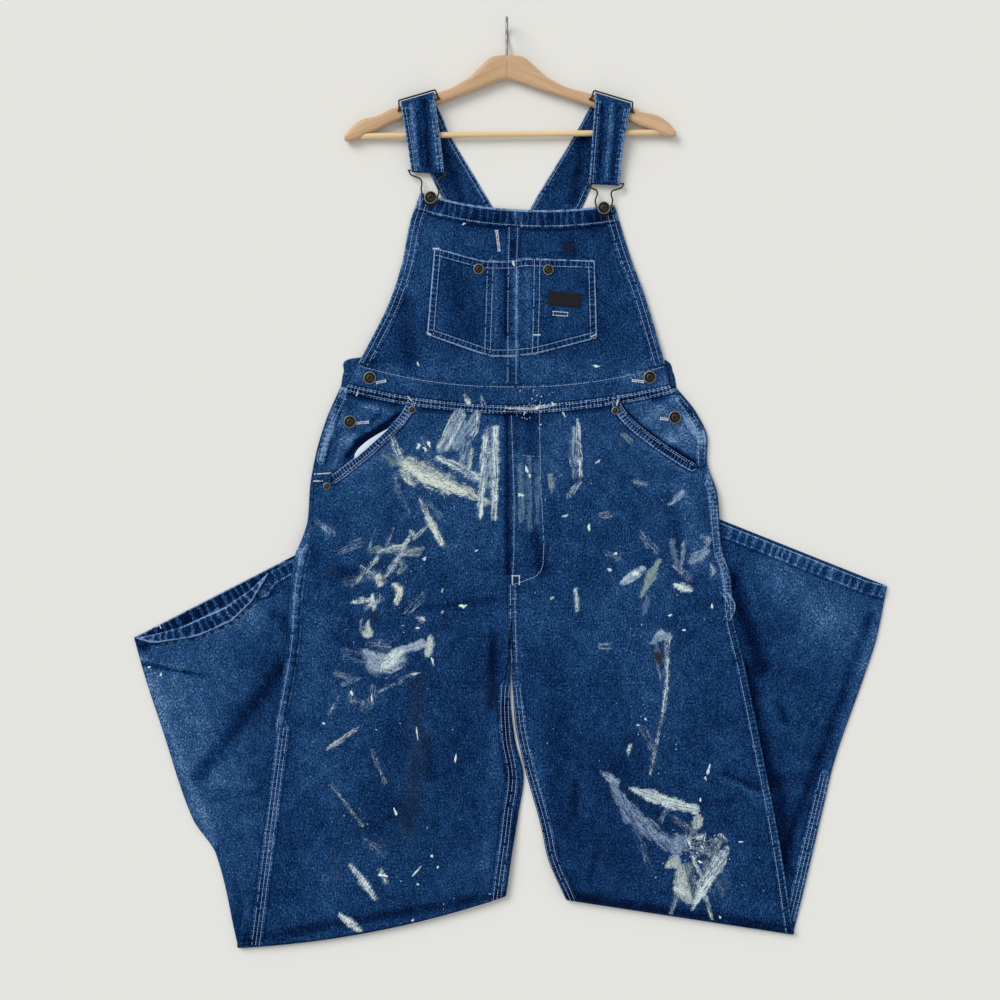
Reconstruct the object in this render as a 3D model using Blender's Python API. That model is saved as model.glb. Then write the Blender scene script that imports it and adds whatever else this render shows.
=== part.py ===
"""Paint spattered bib overalls, laid face up on a wooden hanger, with the lower legs folded behind.

The garment lies on the plane z = 0 with its front up: +X is the wearer's left, +Y runs from the hems
to the hanger's hook, +Z is up.  Tables are in millimetres and every mesh is made in metres.

A leg is one flattened tube of cloth.  Each of its sections is a straight cut across the tube, from its
outer silhouette to its inner silhouette.  The tube runs down the thigh, turns half a circle
round the knee crease and runs back up under the thigh as the shin, so that the shin shows its back.
"""
import math

import bmesh
import bpy
from mathutils import Vector

MM = 0.001

# Cloth, millimetres
WALL = 1.6          # a panel of folded and felled denim
PATCH = 1.1         # a patch that lies on a panel
LINING = 1.0        # the pocket bag
SEAM_GAP = 0.4      # between two pieces that a seam joins
LIFT = 0.35         # between a panel and what lies on it
CENTRE_X = 1.0      # the centre seam

# The folded leg
SHIN_DEPTH = 2.8    # between the mid surfaces of the shin's two layers
BEND_RADIUS = 1.4   # of the back layer at the knee crease
CREASE_Z = WALL / 2 + SHIN_DEPTH + BEND_RADIUS
THIGH_BASE = CREASE_Z + BEND_RADIUS - WALL / 2
CREASE_INSET = BEND_RADIUS + SHIN_DEPTH + WALL / 2
BEND_STEPS = 5
DESCENT_START = 12.0    # the thigh comes down to the floor this far outside the shin
DESCENT_LENGTH = 60.0
SOFT_EDGE = 70.0        # width of the rounding towards a silhouette
SHIN_CLEAR = 8.0        # the shin puffs up only this far outside the thigh
SHIN_RISE = 45.0

# Columns across the tube
FRONT_COLUMNS = 8
BOTTOM_COLUMNS = 6
ARC_STEPS = 3
OPEN_REACH = 24.0       # stretch of the back panel that turns up into the inseam

# Height of the thigh's parts
HIP = 30.0              # above it the sections dip towards the middle of the waist seam
WAIST_SAG_START = 60.0
CROTCH_TOP = -157.0     # the tube closes from here
CROTCH_LENGTH = 118.0
BEND_START = -400.0     # from here the sections turn towards the slanted knee crease
SECTION_DROP = 7.0      # the inner end of a section lies this much lower than the outer end
HIP_DEPTH = 5.8         # between the two layers of the thigh
KNEE_DEPTH = 2.8
DEPTH_START = -383.0
DEPTH_REACH = 413.0
# Columns: height, extra height in the middle of the thigh
THIGH_PUFF = ((0, 4.0), (-100, 5.0), (-220, 5.0), (-400, 3.6), (-490, 2.4), (-590, 0.4), (-610, 0.0))
SHIN_PUFF = 3.0
SHIN_PUFF_REACH = 0.6   # share of the shin over which the puff grows
HEM_FLATTENING = 0.3
KNEE_KEEP = 0.36        # share of the shin over which the knee's seams and sag fade out
SHIN_INSEAM = 8.0

# The shape of each leg.  Edges are (x, y): the thigh's run from the waist seam down to the knee crease and
# the shin's outer edge runs on from there to the hem, while its inner edge is straight.  mouth: start, bend
# and end of the pocket mouth, and mouth_foot its lowest section.  outseam and inseam: height, and distance
# of the back panel's edge from the silhouette.  hem_setback: share of the width, and how far the shin's
# upper layer is set back from the lower one.
RIGHT_LEG = {
    "side": -1.0,
    "thigh_outer": (
        (-230, 132), (-250, 86), (-264, 39), (-272, -8), (-274, -46), (-280, -69), (-288, -90),
        (-296, -135), (-300, -208), (-319, -323), (-369, -628),
    ),
    "thigh_inner": (
        (0.8, 100), (0.8, -230), (0, -285), (6, -344), (18, -398), (11, -447), (1, -509), (-6, -558),
    ),
    "shin_outer": ((-369, -628), (-399, -501), (-430, -454), (-472, -331), (-497, -255), (-510, -208)),
    "hem_inner": (-209, -54),
    "mouth": ((-138, 125), (-141, 82), (-252, 2)),
    "mouth_foot": 6.0,
    "outseam": ((-40, 6), (-90, 16), (-160, 14), (-330, 13), (-628, 23)),
    "inseam": ((-157, 0), (-383, 16), (-437, 16), (-490, 14)),
    "shin_outseam": 5.0,
    "waist_sag": 7.0,
    "waist_drop": 25.0,
    "knee_sag": 13.0,
    "knee_rise": 77.0,
    "hem_setback": (
        (0.0, 0), (0.07, 19), (0.25, 38), (0.40, 41), (0.50, 30), (0.60, 6), (0.9, 3), (1.0, 0),
    ),
}
LEFT_LEG = {
    "side": 1.0,
    "thigh_outer": (
        (225, 130), (252, 96), (267, 60), (266, 35), (280, -15), (285, -82), (299, -130), (301, -175),
        (315, -238), (341, -364), (365, -491), (383, -610),
    ),
    "thigh_inner": ((1.2, 100), (1.2, -240), (5, -317), (14, -365), (42, -468), (49, -502), (75, -563)),
    "shin_outer": ((383, -610), (426, -428), (438, -378), (477, -266), (496, -208), (510, -138)),
    "hem_inner": (229, -26),
    "mouth": ((146, 124), (151, 80), (266, 15)),
    "mouth_foot": 23.0,
    "outseam": ((20, 6), (-200, 4)),
    "inseam": ((-134, 0), (-302, 8)),
    "shin_outseam": 4.0,
    "waist_sag": 6.0,
    "waist_drop": 23.0,
    "knee_sag": 0.0,
    "knee_rise": 54.0,
    "hem_setback": ((0.0, 0), (0.1, 4), (0.9, 4), (1.0, 0)),
}

# Sections of a leg: along the pocket mouth, down the hip, along the tool pocket, to the knee, up the shin
MOUTH_STEPS = 9
HIP_HEIGHTS = (-8.0, -35.0, -63.0)
RULE_POCKET_TOP = -90.0
RULE_POCKET_BOTTOM = -331.0
RULE_POCKET_STEPS = 4
LOWER_STEPS = 6
SHIN_STEPS = 9

# What is sewn on the hip and the leg
BAND_WIDTH = 13.0
BAND_COLUMNS = 2
FACING_DROP = 3.3           # the facing lies this far under the front panel at the pocket mouth
FACING_UNDER = 9.0          # and reaches this far under it
FACING_STEEPNESS = 1.6
FACING_COLUMNS = 5
LINING_UNDER = 6.0
LINING_COLUMNS = 3
# Columns: height, reach of the lining out from the pocket mouth
LINING_ROWS = ((99, 3.0), (81, 9.0), (66, 13.0), (53, 14.0), (41, 8.0))
RULE_POCKET_INSET = 1.2
HAMMER_LOOP_TOP = -146.0
HAMMER_LOOP_BOTTOM = -184.0
HAMMER_LOOP_EDGES = (16.0, 7.0)     # inward from the silhouette at the loop's ends
HAMMER_LOOP_BULGE = 9.0             # outward, half way down the loop
HAMMER_LOOP_STEPS = 8
HAMMER_LOOP_LIFT = 0.5
HAMMER_LOOP_RISE = 0.2              # extra height for each millimetre of bulge

# Edges of the bib, (x, y) from its top corner down to the waistband
BIB_EDGE_RIGHT = ((-122, 394), (-137, 350), (-146, 302), (-163, 248), (-189, 194), (-206, 163))
BIB_EDGE_LEFT = ((141, 378), (149, 350), (164, 302), (179, 262), (191, 224), (209, 162))
BIB_CENTRE_TOP = 372.0
BIB_CENTRE_BOTTOM = 134.0
BIB_TOP_DEPTH = 2.5         # the bib comes down towards its top edge
BIB_BOTTOM_DEPTH = 5.8
BIB_TOP_SAG = 4.0
BIB_BOTTOM_SAG = 8.0
BIB_PUFF = 4.0
BIB_COLUMNS = 6
BIB_STEPS = 12
BIB_BAND_HEIGHT = 24.0
BIB_BAND_ROWS = 2
BIB_BAND_FLARE = 1.03       # the band follows the bib's widening below its top edge
WAISTBAND_STEPS = 7
WAISTBAND_INSET = 9.0       # from the hip's silhouette to the band's end
BACK_COLUMNS = 12

# Upper and lower edge of the bib pocket, (x, y) from the wearer's right to the left
POCKET_TOP = ((-103, 320), (-37, 302), (5, 302), (14, 306), (114, 302))
POCKET_BOTTOM = ((-113, 201), (-28, 171), (2, 171), (33, 174), (117, 197))
POCKET_COLUMNS = 7
POCKET_ROWS = 5
LABEL_CENTRE = (73.0, 249.0)
LABEL_SIZE = (44.0, 19.0)
LABEL_TURN = math.radians(-4.0)
LABEL_ROWS = 2
LABEL_COLUMNS = 3
LABEL_LIFT = 0.5

# High back piece, from the waist to the straps.  Columns: height, right edge, left edge
BACK_ROWS = (
    (134, -230, 225),
    (152, -226, 220),
    (168, -222, 210),
    (178, -176, 160),
    (215, -129, 122),
    (268, -88, 94),
    (329, -60, 71),
)

# Straps, from the back piece over the hanger's arm and down to the buckle.  Columns: x and y of the
# edge towards -X, x and y of the edge towards +X, height of the mid surface
STRAP_RIGHT = (
    (-60, 330, 4, 330, 0.8),
    (-87, 377, -25, 377, 0.8),
    (-111, 424, -53, 424, 0.8),
    (-132, 471, -81, 471, 0.9),
    (-143, 494, -93, 499, 1.0),
    (-147, 504, -102, 517, 1.1),
)
STRAP_RIGHT_TURN = ((-148.0, 515.0), (-103.0, 528.2))
STRAP_RIGHT_FRONT = (
    (-147, 504, -102, 517, 18.7),
    (-144.5, 491, -99, 500, 18.4),
    (-141, 470, -95.5, 474, 16.6),
    (-137, 446, -92.5, 448, 13.4),
    (-134.5, 424, -90, 422, 9.6),
)
STRAP_LEFT = (
    (6, 330, 70, 330, 0.8),
    (29, 377, 98, 377, 0.8),
    (57, 424, 118, 424, 0.8),
    (86, 471, 140, 471, 0.9),
    (100, 497, 150, 493, 1.0),
    (111, 516, 160, 502, 1.1),
)
STRAP_LEFT_TURN = ((114.0, 527.2), (162.0, 512.8))
STRAP_LEFT_FRONT = (
    (113.5, 516, 161, 502, 18.7),
    (112.5, 500, 158, 489, 18.4),
    (110.5, 472, 154.5, 470, 17.0),
    (108.5, 440, 150.5, 439, 12.6),
    (106.5, 408, 148, 406, 9.6),
)
STRAP_WALL = 1.6
STRAP_TURN_STEPS = 6
STRAP_TURN_REACH = 8.6      # how far the band stands out beyond the hanger's arm
TURN_SQUARENESS = 0.6
BUCKLE_TURN_DROP = 4.2
BUCKLE_TURN_STEPS = 4
RETURN_DROPS = (4.2, 3.0, 2.3, 2.3)     # the returning end runs this far under the front of the strap

# Hanger, measured from the point where its two arms meet
HANGER_X = -5.0
HANGER_TOP_Y = 579.5
HANGER_Z = 8.6
HANGER_HALF_DEPTH = 6.0
HANGER_JOINT = 0.2          # half the gap between the two arms
HANGER_SQUARENESS = 0.6
# Columns: share of the arm's reach, drop of its upper edge, drop of its underside
HANGER_PROFILE = (
    (0.00, 0, 33),
    (0.04, 1, 35),
    (0.10, 4, 40),
    (0.165, 17, 46),
    (0.227, 30, 51),
    (0.29, 39, 56),
    (0.35, 46, 61),
    (0.45, 53, 69),
    (0.54, 59.5, 77),
    (0.66, 70, 88),
    (0.72, 74, 93),
    (0.78, 81, 100),
    (0.82, 84, 103),
    (0.855, 85, 105),
    (0.868, 86, 115),
    (0.91, 90, 116.5),
    (0.96, 99, 117.0),
    (0.99, 108, 116.5),
)
HANGER_REACH_RIGHT = 219.0
HANGER_REACH_LEFT = 228.0
HANGER_TIP_RISE_LEFT = 6.5
HANGER_SIDES = 10
BAR_RADIUS = 4.0
BAR_SIDES = 10
BAR_STEPS = 4
BAR_DROP_RIGHT = 109.5
BAR_DROP_LEFT = 104.5
BAR_END_RIGHT = -191.5
BAR_END_LEFT = 189.6

HOOK_WIRE = 1.75
HOOK_RADIUS = 19.0
HOOK_RISE = 27.0            # from the wood up to the centre of the loop
HOOK_OFFSET = 13.0          # the loop's centre stands this far above the stem
HOOK_SWEEP = math.radians(240.0)
HOOK_STEPS = 22
HOOK_STEM = (0.0, 4.5, 9.0)

# Wire buckle, one half of its outline from the button's centre: across, up
BUCKLE_WIRE = 1.05
BUCKLE_HALF = (
    (0, 33.0),
    (24.0, 33.0),
    (24.6, 31.2),
    (22.4, 27.2),
    (16.0, 24.8),
    (11.0, 22.8),
    (9.4, 19.8),
    (10.0, 15.5),
    (11.6, 11.0),
    (11.2, 6.0),
    (9.2, 1.0),
    (7.4, -4.0),
    (5.2, -8.6),
    (2.4, -10.6),
)

SLIDER_WIRE = 1.15
# One half of the slider's ring: out past the strap's edge, share of the strap's lean, up across the
# hanger's arm, height above the floor
SLIDER_INNER_Z = HANGER_Z + HANGER_HALF_DEPTH + LIFT + SLIDER_WIRE
SLIDER_OUTLINE = (
    (1.2, 1.0, -11.0, SLIDER_INNER_Z),
    (2.4, 1.0, -9.5, SLIDER_INNER_Z + 0.2),
    (2.4, 0.6, -5.0, SLIDER_INNER_Z + 0.3),
    (2.4, 0.0, 0.4, 15.3),
    (1.2, 0.0, 2.2, 14.8),
    (-3.0, 0.0, 2.4, 14.8),
)

# Buttons: cap radius, place and the panel that carries it
BUTTON_SIDES = 18
BUTTON_CAP = 8.7
POCKET_BUTTON_CAP = 7.2
BUCKLED_SHANK = 3.2
SHANK = 4.0
SHANK_RISE = 0.6
CAP_HEIGHT = 2.4
RIVET_SIDES = 12
RIVET_CAP = 4.8
BIB_BUTTONS = {"right": (-108.0, 387.0), "left": (126.0, 373.0)}
POCKET_BUTTONS = {"right": (-43.0, 290.0), "left": (51.0, 289.0)}
WAIST_BUTTONS = {"right": (-190.0, 143.0), "left": (188.0, 144.0)}
HIP_BUTTONS = {"right": (-217.0, 84.0), "left": (222.0, 90.0)}
# Columns: x, y, height over the panel: on a patch, or where the panel curves under the rivet
RIVETS = {"right": (-133.0, 100.0, PATCH), "left": (141.0, 99.0, PATCH), "pocket": (-248.0, -3.0, 0.4)}

DENIM = (0.045, 0.085, 0.19, 1.0)
DENIM_DARK = (0.02, 0.035, 0.09, 1.0)
COTTON = (0.72, 0.70, 0.66, 1.0)
BLACK = (0.012, 0.012, 0.012, 1.0)
BRASS = (0.10, 0.075, 0.045, 1.0)
WIRE = (0.09, 0.08, 0.07, 1.0)
STEEL = (0.55, 0.55, 0.55, 1.0)
BEECH = (0.60, 0.41, 0.26, 1.0)


def clear_scene():
    for item in list(bpy.data.objects):
        bpy.data.objects.remove(item, do_unlink=True)


def make_material(name, color, roughness, metallic=0.0):
    material = bpy.data.materials.new(name)
    material.use_nodes = True
    shader = material.node_tree.nodes["Principled BSDF"]
    shader.inputs["Base Color"].default_value = color
    shader.inputs["Roughness"].default_value = roughness
    shader.inputs["Metallic"].default_value = metallic
    return material


def smoothstep(value):
    value = min(1.0, max(0.0, value))
    return value * value * (3.0 - 2.0 * value)


def lerp(start, end, share):
    return start + (end - start) * share


def blend_rows(table, place):
    """The table's row at a fractional place, on a smooth curve through its rows."""
    last = len(table) - 1
    index = min(int(place), last - 1)
    share = place - index
    before = table[max(index - 1, 0)]
    first = table[index]
    second = table[index + 1]
    after = table[min(index + 2, last)]
    row = []
    for a, b, c, d in zip(before, first, second, after):
        slope_b = (c - a) / 2.0
        slope_c = (d - b) / 2.0
        cubic = 2.0 * (b - c) + slope_b + slope_c
        square = 3.0 * (c - b) - 2.0 * slope_b - slope_c
        row.append(((cubic * share + square) * share + slope_b) * share + b)
    return row


def read_line(points, value):
    """Straight-line reading of (value, result) rows, level beyond their ends."""
    points = sorted(points)
    value = min(max(value, points[0][0]), points[-1][0])
    for (low, first), (high, second) in zip(points, points[1:]):
        if value <= high:
            return lerp(first, second, (value - low) / (high - low))
    return points[-1][1]


def tangent(slopes, index):
    """Slope of a smooth edge at one of its points, chosen so that the edge never overshoots."""
    before = slopes[max(index - 1, 0)]
    after = slopes[min(index, len(slopes) - 1)]
    return 0.0 if before * after <= 0.0 else 2.0 * before * after / (before + after)


def read_edge(points, height):
    """x of the smooth edge through (x, y) points at a height, level beyond its ends."""
    points = sorted(points, key=lambda point: point[1])
    height = min(max(height, points[0][1]), points[-1][1])
    slopes = [(b[0] - a[0]) / (b[1] - a[1]) for a, b in zip(points, points[1:])]
    index = 0
    while index < len(slopes) - 1 and height > points[index + 1][1]:
        index += 1
    start = points[index]
    length = points[index + 1][1] - start[1]
    rise = points[index + 1][0] - start[0]
    share = (height - start[1]) / length
    first = tangent(slopes, index) * length
    second = tangent(slopes, index + 1) * length
    cubic = first + second - 2.0 * rise
    square = 3.0 * rise - 2.0 * first - second
    return ((cubic * share + square) * share + first) * share + start[0]


# ---------------------------------------------------------------- meshes

def add_object(name, mesh, material, sharp_angle=35.0):
    mesh.materials.append(material)
    mesh.shade_smooth()
    mesh.set_sharp_from_angle(angle=math.radians(sharp_angle))
    item = bpy.data.objects.new(name, mesh)
    bpy.context.scene.collection.objects.link(item)
    return item


def grid_normals(grid):
    """Mean of the normals of the faces round each point of a grid of points."""
    rows = len(grid)
    columns = len(grid[0])
    normals = [[Vector((0.0, 0.0, 0.0)) for _ in range(columns)] for _ in range(rows)]
    for i in range(rows - 1):
        for j in range(columns - 1):
            across = grid[i][j + 1] - grid[i][j] + grid[i + 1][j + 1] - grid[i + 1][j]
            along = grid[i + 1][j] - grid[i][j] + grid[i + 1][j + 1] - grid[i][j + 1]
            normal = across.cross(along).normalized()
            for di, dj in ((0, 0), (0, 1), (1, 0), (1, 1)):
                normals[i + di][j + dj] += normal
    return [[normal.normalized() for normal in row] for row in normals]


def shift_grid(grid, distance):
    normals = grid_normals(grid)
    return [[point + normal * distance for point, normal in zip(*pair)] for pair in zip(grid, normals)]


def make_shell(name, grid, thickness, material):
    """A closed wall of even thickness round a grid of mid-surface points in millimetres."""
    rows = len(grid)
    columns = len(grid[0])
    build = bmesh.new()
    skins = []
    for side in (0.5, -0.5):
        skins.append([[build.verts.new(point * MM) for point in row]
                      for row in shift_grid(grid, side * thickness)])
    upper, lower = skins
    for i in range(rows - 1):
        for j in range(columns - 1):
            build.faces.new((upper[i][j], upper[i][j + 1], upper[i + 1][j + 1], upper[i + 1][j]))
            build.faces.new((lower[i][j], lower[i + 1][j], lower[i + 1][j + 1], lower[i][j + 1]))
    rim = [(0, j) for j in range(columns)]
    rim += [(i, columns - 1) for i in range(1, rows)]
    rim += [(rows - 1, j) for j in range(columns - 2, -1, -1)]
    rim += [(i, 0) for i in range(rows - 2, 0, -1)]
    for (a, b), (c, d) in zip(rim, rim[1:] + rim[:1]):
        build.faces.new((upper[a][b], lower[a][b], lower[c][d], upper[c][d]))
    bmesh.ops.recalc_face_normals(build, faces=build.faces)
    mesh = bpy.data.meshes.new(name)
    build.to_mesh(mesh)
    build.free()
    return add_object(name, mesh, material)


def make_loft(name, sections, material, sharp_angle=35.0):
    """A closed solid through rings of points in millimetres, with flat ends."""
    build = bmesh.new()
    rings = [[build.verts.new(Vector(point) * MM) for point in section] for section in sections]
    for ring, following in zip(rings, rings[1:]):
        count = len(ring)
        for k in range(count):
            build.faces.new((ring[k], ring[(k + 1) % count], following[(k + 1) % count], following[k]))
    build.faces.new(rings[0])
    build.faces.new(rings[-1])
    bmesh.ops.recalc_face_normals(build, faces=build.faces)
    mesh = bpy.data.meshes.new(name)
    build.to_mesh(mesh)
    build.free()
    return add_object(name, mesh, material, sharp_angle)


def make_turned(name, profile, centre, sides, material):
    """A turned solid about +Z.  profile: rows of (radius, height) from the bottom to the top."""
    x, y, z = centre
    turns = [2.0 * math.pi * k / sides for k in range(sides)]
    sections = [[(x + radius * math.cos(turn), y + radius * math.sin(turn), z + height) for turn in turns]
                for radius, height in profile]
    return make_loft(name, sections, material)


def make_wire(name, points, radius, material, closed):
    curve = bpy.data.curves.new(name, "CURVE")
    curve.dimensions = "3D"
    curve.bevel_depth = radius * MM
    curve.bevel_resolution = 2
    curve.use_fill_caps = True
    spline = curve.splines.new("POLY")
    spline.points.add(len(points) - 1)
    for target, point in zip(spline.points, points):
        target.co = (point[0] * MM, point[1] * MM, point[2] * MM, 1.0)
    spline.use_cyclic_u = closed
    curve.materials.append(material)
    item = bpy.data.objects.new(name, curve)
    bpy.context.scene.collection.objects.link(item)
    return item


# ---------------------------------------------------------------- the folded leg

class Leg:
    """One leg: its sections down the thigh, round the knee crease and up the shin."""

    def __init__(self, shape):
        self.shape = shape
        self.side = shape["side"]
        self.waist = shape["thigh_outer"][0][1]
        self.knee = shape["thigh_outer"][-1][1]
        self.hem_out = Vector(shape["shin_outer"][-1])
        self.hem_in = Vector(shape["hem_inner"])
        self.knee_in = Vector(shape["thigh_inner"][-1])

    def beyond(self, point, start, end):
        """Signed distance of a point outside the line from start to end."""
        line = (end - start).normalized()
        offset = point - start
        return (line.x * offset.y - line.y * offset.x) * -self.side

    def base_height(self, point):
        """Height of the thigh's underside: on the shin, or down on the floor beside it."""
        beyond_hem = self.beyond(point, self.hem_out, self.hem_in)
        beyond_side = self.beyond(point, self.hem_in, self.knee_in)
        over_hem = smoothstep(1.0 - (beyond_hem - DESCENT_START) / DESCENT_LENGTH)
        over_side = smoothstep(1.0 - (beyond_side - DESCENT_START) / DESCENT_LENGTH)
        return THIGH_BASE * over_hem * over_side

    def thigh_values(self, height):
        """The sizes of the thigh's section whose outer end is at a height."""
        shape = self.shape
        dip = max(0.0, (height - HIP) / (self.waist - HIP))
        sagging = max(0.0, (height - WAIST_SAG_START) / (self.waist - WAIST_SAG_START))
        bend = max(0.0, (BEND_START - height) / (BEND_START - self.knee))
        inner = height - SECTION_DROP - shape["waist_drop"] * dip ** 2 + shape["knee_rise"] * bend ** 2
        thick = min(1.0, max(0.0, (height - DEPTH_START) / DEPTH_REACH))
        return {
            "outer": (read_edge(shape["thigh_outer"], height), height),
            "inner": (read_edge(shape["thigh_inner"], inner), inner),
            "depth": lerp(KNEE_DEPTH, HIP_DEPTH, thick ** 2),
            "puff": read_line(THIGH_PUFF, height),
            "outseam": read_line(shape["outseam"], height),
            "inseam": read_line(shape["inseam"], height),
            "close": smoothstep((CROTCH_TOP - height) / CROTCH_LENGTH),
            "sag": shape["waist_sag"] * sagging + shape["knee_sag"] * bend,
        }

    def thigh_section(self, height):
        section = Section(self, self.thigh_values(height), "thigh")
        if height >= self.shape["mouth_foot"]:
            section.mouth = self.mouth_distance(section)
        return section

    def bend_section(self, angle):
        return Section(self, self.thigh_values(self.knee), "bend", angle)

    def shin_section(self, share):
        """The shin's section at a share of the way from the knee crease to the hem."""
        knee = self.thigh_values(self.knee)
        height = lerp(self.knee, self.hem_out.y, share)
        keep = smoothstep(1.0 - share / KNEE_KEEP)
        inner = self.knee_in.lerp(self.hem_in, share)
        flattening = 1.0 - HEM_FLATTENING * smoothstep((share - 0.8) / 0.2)
        values = {
            "outer": (read_edge(self.shape["shin_outer"], height), height),
            "inner": (inner.x, inner.y),
            "depth": SHIN_DEPTH,
            "puff": SHIN_PUFF * smoothstep(share / SHIN_PUFF_REACH) * flattening,
            "outseam": lerp(self.shape["shin_outseam"], knee["outseam"], keep),
            "inseam": lerp(SHIN_INSEAM, knee["inseam"], keep),
            "close": 1.0,
            "sag": self.shape["knee_sag"] * keep,
        }
        section = Section(self, values, "shin")
        section.hem_share = share
        return section

    def mouth_distance(self, section):
        """Where the pocket mouth crosses the section, as a distance from the silhouette."""
        start, bend, end = (Vector(point) for point in self.shape["mouth"])
        low, high = 0.0, 1.0
        for _ in range(30):
            share = (low + high) / 2.0
            point = start.lerp(bend, share).lerp(bend.lerp(end, share), share)
            if (point - section.outer).dot(section.down) < 0.0:
                low = share
            else:
                high = share
        return (point - section.outer).dot(section.across)

    def thigh_edge(self, height):
        """The thigh's outer silhouette at a height, as a distance from the centre."""
        return abs(read_edge(self.shape["thigh_outer"], height))


class Section:
    """A straight cut across the leg, from the outer to the inner silhouette."""

    def __init__(self, leg, values, kind, angle=0.0):
        self.leg = leg
        self.kind = kind
        self.angle = angle
        self.values = values
        self.hem_share = 0.0
        self.mouth = values["outseam"]
        outer = Vector(values["outer"])
        line = Vector(values["inner"]) - outer
        self.width = line.length
        self.across = line / self.width
        down = Vector((self.across.y, -self.across.x))
        self.down = down if down.y < 0 else -down
        self.outer = outer
        self.depth = values["depth"]
        self.radius = self.depth / 2.0
        self.edge = WALL / 2.0 + self.radius
        self.close = values["close"]
        self.inner_arc = math.pi * self.radius
        full_wrap = self.inner_arc + max(values["inseam"] - self.edge, 0.0)
        self.wrap = self.close * full_wrap
        self.inner_edge = self.edge * min(1.0, self.wrap / (self.inner_arc / 2.0))

    def plan(self, distance):
        share = distance / self.width
        sag = self.values["sag"] * 4.0 * share * (1.0 - share)
        return self.outer + self.across * distance + self.down * sag

    def puff(self, distance):
        outer = 1.0 - math.exp(-(distance / SOFT_EDGE) ** 2)
        inner = 1.0 - math.exp(-((self.width - distance) / SOFT_EDGE) ** 2)
        inner = lerp(1.0, inner, self.close)
        return self.values["puff"] * outer * inner

    def place(self, distance, height, puffed=1.0):
        """A point of the mid surface.  height runs from the back layer, 0, to the front layer, depth."""
        flat = self.plan(distance)
        lift = 0.0
        if self.kind == "thigh":
            lift = self.puff(distance) * puffed * height / self.depth
            return Vector((flat.x, flat.y, self.leg.base_height(flat) + WALL / 2.0 + height + lift))
        if self.kind == "bend":
            reach = BEND_RADIUS + height
            flat = flat - self.down * CREASE_INSET + self.down * (reach * math.sin(self.angle))
            return Vector((flat.x, flat.y, CREASE_Z + reach * math.cos(self.angle)))
        clear = abs(flat.x) - self.leg.thigh_edge(flat.y) - SHIN_CLEAR
        lift = self.puff(distance) * smoothstep(clear / SHIN_RISE) * (1.0 - height / self.depth)
        flat = flat - self.down * (CREASE_INSET * (1.0 - min(1.0, self.hem_share * 6.0)))
        return Vector((flat.x, flat.y, CREASE_Z - BEND_RADIUS - height + lift * puffed))

    def ring_out(self, path):
        """Place on the outer side of the ring: positive on the front layer, then round to the back."""
        if path >= 0.0:
            return self.place(self.edge + path, self.depth)
        turn = -path / self.radius
        if turn <= math.pi:
            return self.place(self.edge - self.radius * math.sin(turn), self.radius * (1.0 + math.cos(turn)))
        return self.place(self.edge + (turn - math.pi) * self.radius, 0.0)

    def ring_in(self, path):
        """Place on the inner side of the ring: negative on the back layer, then round to the front."""
        start = self.width - self.inner_edge
        if path <= 0.0:
            return self.place(start + path, 0.0)
        turn = path / self.radius
        if turn <= math.pi:
            return self.place(start + self.radius * math.sin(turn), self.radius * (1.0 - math.cos(turn)))
        return self.place(start - (path - self.inner_arc), self.depth)

    def front_end(self):
        """Distance from the inner silhouette to the front panel's edge."""
        if self.wrap <= 0.0:
            return 0.0
        rising = min(1.0, self.wrap / (self.inner_arc / 2.0))
        return self.inner_edge + SEAM_GAP * rising + max(0.0, self.wrap - self.inner_arc)

    def front_row(self, columns):
        start = max(self.mouth, self.edge) + SEAM_GAP / 2.0
        end = self.width - self.front_end()
        return [self.place(lerp(start, end, k / columns), self.depth) for k in range(columns + 1)]

    def back_row(self, bottom, arc):
        top = max(self.values["outseam"] - self.edge - SEAM_GAP / 2.0, 0.5)
        row = [self.ring_out(top)]
        row += [self.ring_out(-math.pi * self.radius * k / arc) for k in range(arc + 1)]
        reach = OPEN_REACH * (1.0 - self.close)
        start = self.edge
        end = self.width - self.inner_edge - reach
        row += [self.place(lerp(start, end, k / bottom), 0.0) for k in range(1, bottom + 1)]
        stops = [self.inner_arc * k / arc for k in range(1, arc + 1)]
        stops.append(self.inner_arc + max(self.values["inseam"] - self.edge, 0.6))
        count = len(stops)
        for k, stop in enumerate(stops, 1):
            row.append(self.ring_in(lerp(-reach * (count - k) / count, stop, self.close)))
        return row


def mouth_heights(leg):
    """Heights of the sections along the pocket mouth, shared by all that is sewn there."""
    foot = leg.shape["mouth_foot"]
    return [lerp(leg.waist, foot, k / MOUTH_STEPS) for k in range(MOUTH_STEPS + 1)]


def rule_pocket_heights():
    steps = range(RULE_POCKET_STEPS + 1)
    return [lerp(RULE_POCKET_TOP, RULE_POCKET_BOTTOM, k / RULE_POCKET_STEPS) for k in steps]


def leg_sections(leg):
    heights = mouth_heights(leg) + list(HIP_HEIGHTS) + rule_pocket_heights()
    heights += [lerp(RULE_POCKET_BOTTOM, leg.knee, k / LOWER_STEPS) for k in range(1, LOWER_STEPS)]
    sections = [leg.thigh_section(height) for height in heights]
    sections += [leg.bend_section(math.pi * k / BEND_STEPS) for k in range(BEND_STEPS + 1)]
    sections += [leg.shin_section(k / SHIN_STEPS) for k in range(1, SHIN_STEPS + 1)]
    return sections


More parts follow.
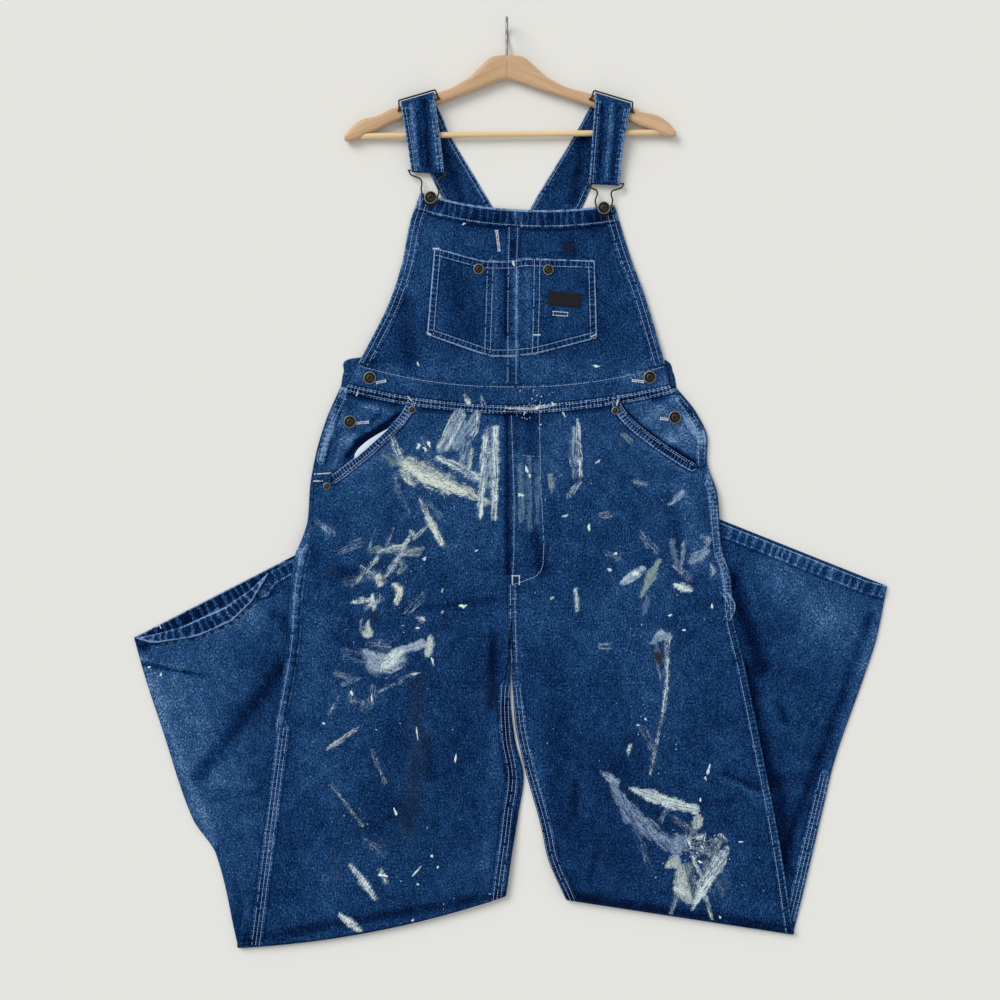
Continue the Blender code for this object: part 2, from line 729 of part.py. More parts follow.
def set_back_hem(leg, sections, rows):
    """Draws the end of the back panel back from the hem, by the leg's table of setbacks."""
    toward_knee = (Vector(leg.shape["shin_outer"][0]) - leg.hem_out).normalized()
    for section, row in zip(sections, rows):
        if section.kind != "shin":
            continue
        for j in range(len(row)):
            flat = Vector((row[j].x, row[j].y))
            share = max(0.0, min(1.0, (flat - section.outer).dot(section.across) / section.width))
            upper = max(0.0, min(1.0, (row[j].z - WALL / 2.0) / SHIN_DEPTH))
            setback = read_line(leg.shape["hem_setback"], share) * section.hem_share ** 3 * upper
            row[j] += Vector((toward_knee.x * setback, toward_knee.y * setback, 0.0))


def make_leg(leg, name, denim):
    sections = leg_sections(leg)
    front = [section.front_row(FRONT_COLUMNS) for section in sections]
    back = [section.back_row(BOTTOM_COLUMNS, ARC_STEPS) for section in sections]
    set_back_hem(leg, sections, back)
    make_shell("leg_front_" + name, front, WALL, denim)
    make_shell("leg_back_" + name, back, WALL, denim)


# ---------------------------------------------------------------- strips that follow the hip

def facing_span(section):
    """Where the facing starts and ends, as distances from the silhouette."""
    return section.values["outseam"] + SEAM_GAP / 2.0, section.mouth + FACING_UNDER


def facing_drop(share):
    return FACING_DROP * smoothstep(FACING_STEEPNESS * share)


def make_facing(leg, name, denim):
    grid = []
    for height in mouth_heights(leg):
        section = leg.thigh_section(height)
        start, end = facing_span(section)
        row = []
        for k in range(FACING_COLUMNS + 1):
            share = k / FACING_COLUMNS
            point = section.place(lerp(start, end, share), section.depth)
            row.append(point - Vector((0.0, 0.0, facing_drop(share))))
        grid.append(row)
    make_shell("hip_facing_" + name, grid, PATCH, denim)


def make_pocket_band(leg, name, denim):
    """The band on the pocket mouth: points of the front panel moved out along its normals."""
    grid = []
    for height in mouth_heights(leg):
        section = leg.thigh_section(height)
        start = section.mouth + SEAM_GAP / 2.0
        stops = [start + BAND_WIDTH * k / BAND_COLUMNS for k in range(BAND_COLUMNS + 1)]
        grid.append([section.place(stop, section.depth) for stop in stops])
    lift = WALL / 2.0 + LIFT + PATCH / 2.0
    make_shell("pocket_band_" + name, lift_grid(grid, lift), PATCH, denim)


def make_lining(leg, cotton):
    """The pocket bag that shows between the facing and the mouth of the wearer's right pocket."""
    grid = []
    for height, reach in LINING_ROWS:
        section = leg.thigh_section(height)
        start = section.mouth - reach
        end = section.mouth + LINING_UNDER
        row = []
        for k in range(LINING_COLUMNS + 1):
            point = section.place(lerp(start, end, k / LINING_COLUMNS), section.depth)
            point.z -= FACING_DROP - PATCH / 2.0 - LINING / 2.0 - LIFT
            row.append(point)
        grid.append(row)
    make_shell("pocket_lining", grid, LINING, cotton)


def make_rule_pocket(leg, denim):
    """The band of the tool pocket that lies on the wrapped edge of the back panel."""
    grid = []
    for height in rule_pocket_heights():
        section = leg.thigh_section(height)
        end = section.values["outseam"] - section.edge - RULE_POCKET_INSET
        quarter = math.pi * section.radius / 2.0
        stops = (end, end / 2.0, 0.0, -quarter / 2.0, -quarter)
        grid.append([section.ring_out(stop) for stop in stops])
    make_shell("rule_pocket", shift_grid(grid, WALL / 2.0 + LIFT + PATCH / 2.0), PATCH, denim)


def make_hammer_loop(leg, denim):
    """The loop sewn over the outseam of the wearer's left leg: it stands a little proud of the thigh."""
    grid = []
    for k in range(HAMMER_LOOP_STEPS + 1):
        share = k / HAMMER_LOOP_STEPS
        section = leg.thigh_section(lerp(HAMMER_LOOP_TOP, HAMMER_LOOP_BOTTOM, share))
        bulge = HAMMER_LOOP_BULGE * math.sin(math.pi * share)
        rise = WALL / 2.0 + LIFT + PATCH / 2.0 + HAMMER_LOOP_LIFT + HAMMER_LOOP_RISE * bulge
        row = []
        for inward in HAMMER_LOOP_EDGES:
            point = section.place(inward - bulge, section.depth)
            row.append(point + Vector((0.0, 0.0, rise)))
        grid.append(row)
    make_shell("hammer_loop", grid, PATCH, denim)


def lift_grid(grid, height):
    return [[point + Vector((0.0, 0.0, height)) for point in row] for row in grid]


# ---------------------------------------------------------------- bib and waist

def bib_edges(share):
    """Heights and edges of the bib at a share of the way from its top to the waistband."""
    right_y = lerp(BIB_EDGE_RIGHT[0][1], BIB_EDGE_RIGHT[-1][1], share)
    left_y = lerp(BIB_EDGE_LEFT[0][1], BIB_EDGE_LEFT[-1][1], share)
    return right_y, left_y, read_edge(BIB_EDGE_RIGHT, right_y), read_edge(BIB_EDGE_LEFT, left_y)


def bib_point(share, across):
    """Mid surface of the bib.  across runs from -1, the wearer's right edge, to 1, the left edge."""
    right_y, left_y, right_x, left_x = bib_edges(share)
    side_x = left_x if across > 0 else right_x
    side_y = left_y if across > 0 else right_y
    centre_y = lerp(BIB_CENTRE_TOP, BIB_CENTRE_BOTTOM, share)
    amount = abs(across)
    x = lerp(CENTRE_X, side_x, amount)
    sag = lerp(BIB_TOP_SAG, BIB_BOTTOM_SAG, share) * 4.0 * amount * (1.0 - amount)
    y = lerp(centre_y, side_y, amount) - sag
    return Vector((x, y, bib_height(x, share, right_x, left_x)))


def bib_height(x, share, right_x, left_x):
    depth = lerp(BIB_TOP_DEPTH, BIB_BOTTOM_DEPTH, smoothstep(share * 1.15))
    right = 1.0 - math.exp(-((x - right_x) / SOFT_EDGE) ** 2)
    left = 1.0 - math.exp(-((left_x - x) / SOFT_EDGE) ** 2)
    return WALL / 2.0 + depth + BIB_PUFF * right * left * smoothstep(0.15 + share * 2.0)


def bib_surface(x, y):
    """The bib's mid surface above a point, found by walking down its rows."""
    low, high = 0.0, 1.0
    for _ in range(30):
        middle = (low + high) / 2.0
        right_y, left_y, right_x, left_x = bib_edges(middle)
        side = left_x - CENTRE_X if x > CENTRE_X else CENTRE_X - right_x
        amount = min(1.0, abs(x - CENTRE_X) / side)
        if bib_point(middle, amount if x > CENTRE_X else -amount).y > y:
            low = middle
        else:
            high = middle
    return Vector((x, y, bib_height(x, low, right_x, left_x)))


def make_bib(denim):
    for name, side in (("right", -1.0), ("left", 1.0)):
        grid = []
        for i in range(BIB_STEPS + 1):
            row = []
            for k in range(BIB_COLUMNS + 1):
                point = bib_point(i / BIB_STEPS, side * (1.0 - k / BIB_COLUMNS))
                point.x += side * SEAM_GAP / 2.0 if k == BIB_COLUMNS else 0.0
                row.append(point)
            grid.append(row)
        make_shell("bib_" + name, grid, WALL, denim)


def make_bib_band(denim):
    grid = []
    for i in range(BIB_BAND_ROWS + 1):
        row = []
        for k in range(2 * BIB_COLUMNS + 1):
            point = bib_point(0.0, k / BIB_COLUMNS - 1.0)
            drop = BIB_BAND_HEIGHT * i / BIB_BAND_ROWS
            below = bib_surface(point.x * BIB_BAND_FLARE, point.y - drop)
            row.append(point if i == 0 else below)
        grid.append(row)
    make_shell("bib_top_band", lift_grid(grid, WALL / 2.0 + LIFT + PATCH / 2.0), PATCH, denim)


def make_bib_pocket(denim, black):
    grid = []
    for i in range(POCKET_ROWS + 1):
        share = i / POCKET_ROWS
        row = []
        for k in range(POCKET_COLUMNS + 1):
            across = k / POCKET_COLUMNS
            top_x = lerp(POCKET_TOP[0][0], POCKET_TOP[-1][0], across)
            bottom_x = lerp(POCKET_BOTTOM[0][0], POCKET_BOTTOM[-1][0], across)
            y = lerp(read_line(POCKET_TOP, top_x), read_line(POCKET_BOTTOM, bottom_x), share)
            row.append(bib_surface(lerp(top_x, bottom_x, share), y))
        grid.append(row)
    lift = WALL / 2.0 + LIFT + PATCH / 2.0
    make_shell("bib_pocket", lift_grid(grid, lift), PATCH, denim)
    label = []
    for i in range(LABEL_ROWS + 1):
        row = []
        for k in range(LABEL_COLUMNS + 1):
            across = LABEL_SIZE[0] * (k / LABEL_COLUMNS - 0.5)
            along = LABEL_SIZE[1] * (0.5 - i / LABEL_ROWS)
            x = LABEL_CENTRE[0] + across * math.cos(LABEL_TURN) - along * math.sin(LABEL_TURN)
            y = LABEL_CENTRE[1] + across * math.sin(LABEL_TURN) + along * math.cos(LABEL_TURN)
            row.append(bib_surface(x, y))
        label.append(row)
    label_lift = lift + (PATCH + LINING) / 2.0 + LABEL_LIFT
    make_shell("label", lift_grid(label, label_lift), LINING, black)


def make_waistband(legs, denim):
    """The band between the bib and the legs: its lower edge follows the legs' first section."""
    top = []
    bottom = []
    for leg_name, side in (("right", -1.0), ("left", 1.0)):
        section = legs[leg_name].thigh_section(legs[leg_name].waist)
        shares = [k / WAISTBAND_STEPS for k in range(WAISTBAND_STEPS + 1)]
        shares = shares if side < 0 else shares[::-1][1:]
        for share in shares:
            start = WAISTBAND_INSET * (1.0 - share)
            distance = lerp(start, section.width, share)
            edge = section.place(distance, section.depth)
            bottom.append(edge + Vector((0.0, SEAM_GAP, 0.0)))
            above = bib_point(1.0, side * (1.0 - share))
            top.append(above - Vector((0.0, SEAM_GAP, 0.0)))
    middle = [a.lerp(b, 0.5) for a, b in zip(top, bottom)]
    make_shell("waistband", [top, middle, bottom], WALL, denim)


def make_back(legs, denim):
    grid = []
    for i in range(2 * len(BACK_ROWS) - 1):
        y, right_x, left_x = blend_rows(BACK_ROWS, i / 2.0)
        row = []
        for k in range(BACK_COLUMNS + 1):
            x = lerp(right_x, left_x, k / BACK_COLUMNS)
            row.append(Vector((x, y, WALL / 2.0)))
        if i == 0:
            row = [waist_seam(legs, point) for point in row]
        grid.append(row)
    make_shell("back_bib", grid, WALL, denim)


def waist_seam(legs, point):
    """The point of the legs' first section at a given x, moved up by the seam gap."""
    leg = legs["left" if point.x > CENTRE_X else "right"]
    section = leg.thigh_section(leg.waist)
    distance = (point.x - section.outer.x) / section.across.x
    flat = section.plan(max(0.0, min(section.width, distance)))
    return Vector((point.x, flat.y + 2.0 * SEAM_GAP, WALL / 2.0))


# ---------------------------------------------------------------- straps

def strap_pair(row, drop=0.0):
    """The two edge points of one row of a strap's table."""
    first_x, first_y, second_x, second_y, z = row
    return [Vector((first_x, first_y, z - drop)), Vector((second_x, second_y, z - drop))]


def strap_grid(back, turn, front):
    """The strap's mid surface as pairs of edge points, from the back piece to its returning end."""
    grid = [strap_pair(row) for row in back]
    first_z = back[-1][4]
    last_z = front[0][4]
    middle_z = (first_z + last_z) / 2.0
    half = (last_z - first_z) / 2.0
    edges = [Vector((x, y, middle_z)) for x, y in turn]
    for k in range(1, STRAP_TURN_STEPS):
        angle = math.pi * (k / STRAP_TURN_STEPS - 0.5)
        reach = STRAP_TURN_REACH * (math.cos(angle) ** TURN_SQUARENESS - 1.0)
        rise = math.copysign(abs(math.sin(angle)) ** TURN_SQUARENESS, angle)
        grid.append([Vector((edge.x, edge.y + reach, middle_z + half * rise)) for edge in edges])
    grid += [strap_pair(row) for row in front]
    bottom = grid[-1]
    radius = BUCKLE_TURN_DROP / 2.0
    for k in range(1, BUCKLE_TURN_STEPS):
        angle = math.pi * k / BUCKLE_TURN_STEPS
        offset = Vector((0.0, -radius * math.sin(angle), radius * (math.cos(angle) - 1.0)))
        grid.append([point + offset for point in bottom])
    grid += [strap_pair(row, drop) for row, drop in zip(front[::-1], RETURN_DROPS)]
    return grid


def add_middle(grid):
    return [[a, a.lerp(b, 0.5), b] for a, b in grid]


def make_straps(denim):
    tables = {
        "right": (STRAP_RIGHT, STRAP_RIGHT_TURN, STRAP_RIGHT_FRONT),
        "left": (STRAP_LEFT, STRAP_LEFT_TURN, STRAP_LEFT_FRONT),
    }
    for name, (back, turn, front) in tables.items():
        make_shell("strap_" + name, add_middle(strap_grid(back, turn, front)), STRAP_WALL, denim)


# ---------------------------------------------------------------- hardware

def make_buckles(wire):
    tables = {"right": STRAP_RIGHT_FRONT, "left": STRAP_LEFT_FRONT}
    for name, (x, y) in BIB_BUTTONS.items():
        start, end = strap_pair(tables[name][-1])
        middle = start.lerp(end, 0.5)
        bar_z = middle.z - BUCKLE_TURN_DROP / 2.0
        loop_z = bib_band_top(x, y) + LIFT + BUCKLE_WIRE
        tilt = (end.y - start.y) / (end.x - start.x)
        outline = list(BUCKLE_HALF) + [(-across, up) for across, up in BUCKLE_HALF[::-1][:-1]]
        points = []
        for across, up in outline:
            share = max(0.0, min(1.0, up / BUCKLE_HALF[0][1]))
            shift = smoothstep(share)
            px = lerp(x, middle.x, shift) + across
            py = lerp(y, middle.y - BUCKLE_HALF[0][1], shift) + up + across * tilt * shift
            points.append((px, py, lerp(loop_z, bar_z, smoothstep(share * 1.3))))
        make_wire("buckle_" + name, points, BUCKLE_WIRE, wire, True)


def make_sliders(wire):
    """A wire ring round each strap where it turns over the hanger."""
    tables = {"right": (STRAP_RIGHT_TURN, STRAP_RIGHT_FRONT), "left": (STRAP_LEFT_TURN, STRAP_LEFT_FRONT)}
    for name, (turn, front) in tables.items():
        start = Vector(turn[0])
        end = Vector(turn[1])
        line = (end - start).normalized()
        up = Vector((-line.y, line.x))
        length = (end - start).length
        lean_start = (Vector(front[0][:2]) - start).dot(line)
        lean_end = (Vector(front[0][2:4]) - start).dot(line) - length
        points = []
        for across, lean, rise, z in SLIDER_OUTLINE:
            flat = start + line * (-across + min(0.0, lean_start) * lean) + up * rise
            points.append((flat.x, flat.y, z))
        for across, lean, rise, z in SLIDER_OUTLINE[::-1]:
            flat = start + line * (length + across + max(0.0, lean_end) * lean) + up * rise
            points.append((flat.x, flat.y, z))
        make_wire("slider_" + name, points, SLIDER_WIRE, wire, True)


def hip_place(leg, x, y):
    """The section of the leg through a point of the hip, and the point's distance along it."""
    low, high = HIP_HEIGHTS[1], leg.waist
    for _ in range(30):
        middle = (low + high) / 2.0
        section = leg.thigh_section(middle)
        distance = abs((x - section.outer.x) / section.across.x)
        if section.plan(distance).y > y:
            high = middle
        else:
            low = middle
    return section, distance


def hip_height(leg, x, y):
    """Height of the front layer's mid surface above a point of the hip."""
    section, distance = hip_place(leg, x, y)
    return section.place(distance, section.depth).z


def facing_height(leg, x, y):
    section, distance = hip_place(leg, x, y)
    start, end = facing_span(section)
    return hip_height(leg, x, y) - facing_drop((distance - start) / (end - start))


def bib_band_top(x, y):
    return bib_surface(x, y).z + WALL / 2.0 + LIFT + PATCH


def button_profile(cap, shank, rise):
    """Radii and heights of a tack button: its shank, then the cap with a raised rim."""
    return (
        (shank, 0.0),
        (shank, rise),
        (cap - 1.0, rise),
        (cap, rise + 0.8),
        (cap, rise + CAP_HEIGHT * 0.6),
        (cap - 1.2, rise + CAP_HEIGHT),
        (cap - 2.6, rise + CAP_HEIGHT),
        (cap - 3.4, rise + CAP_HEIGHT * 0.72),
    )


def make_buttons(legs, brass):
    for name, (x, y) in BIB_BUTTONS.items():
        base = bib_band_top(x, y) + LIFT
        rise = 2.0 * BUCKLE_WIRE + 2.0 * LIFT
        profile = button_profile(BUTTON_CAP, BUCKLED_SHANK, rise)
        make_turned("bib_button_" + name, profile, (x, y, base), BUTTON_SIDES, brass)
    for name, (x, y) in POCKET_BUTTONS.items():
        base = bib_surface(x, y).z + WALL / 2.0 + PATCH + 2.0 * LIFT
        profile = button_profile(POCKET_BUTTON_CAP, SHANK, SHANK_RISE)
        make_turned("pocket_button_" + name, profile, (x, y, base), BUTTON_SIDES, brass)
    for name, (x, y) in WAIST_BUTTONS.items():
        base = hip_height(legs[name], x, y) + WALL / 2.0 + LIFT
        profile = button_profile(BUTTON_CAP, SHANK, SHANK_RISE)
        make_turned("waist_button_" + name, profile, (x, y, base), BUTTON_SIDES, brass)
    for name, (x, y) in HIP_BUTTONS.items():
        base = facing_height(legs[name], x, y) + PATCH / 2.0 + LIFT
        profile = button_profile(BUTTON_CAP, SHANK, SHANK_RISE)
        make_turned("hip_button_" + name, profile, (x, y, base), BUTTON_SIDES, brass)
    for name, (x, y, patch) in RIVETS.items():
        leg = legs["left" if x > 0 else "right"]
        base = hip_height(leg, x, y) + WALL / 2.0 + patch + 2.0 * LIFT
        profile = ((RIVET_CAP - 0.6, 0.0), (RIVET_CAP, 0.5), (RIVET_CAP - 0.8, 1.1), (2.2, 1.3))
        make_turned("rivet_" + name, profile, (x, y, base), RIVET_SIDES, brass)


# ---------------------------------------------------------------- hanger

def hanger_section(x, top, bottom):
    """A rounded section of the flat wooden arm, standing across it."""
    middle = (top + bottom) / 2.0
    half = (bottom - top) / 2.0
    section = []
    for k in range(HANGER_SIDES):
        turn = 2.0 * math.pi * (k + 0.5) / HANGER_SIDES
        cosine = math.cos(turn)
        sine = math.sin(turn)
        across = math.copysign(abs(cosine) ** HANGER_SQUARENESS, cosine)
        rise = math.copysign(abs(sine) ** HANGER_SQUARENESS, sine)
        section.append((x, HANGER_TOP_Y - middle + half * across, HANGER_Z + HANGER_HALF_DEPTH * rise))
    return section


def make_hanger(wood, steel):
    for name, reach, side, rise in (
        ("right", HANGER_REACH_RIGHT, -1.0, 0.0),
        ("left", HANGER_REACH_LEFT, 1.0, HANGER_TIP_RISE_LEFT),
    ):
        sections = []
        for share, top, bottom in HANGER_PROFILE:
            x = HANGER_X + side * (HANGER_JOINT + reach * share)
            lift = rise * share
            sections.append(hanger_section(x, top - lift, bottom - lift))
        make_loft("hanger_arm_" + name, sections, wood, 50.0)
    sections = []
    for i in range(BAR_STEPS + 1):
        share = i / BAR_STEPS
        x = lerp(BAR_END_RIGHT, BAR_END_LEFT, share)
        y = HANGER_TOP_Y - lerp(BAR_DROP_RIGHT, BAR_DROP_LEFT, share)
        turns = [2.0 * math.pi * k / BAR_SIDES for k in range(BAR_SIDES)]
        sections.append([(x, y + BAR_RADIUS * math.cos(turn), HANGER_Z + BAR_RADIUS * math.sin(turn))
                         for turn in turns])
    make_loft("hanger_bar", sections, wood)
    make_hook(steel)


def make_hook(steel):
    """The hook is turned square to the hanger: its loop stands up from the surface."""
    stem_y = HANGER_TOP_Y + LIFT
    centre_y = stem_y + HOOK_RISE
    centre_z = HANGER_Z + HOOK_OFFSET
    start = -math.acos(HOOK_OFFSET / HOOK_RADIUS)
    points = [(HANGER_X, stem_y + rise, HANGER_Z) for rise in HOOK_STEM]
    for k in range(1, HOOK_STEPS + 1):
        angle = start + HOOK_SWEEP * k / HOOK_STEPS
        y = centre_y + HOOK_RADIUS * math.sin(angle)
        z = centre_z - HOOK_RADIUS * math.cos(angle)
        points.append((HANGER_X, y, z))
    make_wire("hanger_hook", points, HOOK_WIRE, steel, False)


def main():
    clear_scene()
    denim = make_material("denim", DENIM, 0.9)
    dark = make_material("denim_dark", DENIM_DARK, 0.9)
    cotton = make_material("cotton", COTTON, 0.9)
    black = make_material("label_black", BLACK, 0.7)
    brass = make_material("aged_brass", BRASS, 0.4, 1.0)
    wire = make_material("dark_wire", WIRE, 0.35, 1.0)
    steel = make_material("steel", STEEL, 0.3, 1.0)
    beech = make_material("beech", BEECH, 0.5)
    legs = {
        "right": Leg(RIGHT_LEG),
        "left": Leg(LEFT_LEG),
    }
    for name, leg in legs.items():
        make_leg(leg, name, denim)
        make_facing(leg, name, dark)
        make_pocket_band(leg, name, denim)
    make_lining(legs["right"], cotton)
    make_rule_pocket(legs["right"], denim)
    make_hammer_loop(legs["left"], denim)
    make_bib(denim)
    make_bib_band(denim)
    make_bib_pocket(denim, black)
    make_waistband(legs, denim)
    make_back(legs, dark)
    make_straps(denim)
    make_buckles(wire)
    make_sliders(wire)
    make_buttons(legs, brass)
    make_hanger(beech, steel)


main()
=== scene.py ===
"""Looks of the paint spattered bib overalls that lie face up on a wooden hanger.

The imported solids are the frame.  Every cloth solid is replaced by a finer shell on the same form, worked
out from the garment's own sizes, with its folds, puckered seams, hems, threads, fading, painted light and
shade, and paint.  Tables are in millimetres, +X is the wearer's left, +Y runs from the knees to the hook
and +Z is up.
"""
import math
import random

import bpy
import numpy as np
from mathutils import Matrix, Vector
from mathutils.bvhtree import BVHTree


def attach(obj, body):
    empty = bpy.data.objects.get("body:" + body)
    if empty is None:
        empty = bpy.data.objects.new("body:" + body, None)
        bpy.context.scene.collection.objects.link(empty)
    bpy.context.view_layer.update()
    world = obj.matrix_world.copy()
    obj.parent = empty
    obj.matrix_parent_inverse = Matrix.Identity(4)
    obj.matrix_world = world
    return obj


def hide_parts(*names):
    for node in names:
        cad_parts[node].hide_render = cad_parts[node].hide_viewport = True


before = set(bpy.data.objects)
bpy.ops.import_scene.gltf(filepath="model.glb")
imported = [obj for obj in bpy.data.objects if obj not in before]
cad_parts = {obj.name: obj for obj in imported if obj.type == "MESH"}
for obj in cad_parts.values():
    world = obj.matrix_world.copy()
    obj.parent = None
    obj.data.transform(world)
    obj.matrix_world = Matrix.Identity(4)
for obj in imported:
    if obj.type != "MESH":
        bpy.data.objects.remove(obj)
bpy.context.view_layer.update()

MM = 0.001
SHELL = 1.3             # visible thickness of a denim panel
PATCH_SHELL = 1.0
WALL = 1.6              # the solids' walls, which set the height of the mid surfaces
PATCH = 1.1
LINING = 1.0
SEAM_GAP = 0.4
LIFT = 0.35
CENTRE_X = 1.0
FINE = 3.0              # grid step where the cloth shows
MEDIUM = 4.5
COARSE = 9.0            # where it is hidden
PATCH_STEP = 2.5

SHIN_DEPTH = 2.8
BEND_RADIUS = 1.4
CREASE_Z = WALL / 2 + SHIN_DEPTH + BEND_RADIUS
THIGH_BASE = CREASE_Z + BEND_RADIUS - WALL / 2
CREASE_INSET = BEND_RADIUS + SHIN_DEPTH + WALL / 2
DESCENT_START = 12.0
DESCENT_LENGTH = 60.0
SOFT_EDGE = 70.0
SHIN_CLEAR = 8.0
CALM_START = 6.0        # folds of the thigh grow from here above the knee crease, over this reach
CALM_REACH = 30.0
ROOM_CLEAR = 0.3        # cloth that a trough leaves above the layer beneath
ROOM_LIFT = 0.85        # share of a layer's puff that a trough may use
HIP_SEARCH_FOOT = -40.0  # below every button and rivet of the hips
FLAP_STEP = 0.13
FLAP_ENDS = 3.0         # the flap's roll fades over this many rows at its ends
SHIN_RISE = 45.0
OPEN_REACH = 24.0
BEND_STEPS = 8
ARC_STEPS = 5
MOUTH_FADE = 14.0       # the pocket mouth closes over this height below its foot

# What is sewn on the hip and the leg
BAND_WIDTH = 13.0
FACING_DROP = 3.3
FACING_UNDER = 9.0
FACING_STEEPNESS = 1.6
LINING_UNDER = 6.0
LINING_SHELL = 0.9
LINING_CRUMPLE = 0.35
# Columns: height, how far the lining shows past the mouth
LINING_ROWS = (
    (81, 0.5), (77, 3.5), (71, 7.0), (64, 10.0), (57, 11.5), (50, 11.5), (44, 9.0), (39, 5.0), (36, 1.0),
)
RULE_POCKET_TOP = -90.0
RULE_POCKET_BOTTOM = -331.0
RULE_POCKET_INSET = 1.2
HAMMER_LOOP_TOP = -146.0
HAMMER_LOOP_BOTTOM = -184.0
HAMMER_LOOP_EDGES = (16.8, 6.2)
HAMMER_LOOP_BULGE = 9.0
HAMMER_LOOP_LIFT = 0.5
HAMMER_LOOP_RISE = 0.2
LABEL_CENTRE = (73.0, 249.0)
LABEL_SIZE = (44.0, 19.0)
LABEL_TURN = math.radians(-4.0)
LABEL_SHELL = 0.7
LABEL_CLEAR = 0.1
WAISTBAND_INSET = 9.0
BIB_BAND_HEIGHT = 24.0
BIB_BAND_FLARE = 1.03

STRAP_STEP = 0.09        # share of a table's row from one grid row to the next
STRAP_TURN_STEPS = 14
STRAP_TURN_REACH = 8.6
TURN_SQUARENESS = 0.6
BUCKLE_TURN_DROP = 4.2
BUCKLE_TURN_STEPS = 8
RETURN_DROPS = (4.2, 3.0, 2.3, 2.3)
RETURN_STEP = 0.12

# Height of the thigh's parts
HIP = 30.0              # above it the sections dip towards the middle of the waist seam
WAIST_SAG_START = 60.0
CROTCH_TOP = -157.0     # the tube closes from here
CROTCH_LENGTH = 118.0
BEND_START = -400.0     # from here the sections turn towards the slanted knee crease
SECTION_DROP = 7.0      # the inner end of a section lies this much lower than the outer end
HIP_DEPTH = 5.8         # between the two layers of the thigh
KNEE_DEPTH = 2.8
DEPTH_START = -383.0
DEPTH_REACH = 413.0
# Columns: height, extra height in the middle of the thigh
THIGH_PUFF = ((0, 4.0), (-100, 5.0), (-220, 5.0), (-400, 3.6), (-490, 2.4), (-590, 0.4), (-610, 0.0))
SHIN_PUFF = 3.0
SHIN_PUFF_REACH = 0.6   # share of the shin over which the puff grows
HEM_FLATTENING = 0.3
KNEE_KEEP = 0.36        # share of the shin over which the knee's seams and sag fade out
SHIN_INSEAM = 8.0

# The shape of each leg.  Edges are (x, y): the thigh's run from the waist seam down to the knee crease and
# the shin's outer edge runs on from there to the hem, while its inner edge is straight.  mouth: start, bend
# and end of the pocket mouth, and mouth_foot its lowest section.  outseam and inseam: height, and distance
# of the back panel's edge from the silhouette.  hem_setback: share of the width, and how far the shin's
# upper layer is set back from the lower one.
RIGHT_LEG = {
    "side": -1.0,
    "thigh_outer": (
        (-230, 132), (-250, 86), (-264, 39), (-272, -8), (-274, -46), (-280, -69), (-288, -90),
        (-296, -135), (-300, -208), (-319, -323), (-369, -628),
    ),
    "thigh_inner": (
        (0.8, 100), (0.8, -230), (0, -285), (6, -344), (18, -398), (11, -447), (1, -509), (-6, -558),
    ),
    "shin_outer": ((-369, -628), (-399, -501), (-430, -454), (-472, -331), (-497, -255), (-510, -208)),
    "hem_inner": (-209, -54),
    "mouth": ((-138, 125), (-141, 82), (-252, 2)),
    "mouth_foot": 6.0,
    "outseam": ((-40, 6), (-90, 16), (-160, 14), (-330, 13), (-628, 23)),
    "inseam": ((-157, 0), (-383, 16), (-437, 16), (-490, 14)),
    "shin_outseam": 5.0,
    "waist_sag": 7.0,
    "waist_drop": 25.0,
    "knee_sag": 13.0,
    "knee_rise": 77.0,
    "hem_setback": (
        (0.0, 0), (0.07, 19), (0.25, 38), (0.40, 41), (0.50, 30), (0.60, 6), (0.9, 3), (1.0, 0),
    ),
    "hem_fold": ((0.0, 0), (0.07, 8), (0.20, 17), (0.40, 20), (0.52, 14), (0.60, 5), (0.9, 3), (1.0, 0)),
}
LEFT_LEG = {
    "side": 1.0,
    "thigh_outer": (
        (225, 130), (252, 96), (267, 60), (266, 35), (280, -15), (285, -82), (299, -130), (301, -175),
        (315, -238), (341, -364), (365, -491), (383, -610),
    ),
    "thigh_inner": ((1.2, 100), (1.2, -240), (5, -317), (14, -365), (42, -468), (49, -502), (75, -563)),
    "shin_outer": ((383, -610), (426, -428), (438, -378), (477, -266), (496, -208), (510, -138)),
    "hem_inner": (229, -26),
    "mouth": ((146, 124), (151, 80), (266, 15)),
    "mouth_foot": 23.0,
    "outseam": ((20, 6), (-200, 4)),
    "inseam": ((-134, 0), (-302, 8)),
    "shin_outseam": 4.0,
    "waist_sag": 6.0,
    "waist_drop": 23.0,
    "knee_sag": 0.0,
    "knee_rise": 54.0,
    "hem_setback": ((0.0, 0), (0.1, 4), (0.9, 4), (1.0, 0)),
    "hem_fold": ((0.0, 0), (0.1, 4), (0.9, 4), (1.0, 0)),
}

# Edges of the bib, (x, y) from its top corner down to the waistband
BIB_EDGE_RIGHT = ((-122, 394), (-137, 350), (-146, 302), (-163, 248), (-189, 194), (-206, 163))
BIB_EDGE_LEFT = ((141, 378), (149, 350), (164, 302), (179, 262), (191, 224), (209, 162))
BIB_CENTRE_TOP = 372.0
BIB_CENTRE_BOTTOM = 134.0
BIB_TOP_DEPTH = 2.5         # the bib comes down towards its top edge
BIB_BOTTOM_DEPTH = 5.8
BIB_TOP_SAG = 4.0
BIB_BOTTOM_SAG = 8.0
BIB_PUFF = 4.0
# Upper and lower edge of the bib pocket, (x, y) from the wearer's right to the left
POCKET_TOP = ((-103, 320), (-37, 302), (5, 302), (14, 306), (114, 302))
POCKET_BOTTOM = ((-113, 201), (-28, 171), (2, 171), (33, 174), (117, 197))
# High back piece, from the waist to the straps.  Columns: height, right edge, left edge
BACK_ROWS = (
    (134, -230, 225), (152, -226, 220), (168, -222, 210), (178, -176, 160), (215, -129, 122),
    (268, -88, 94), (329, -60, 71),
)

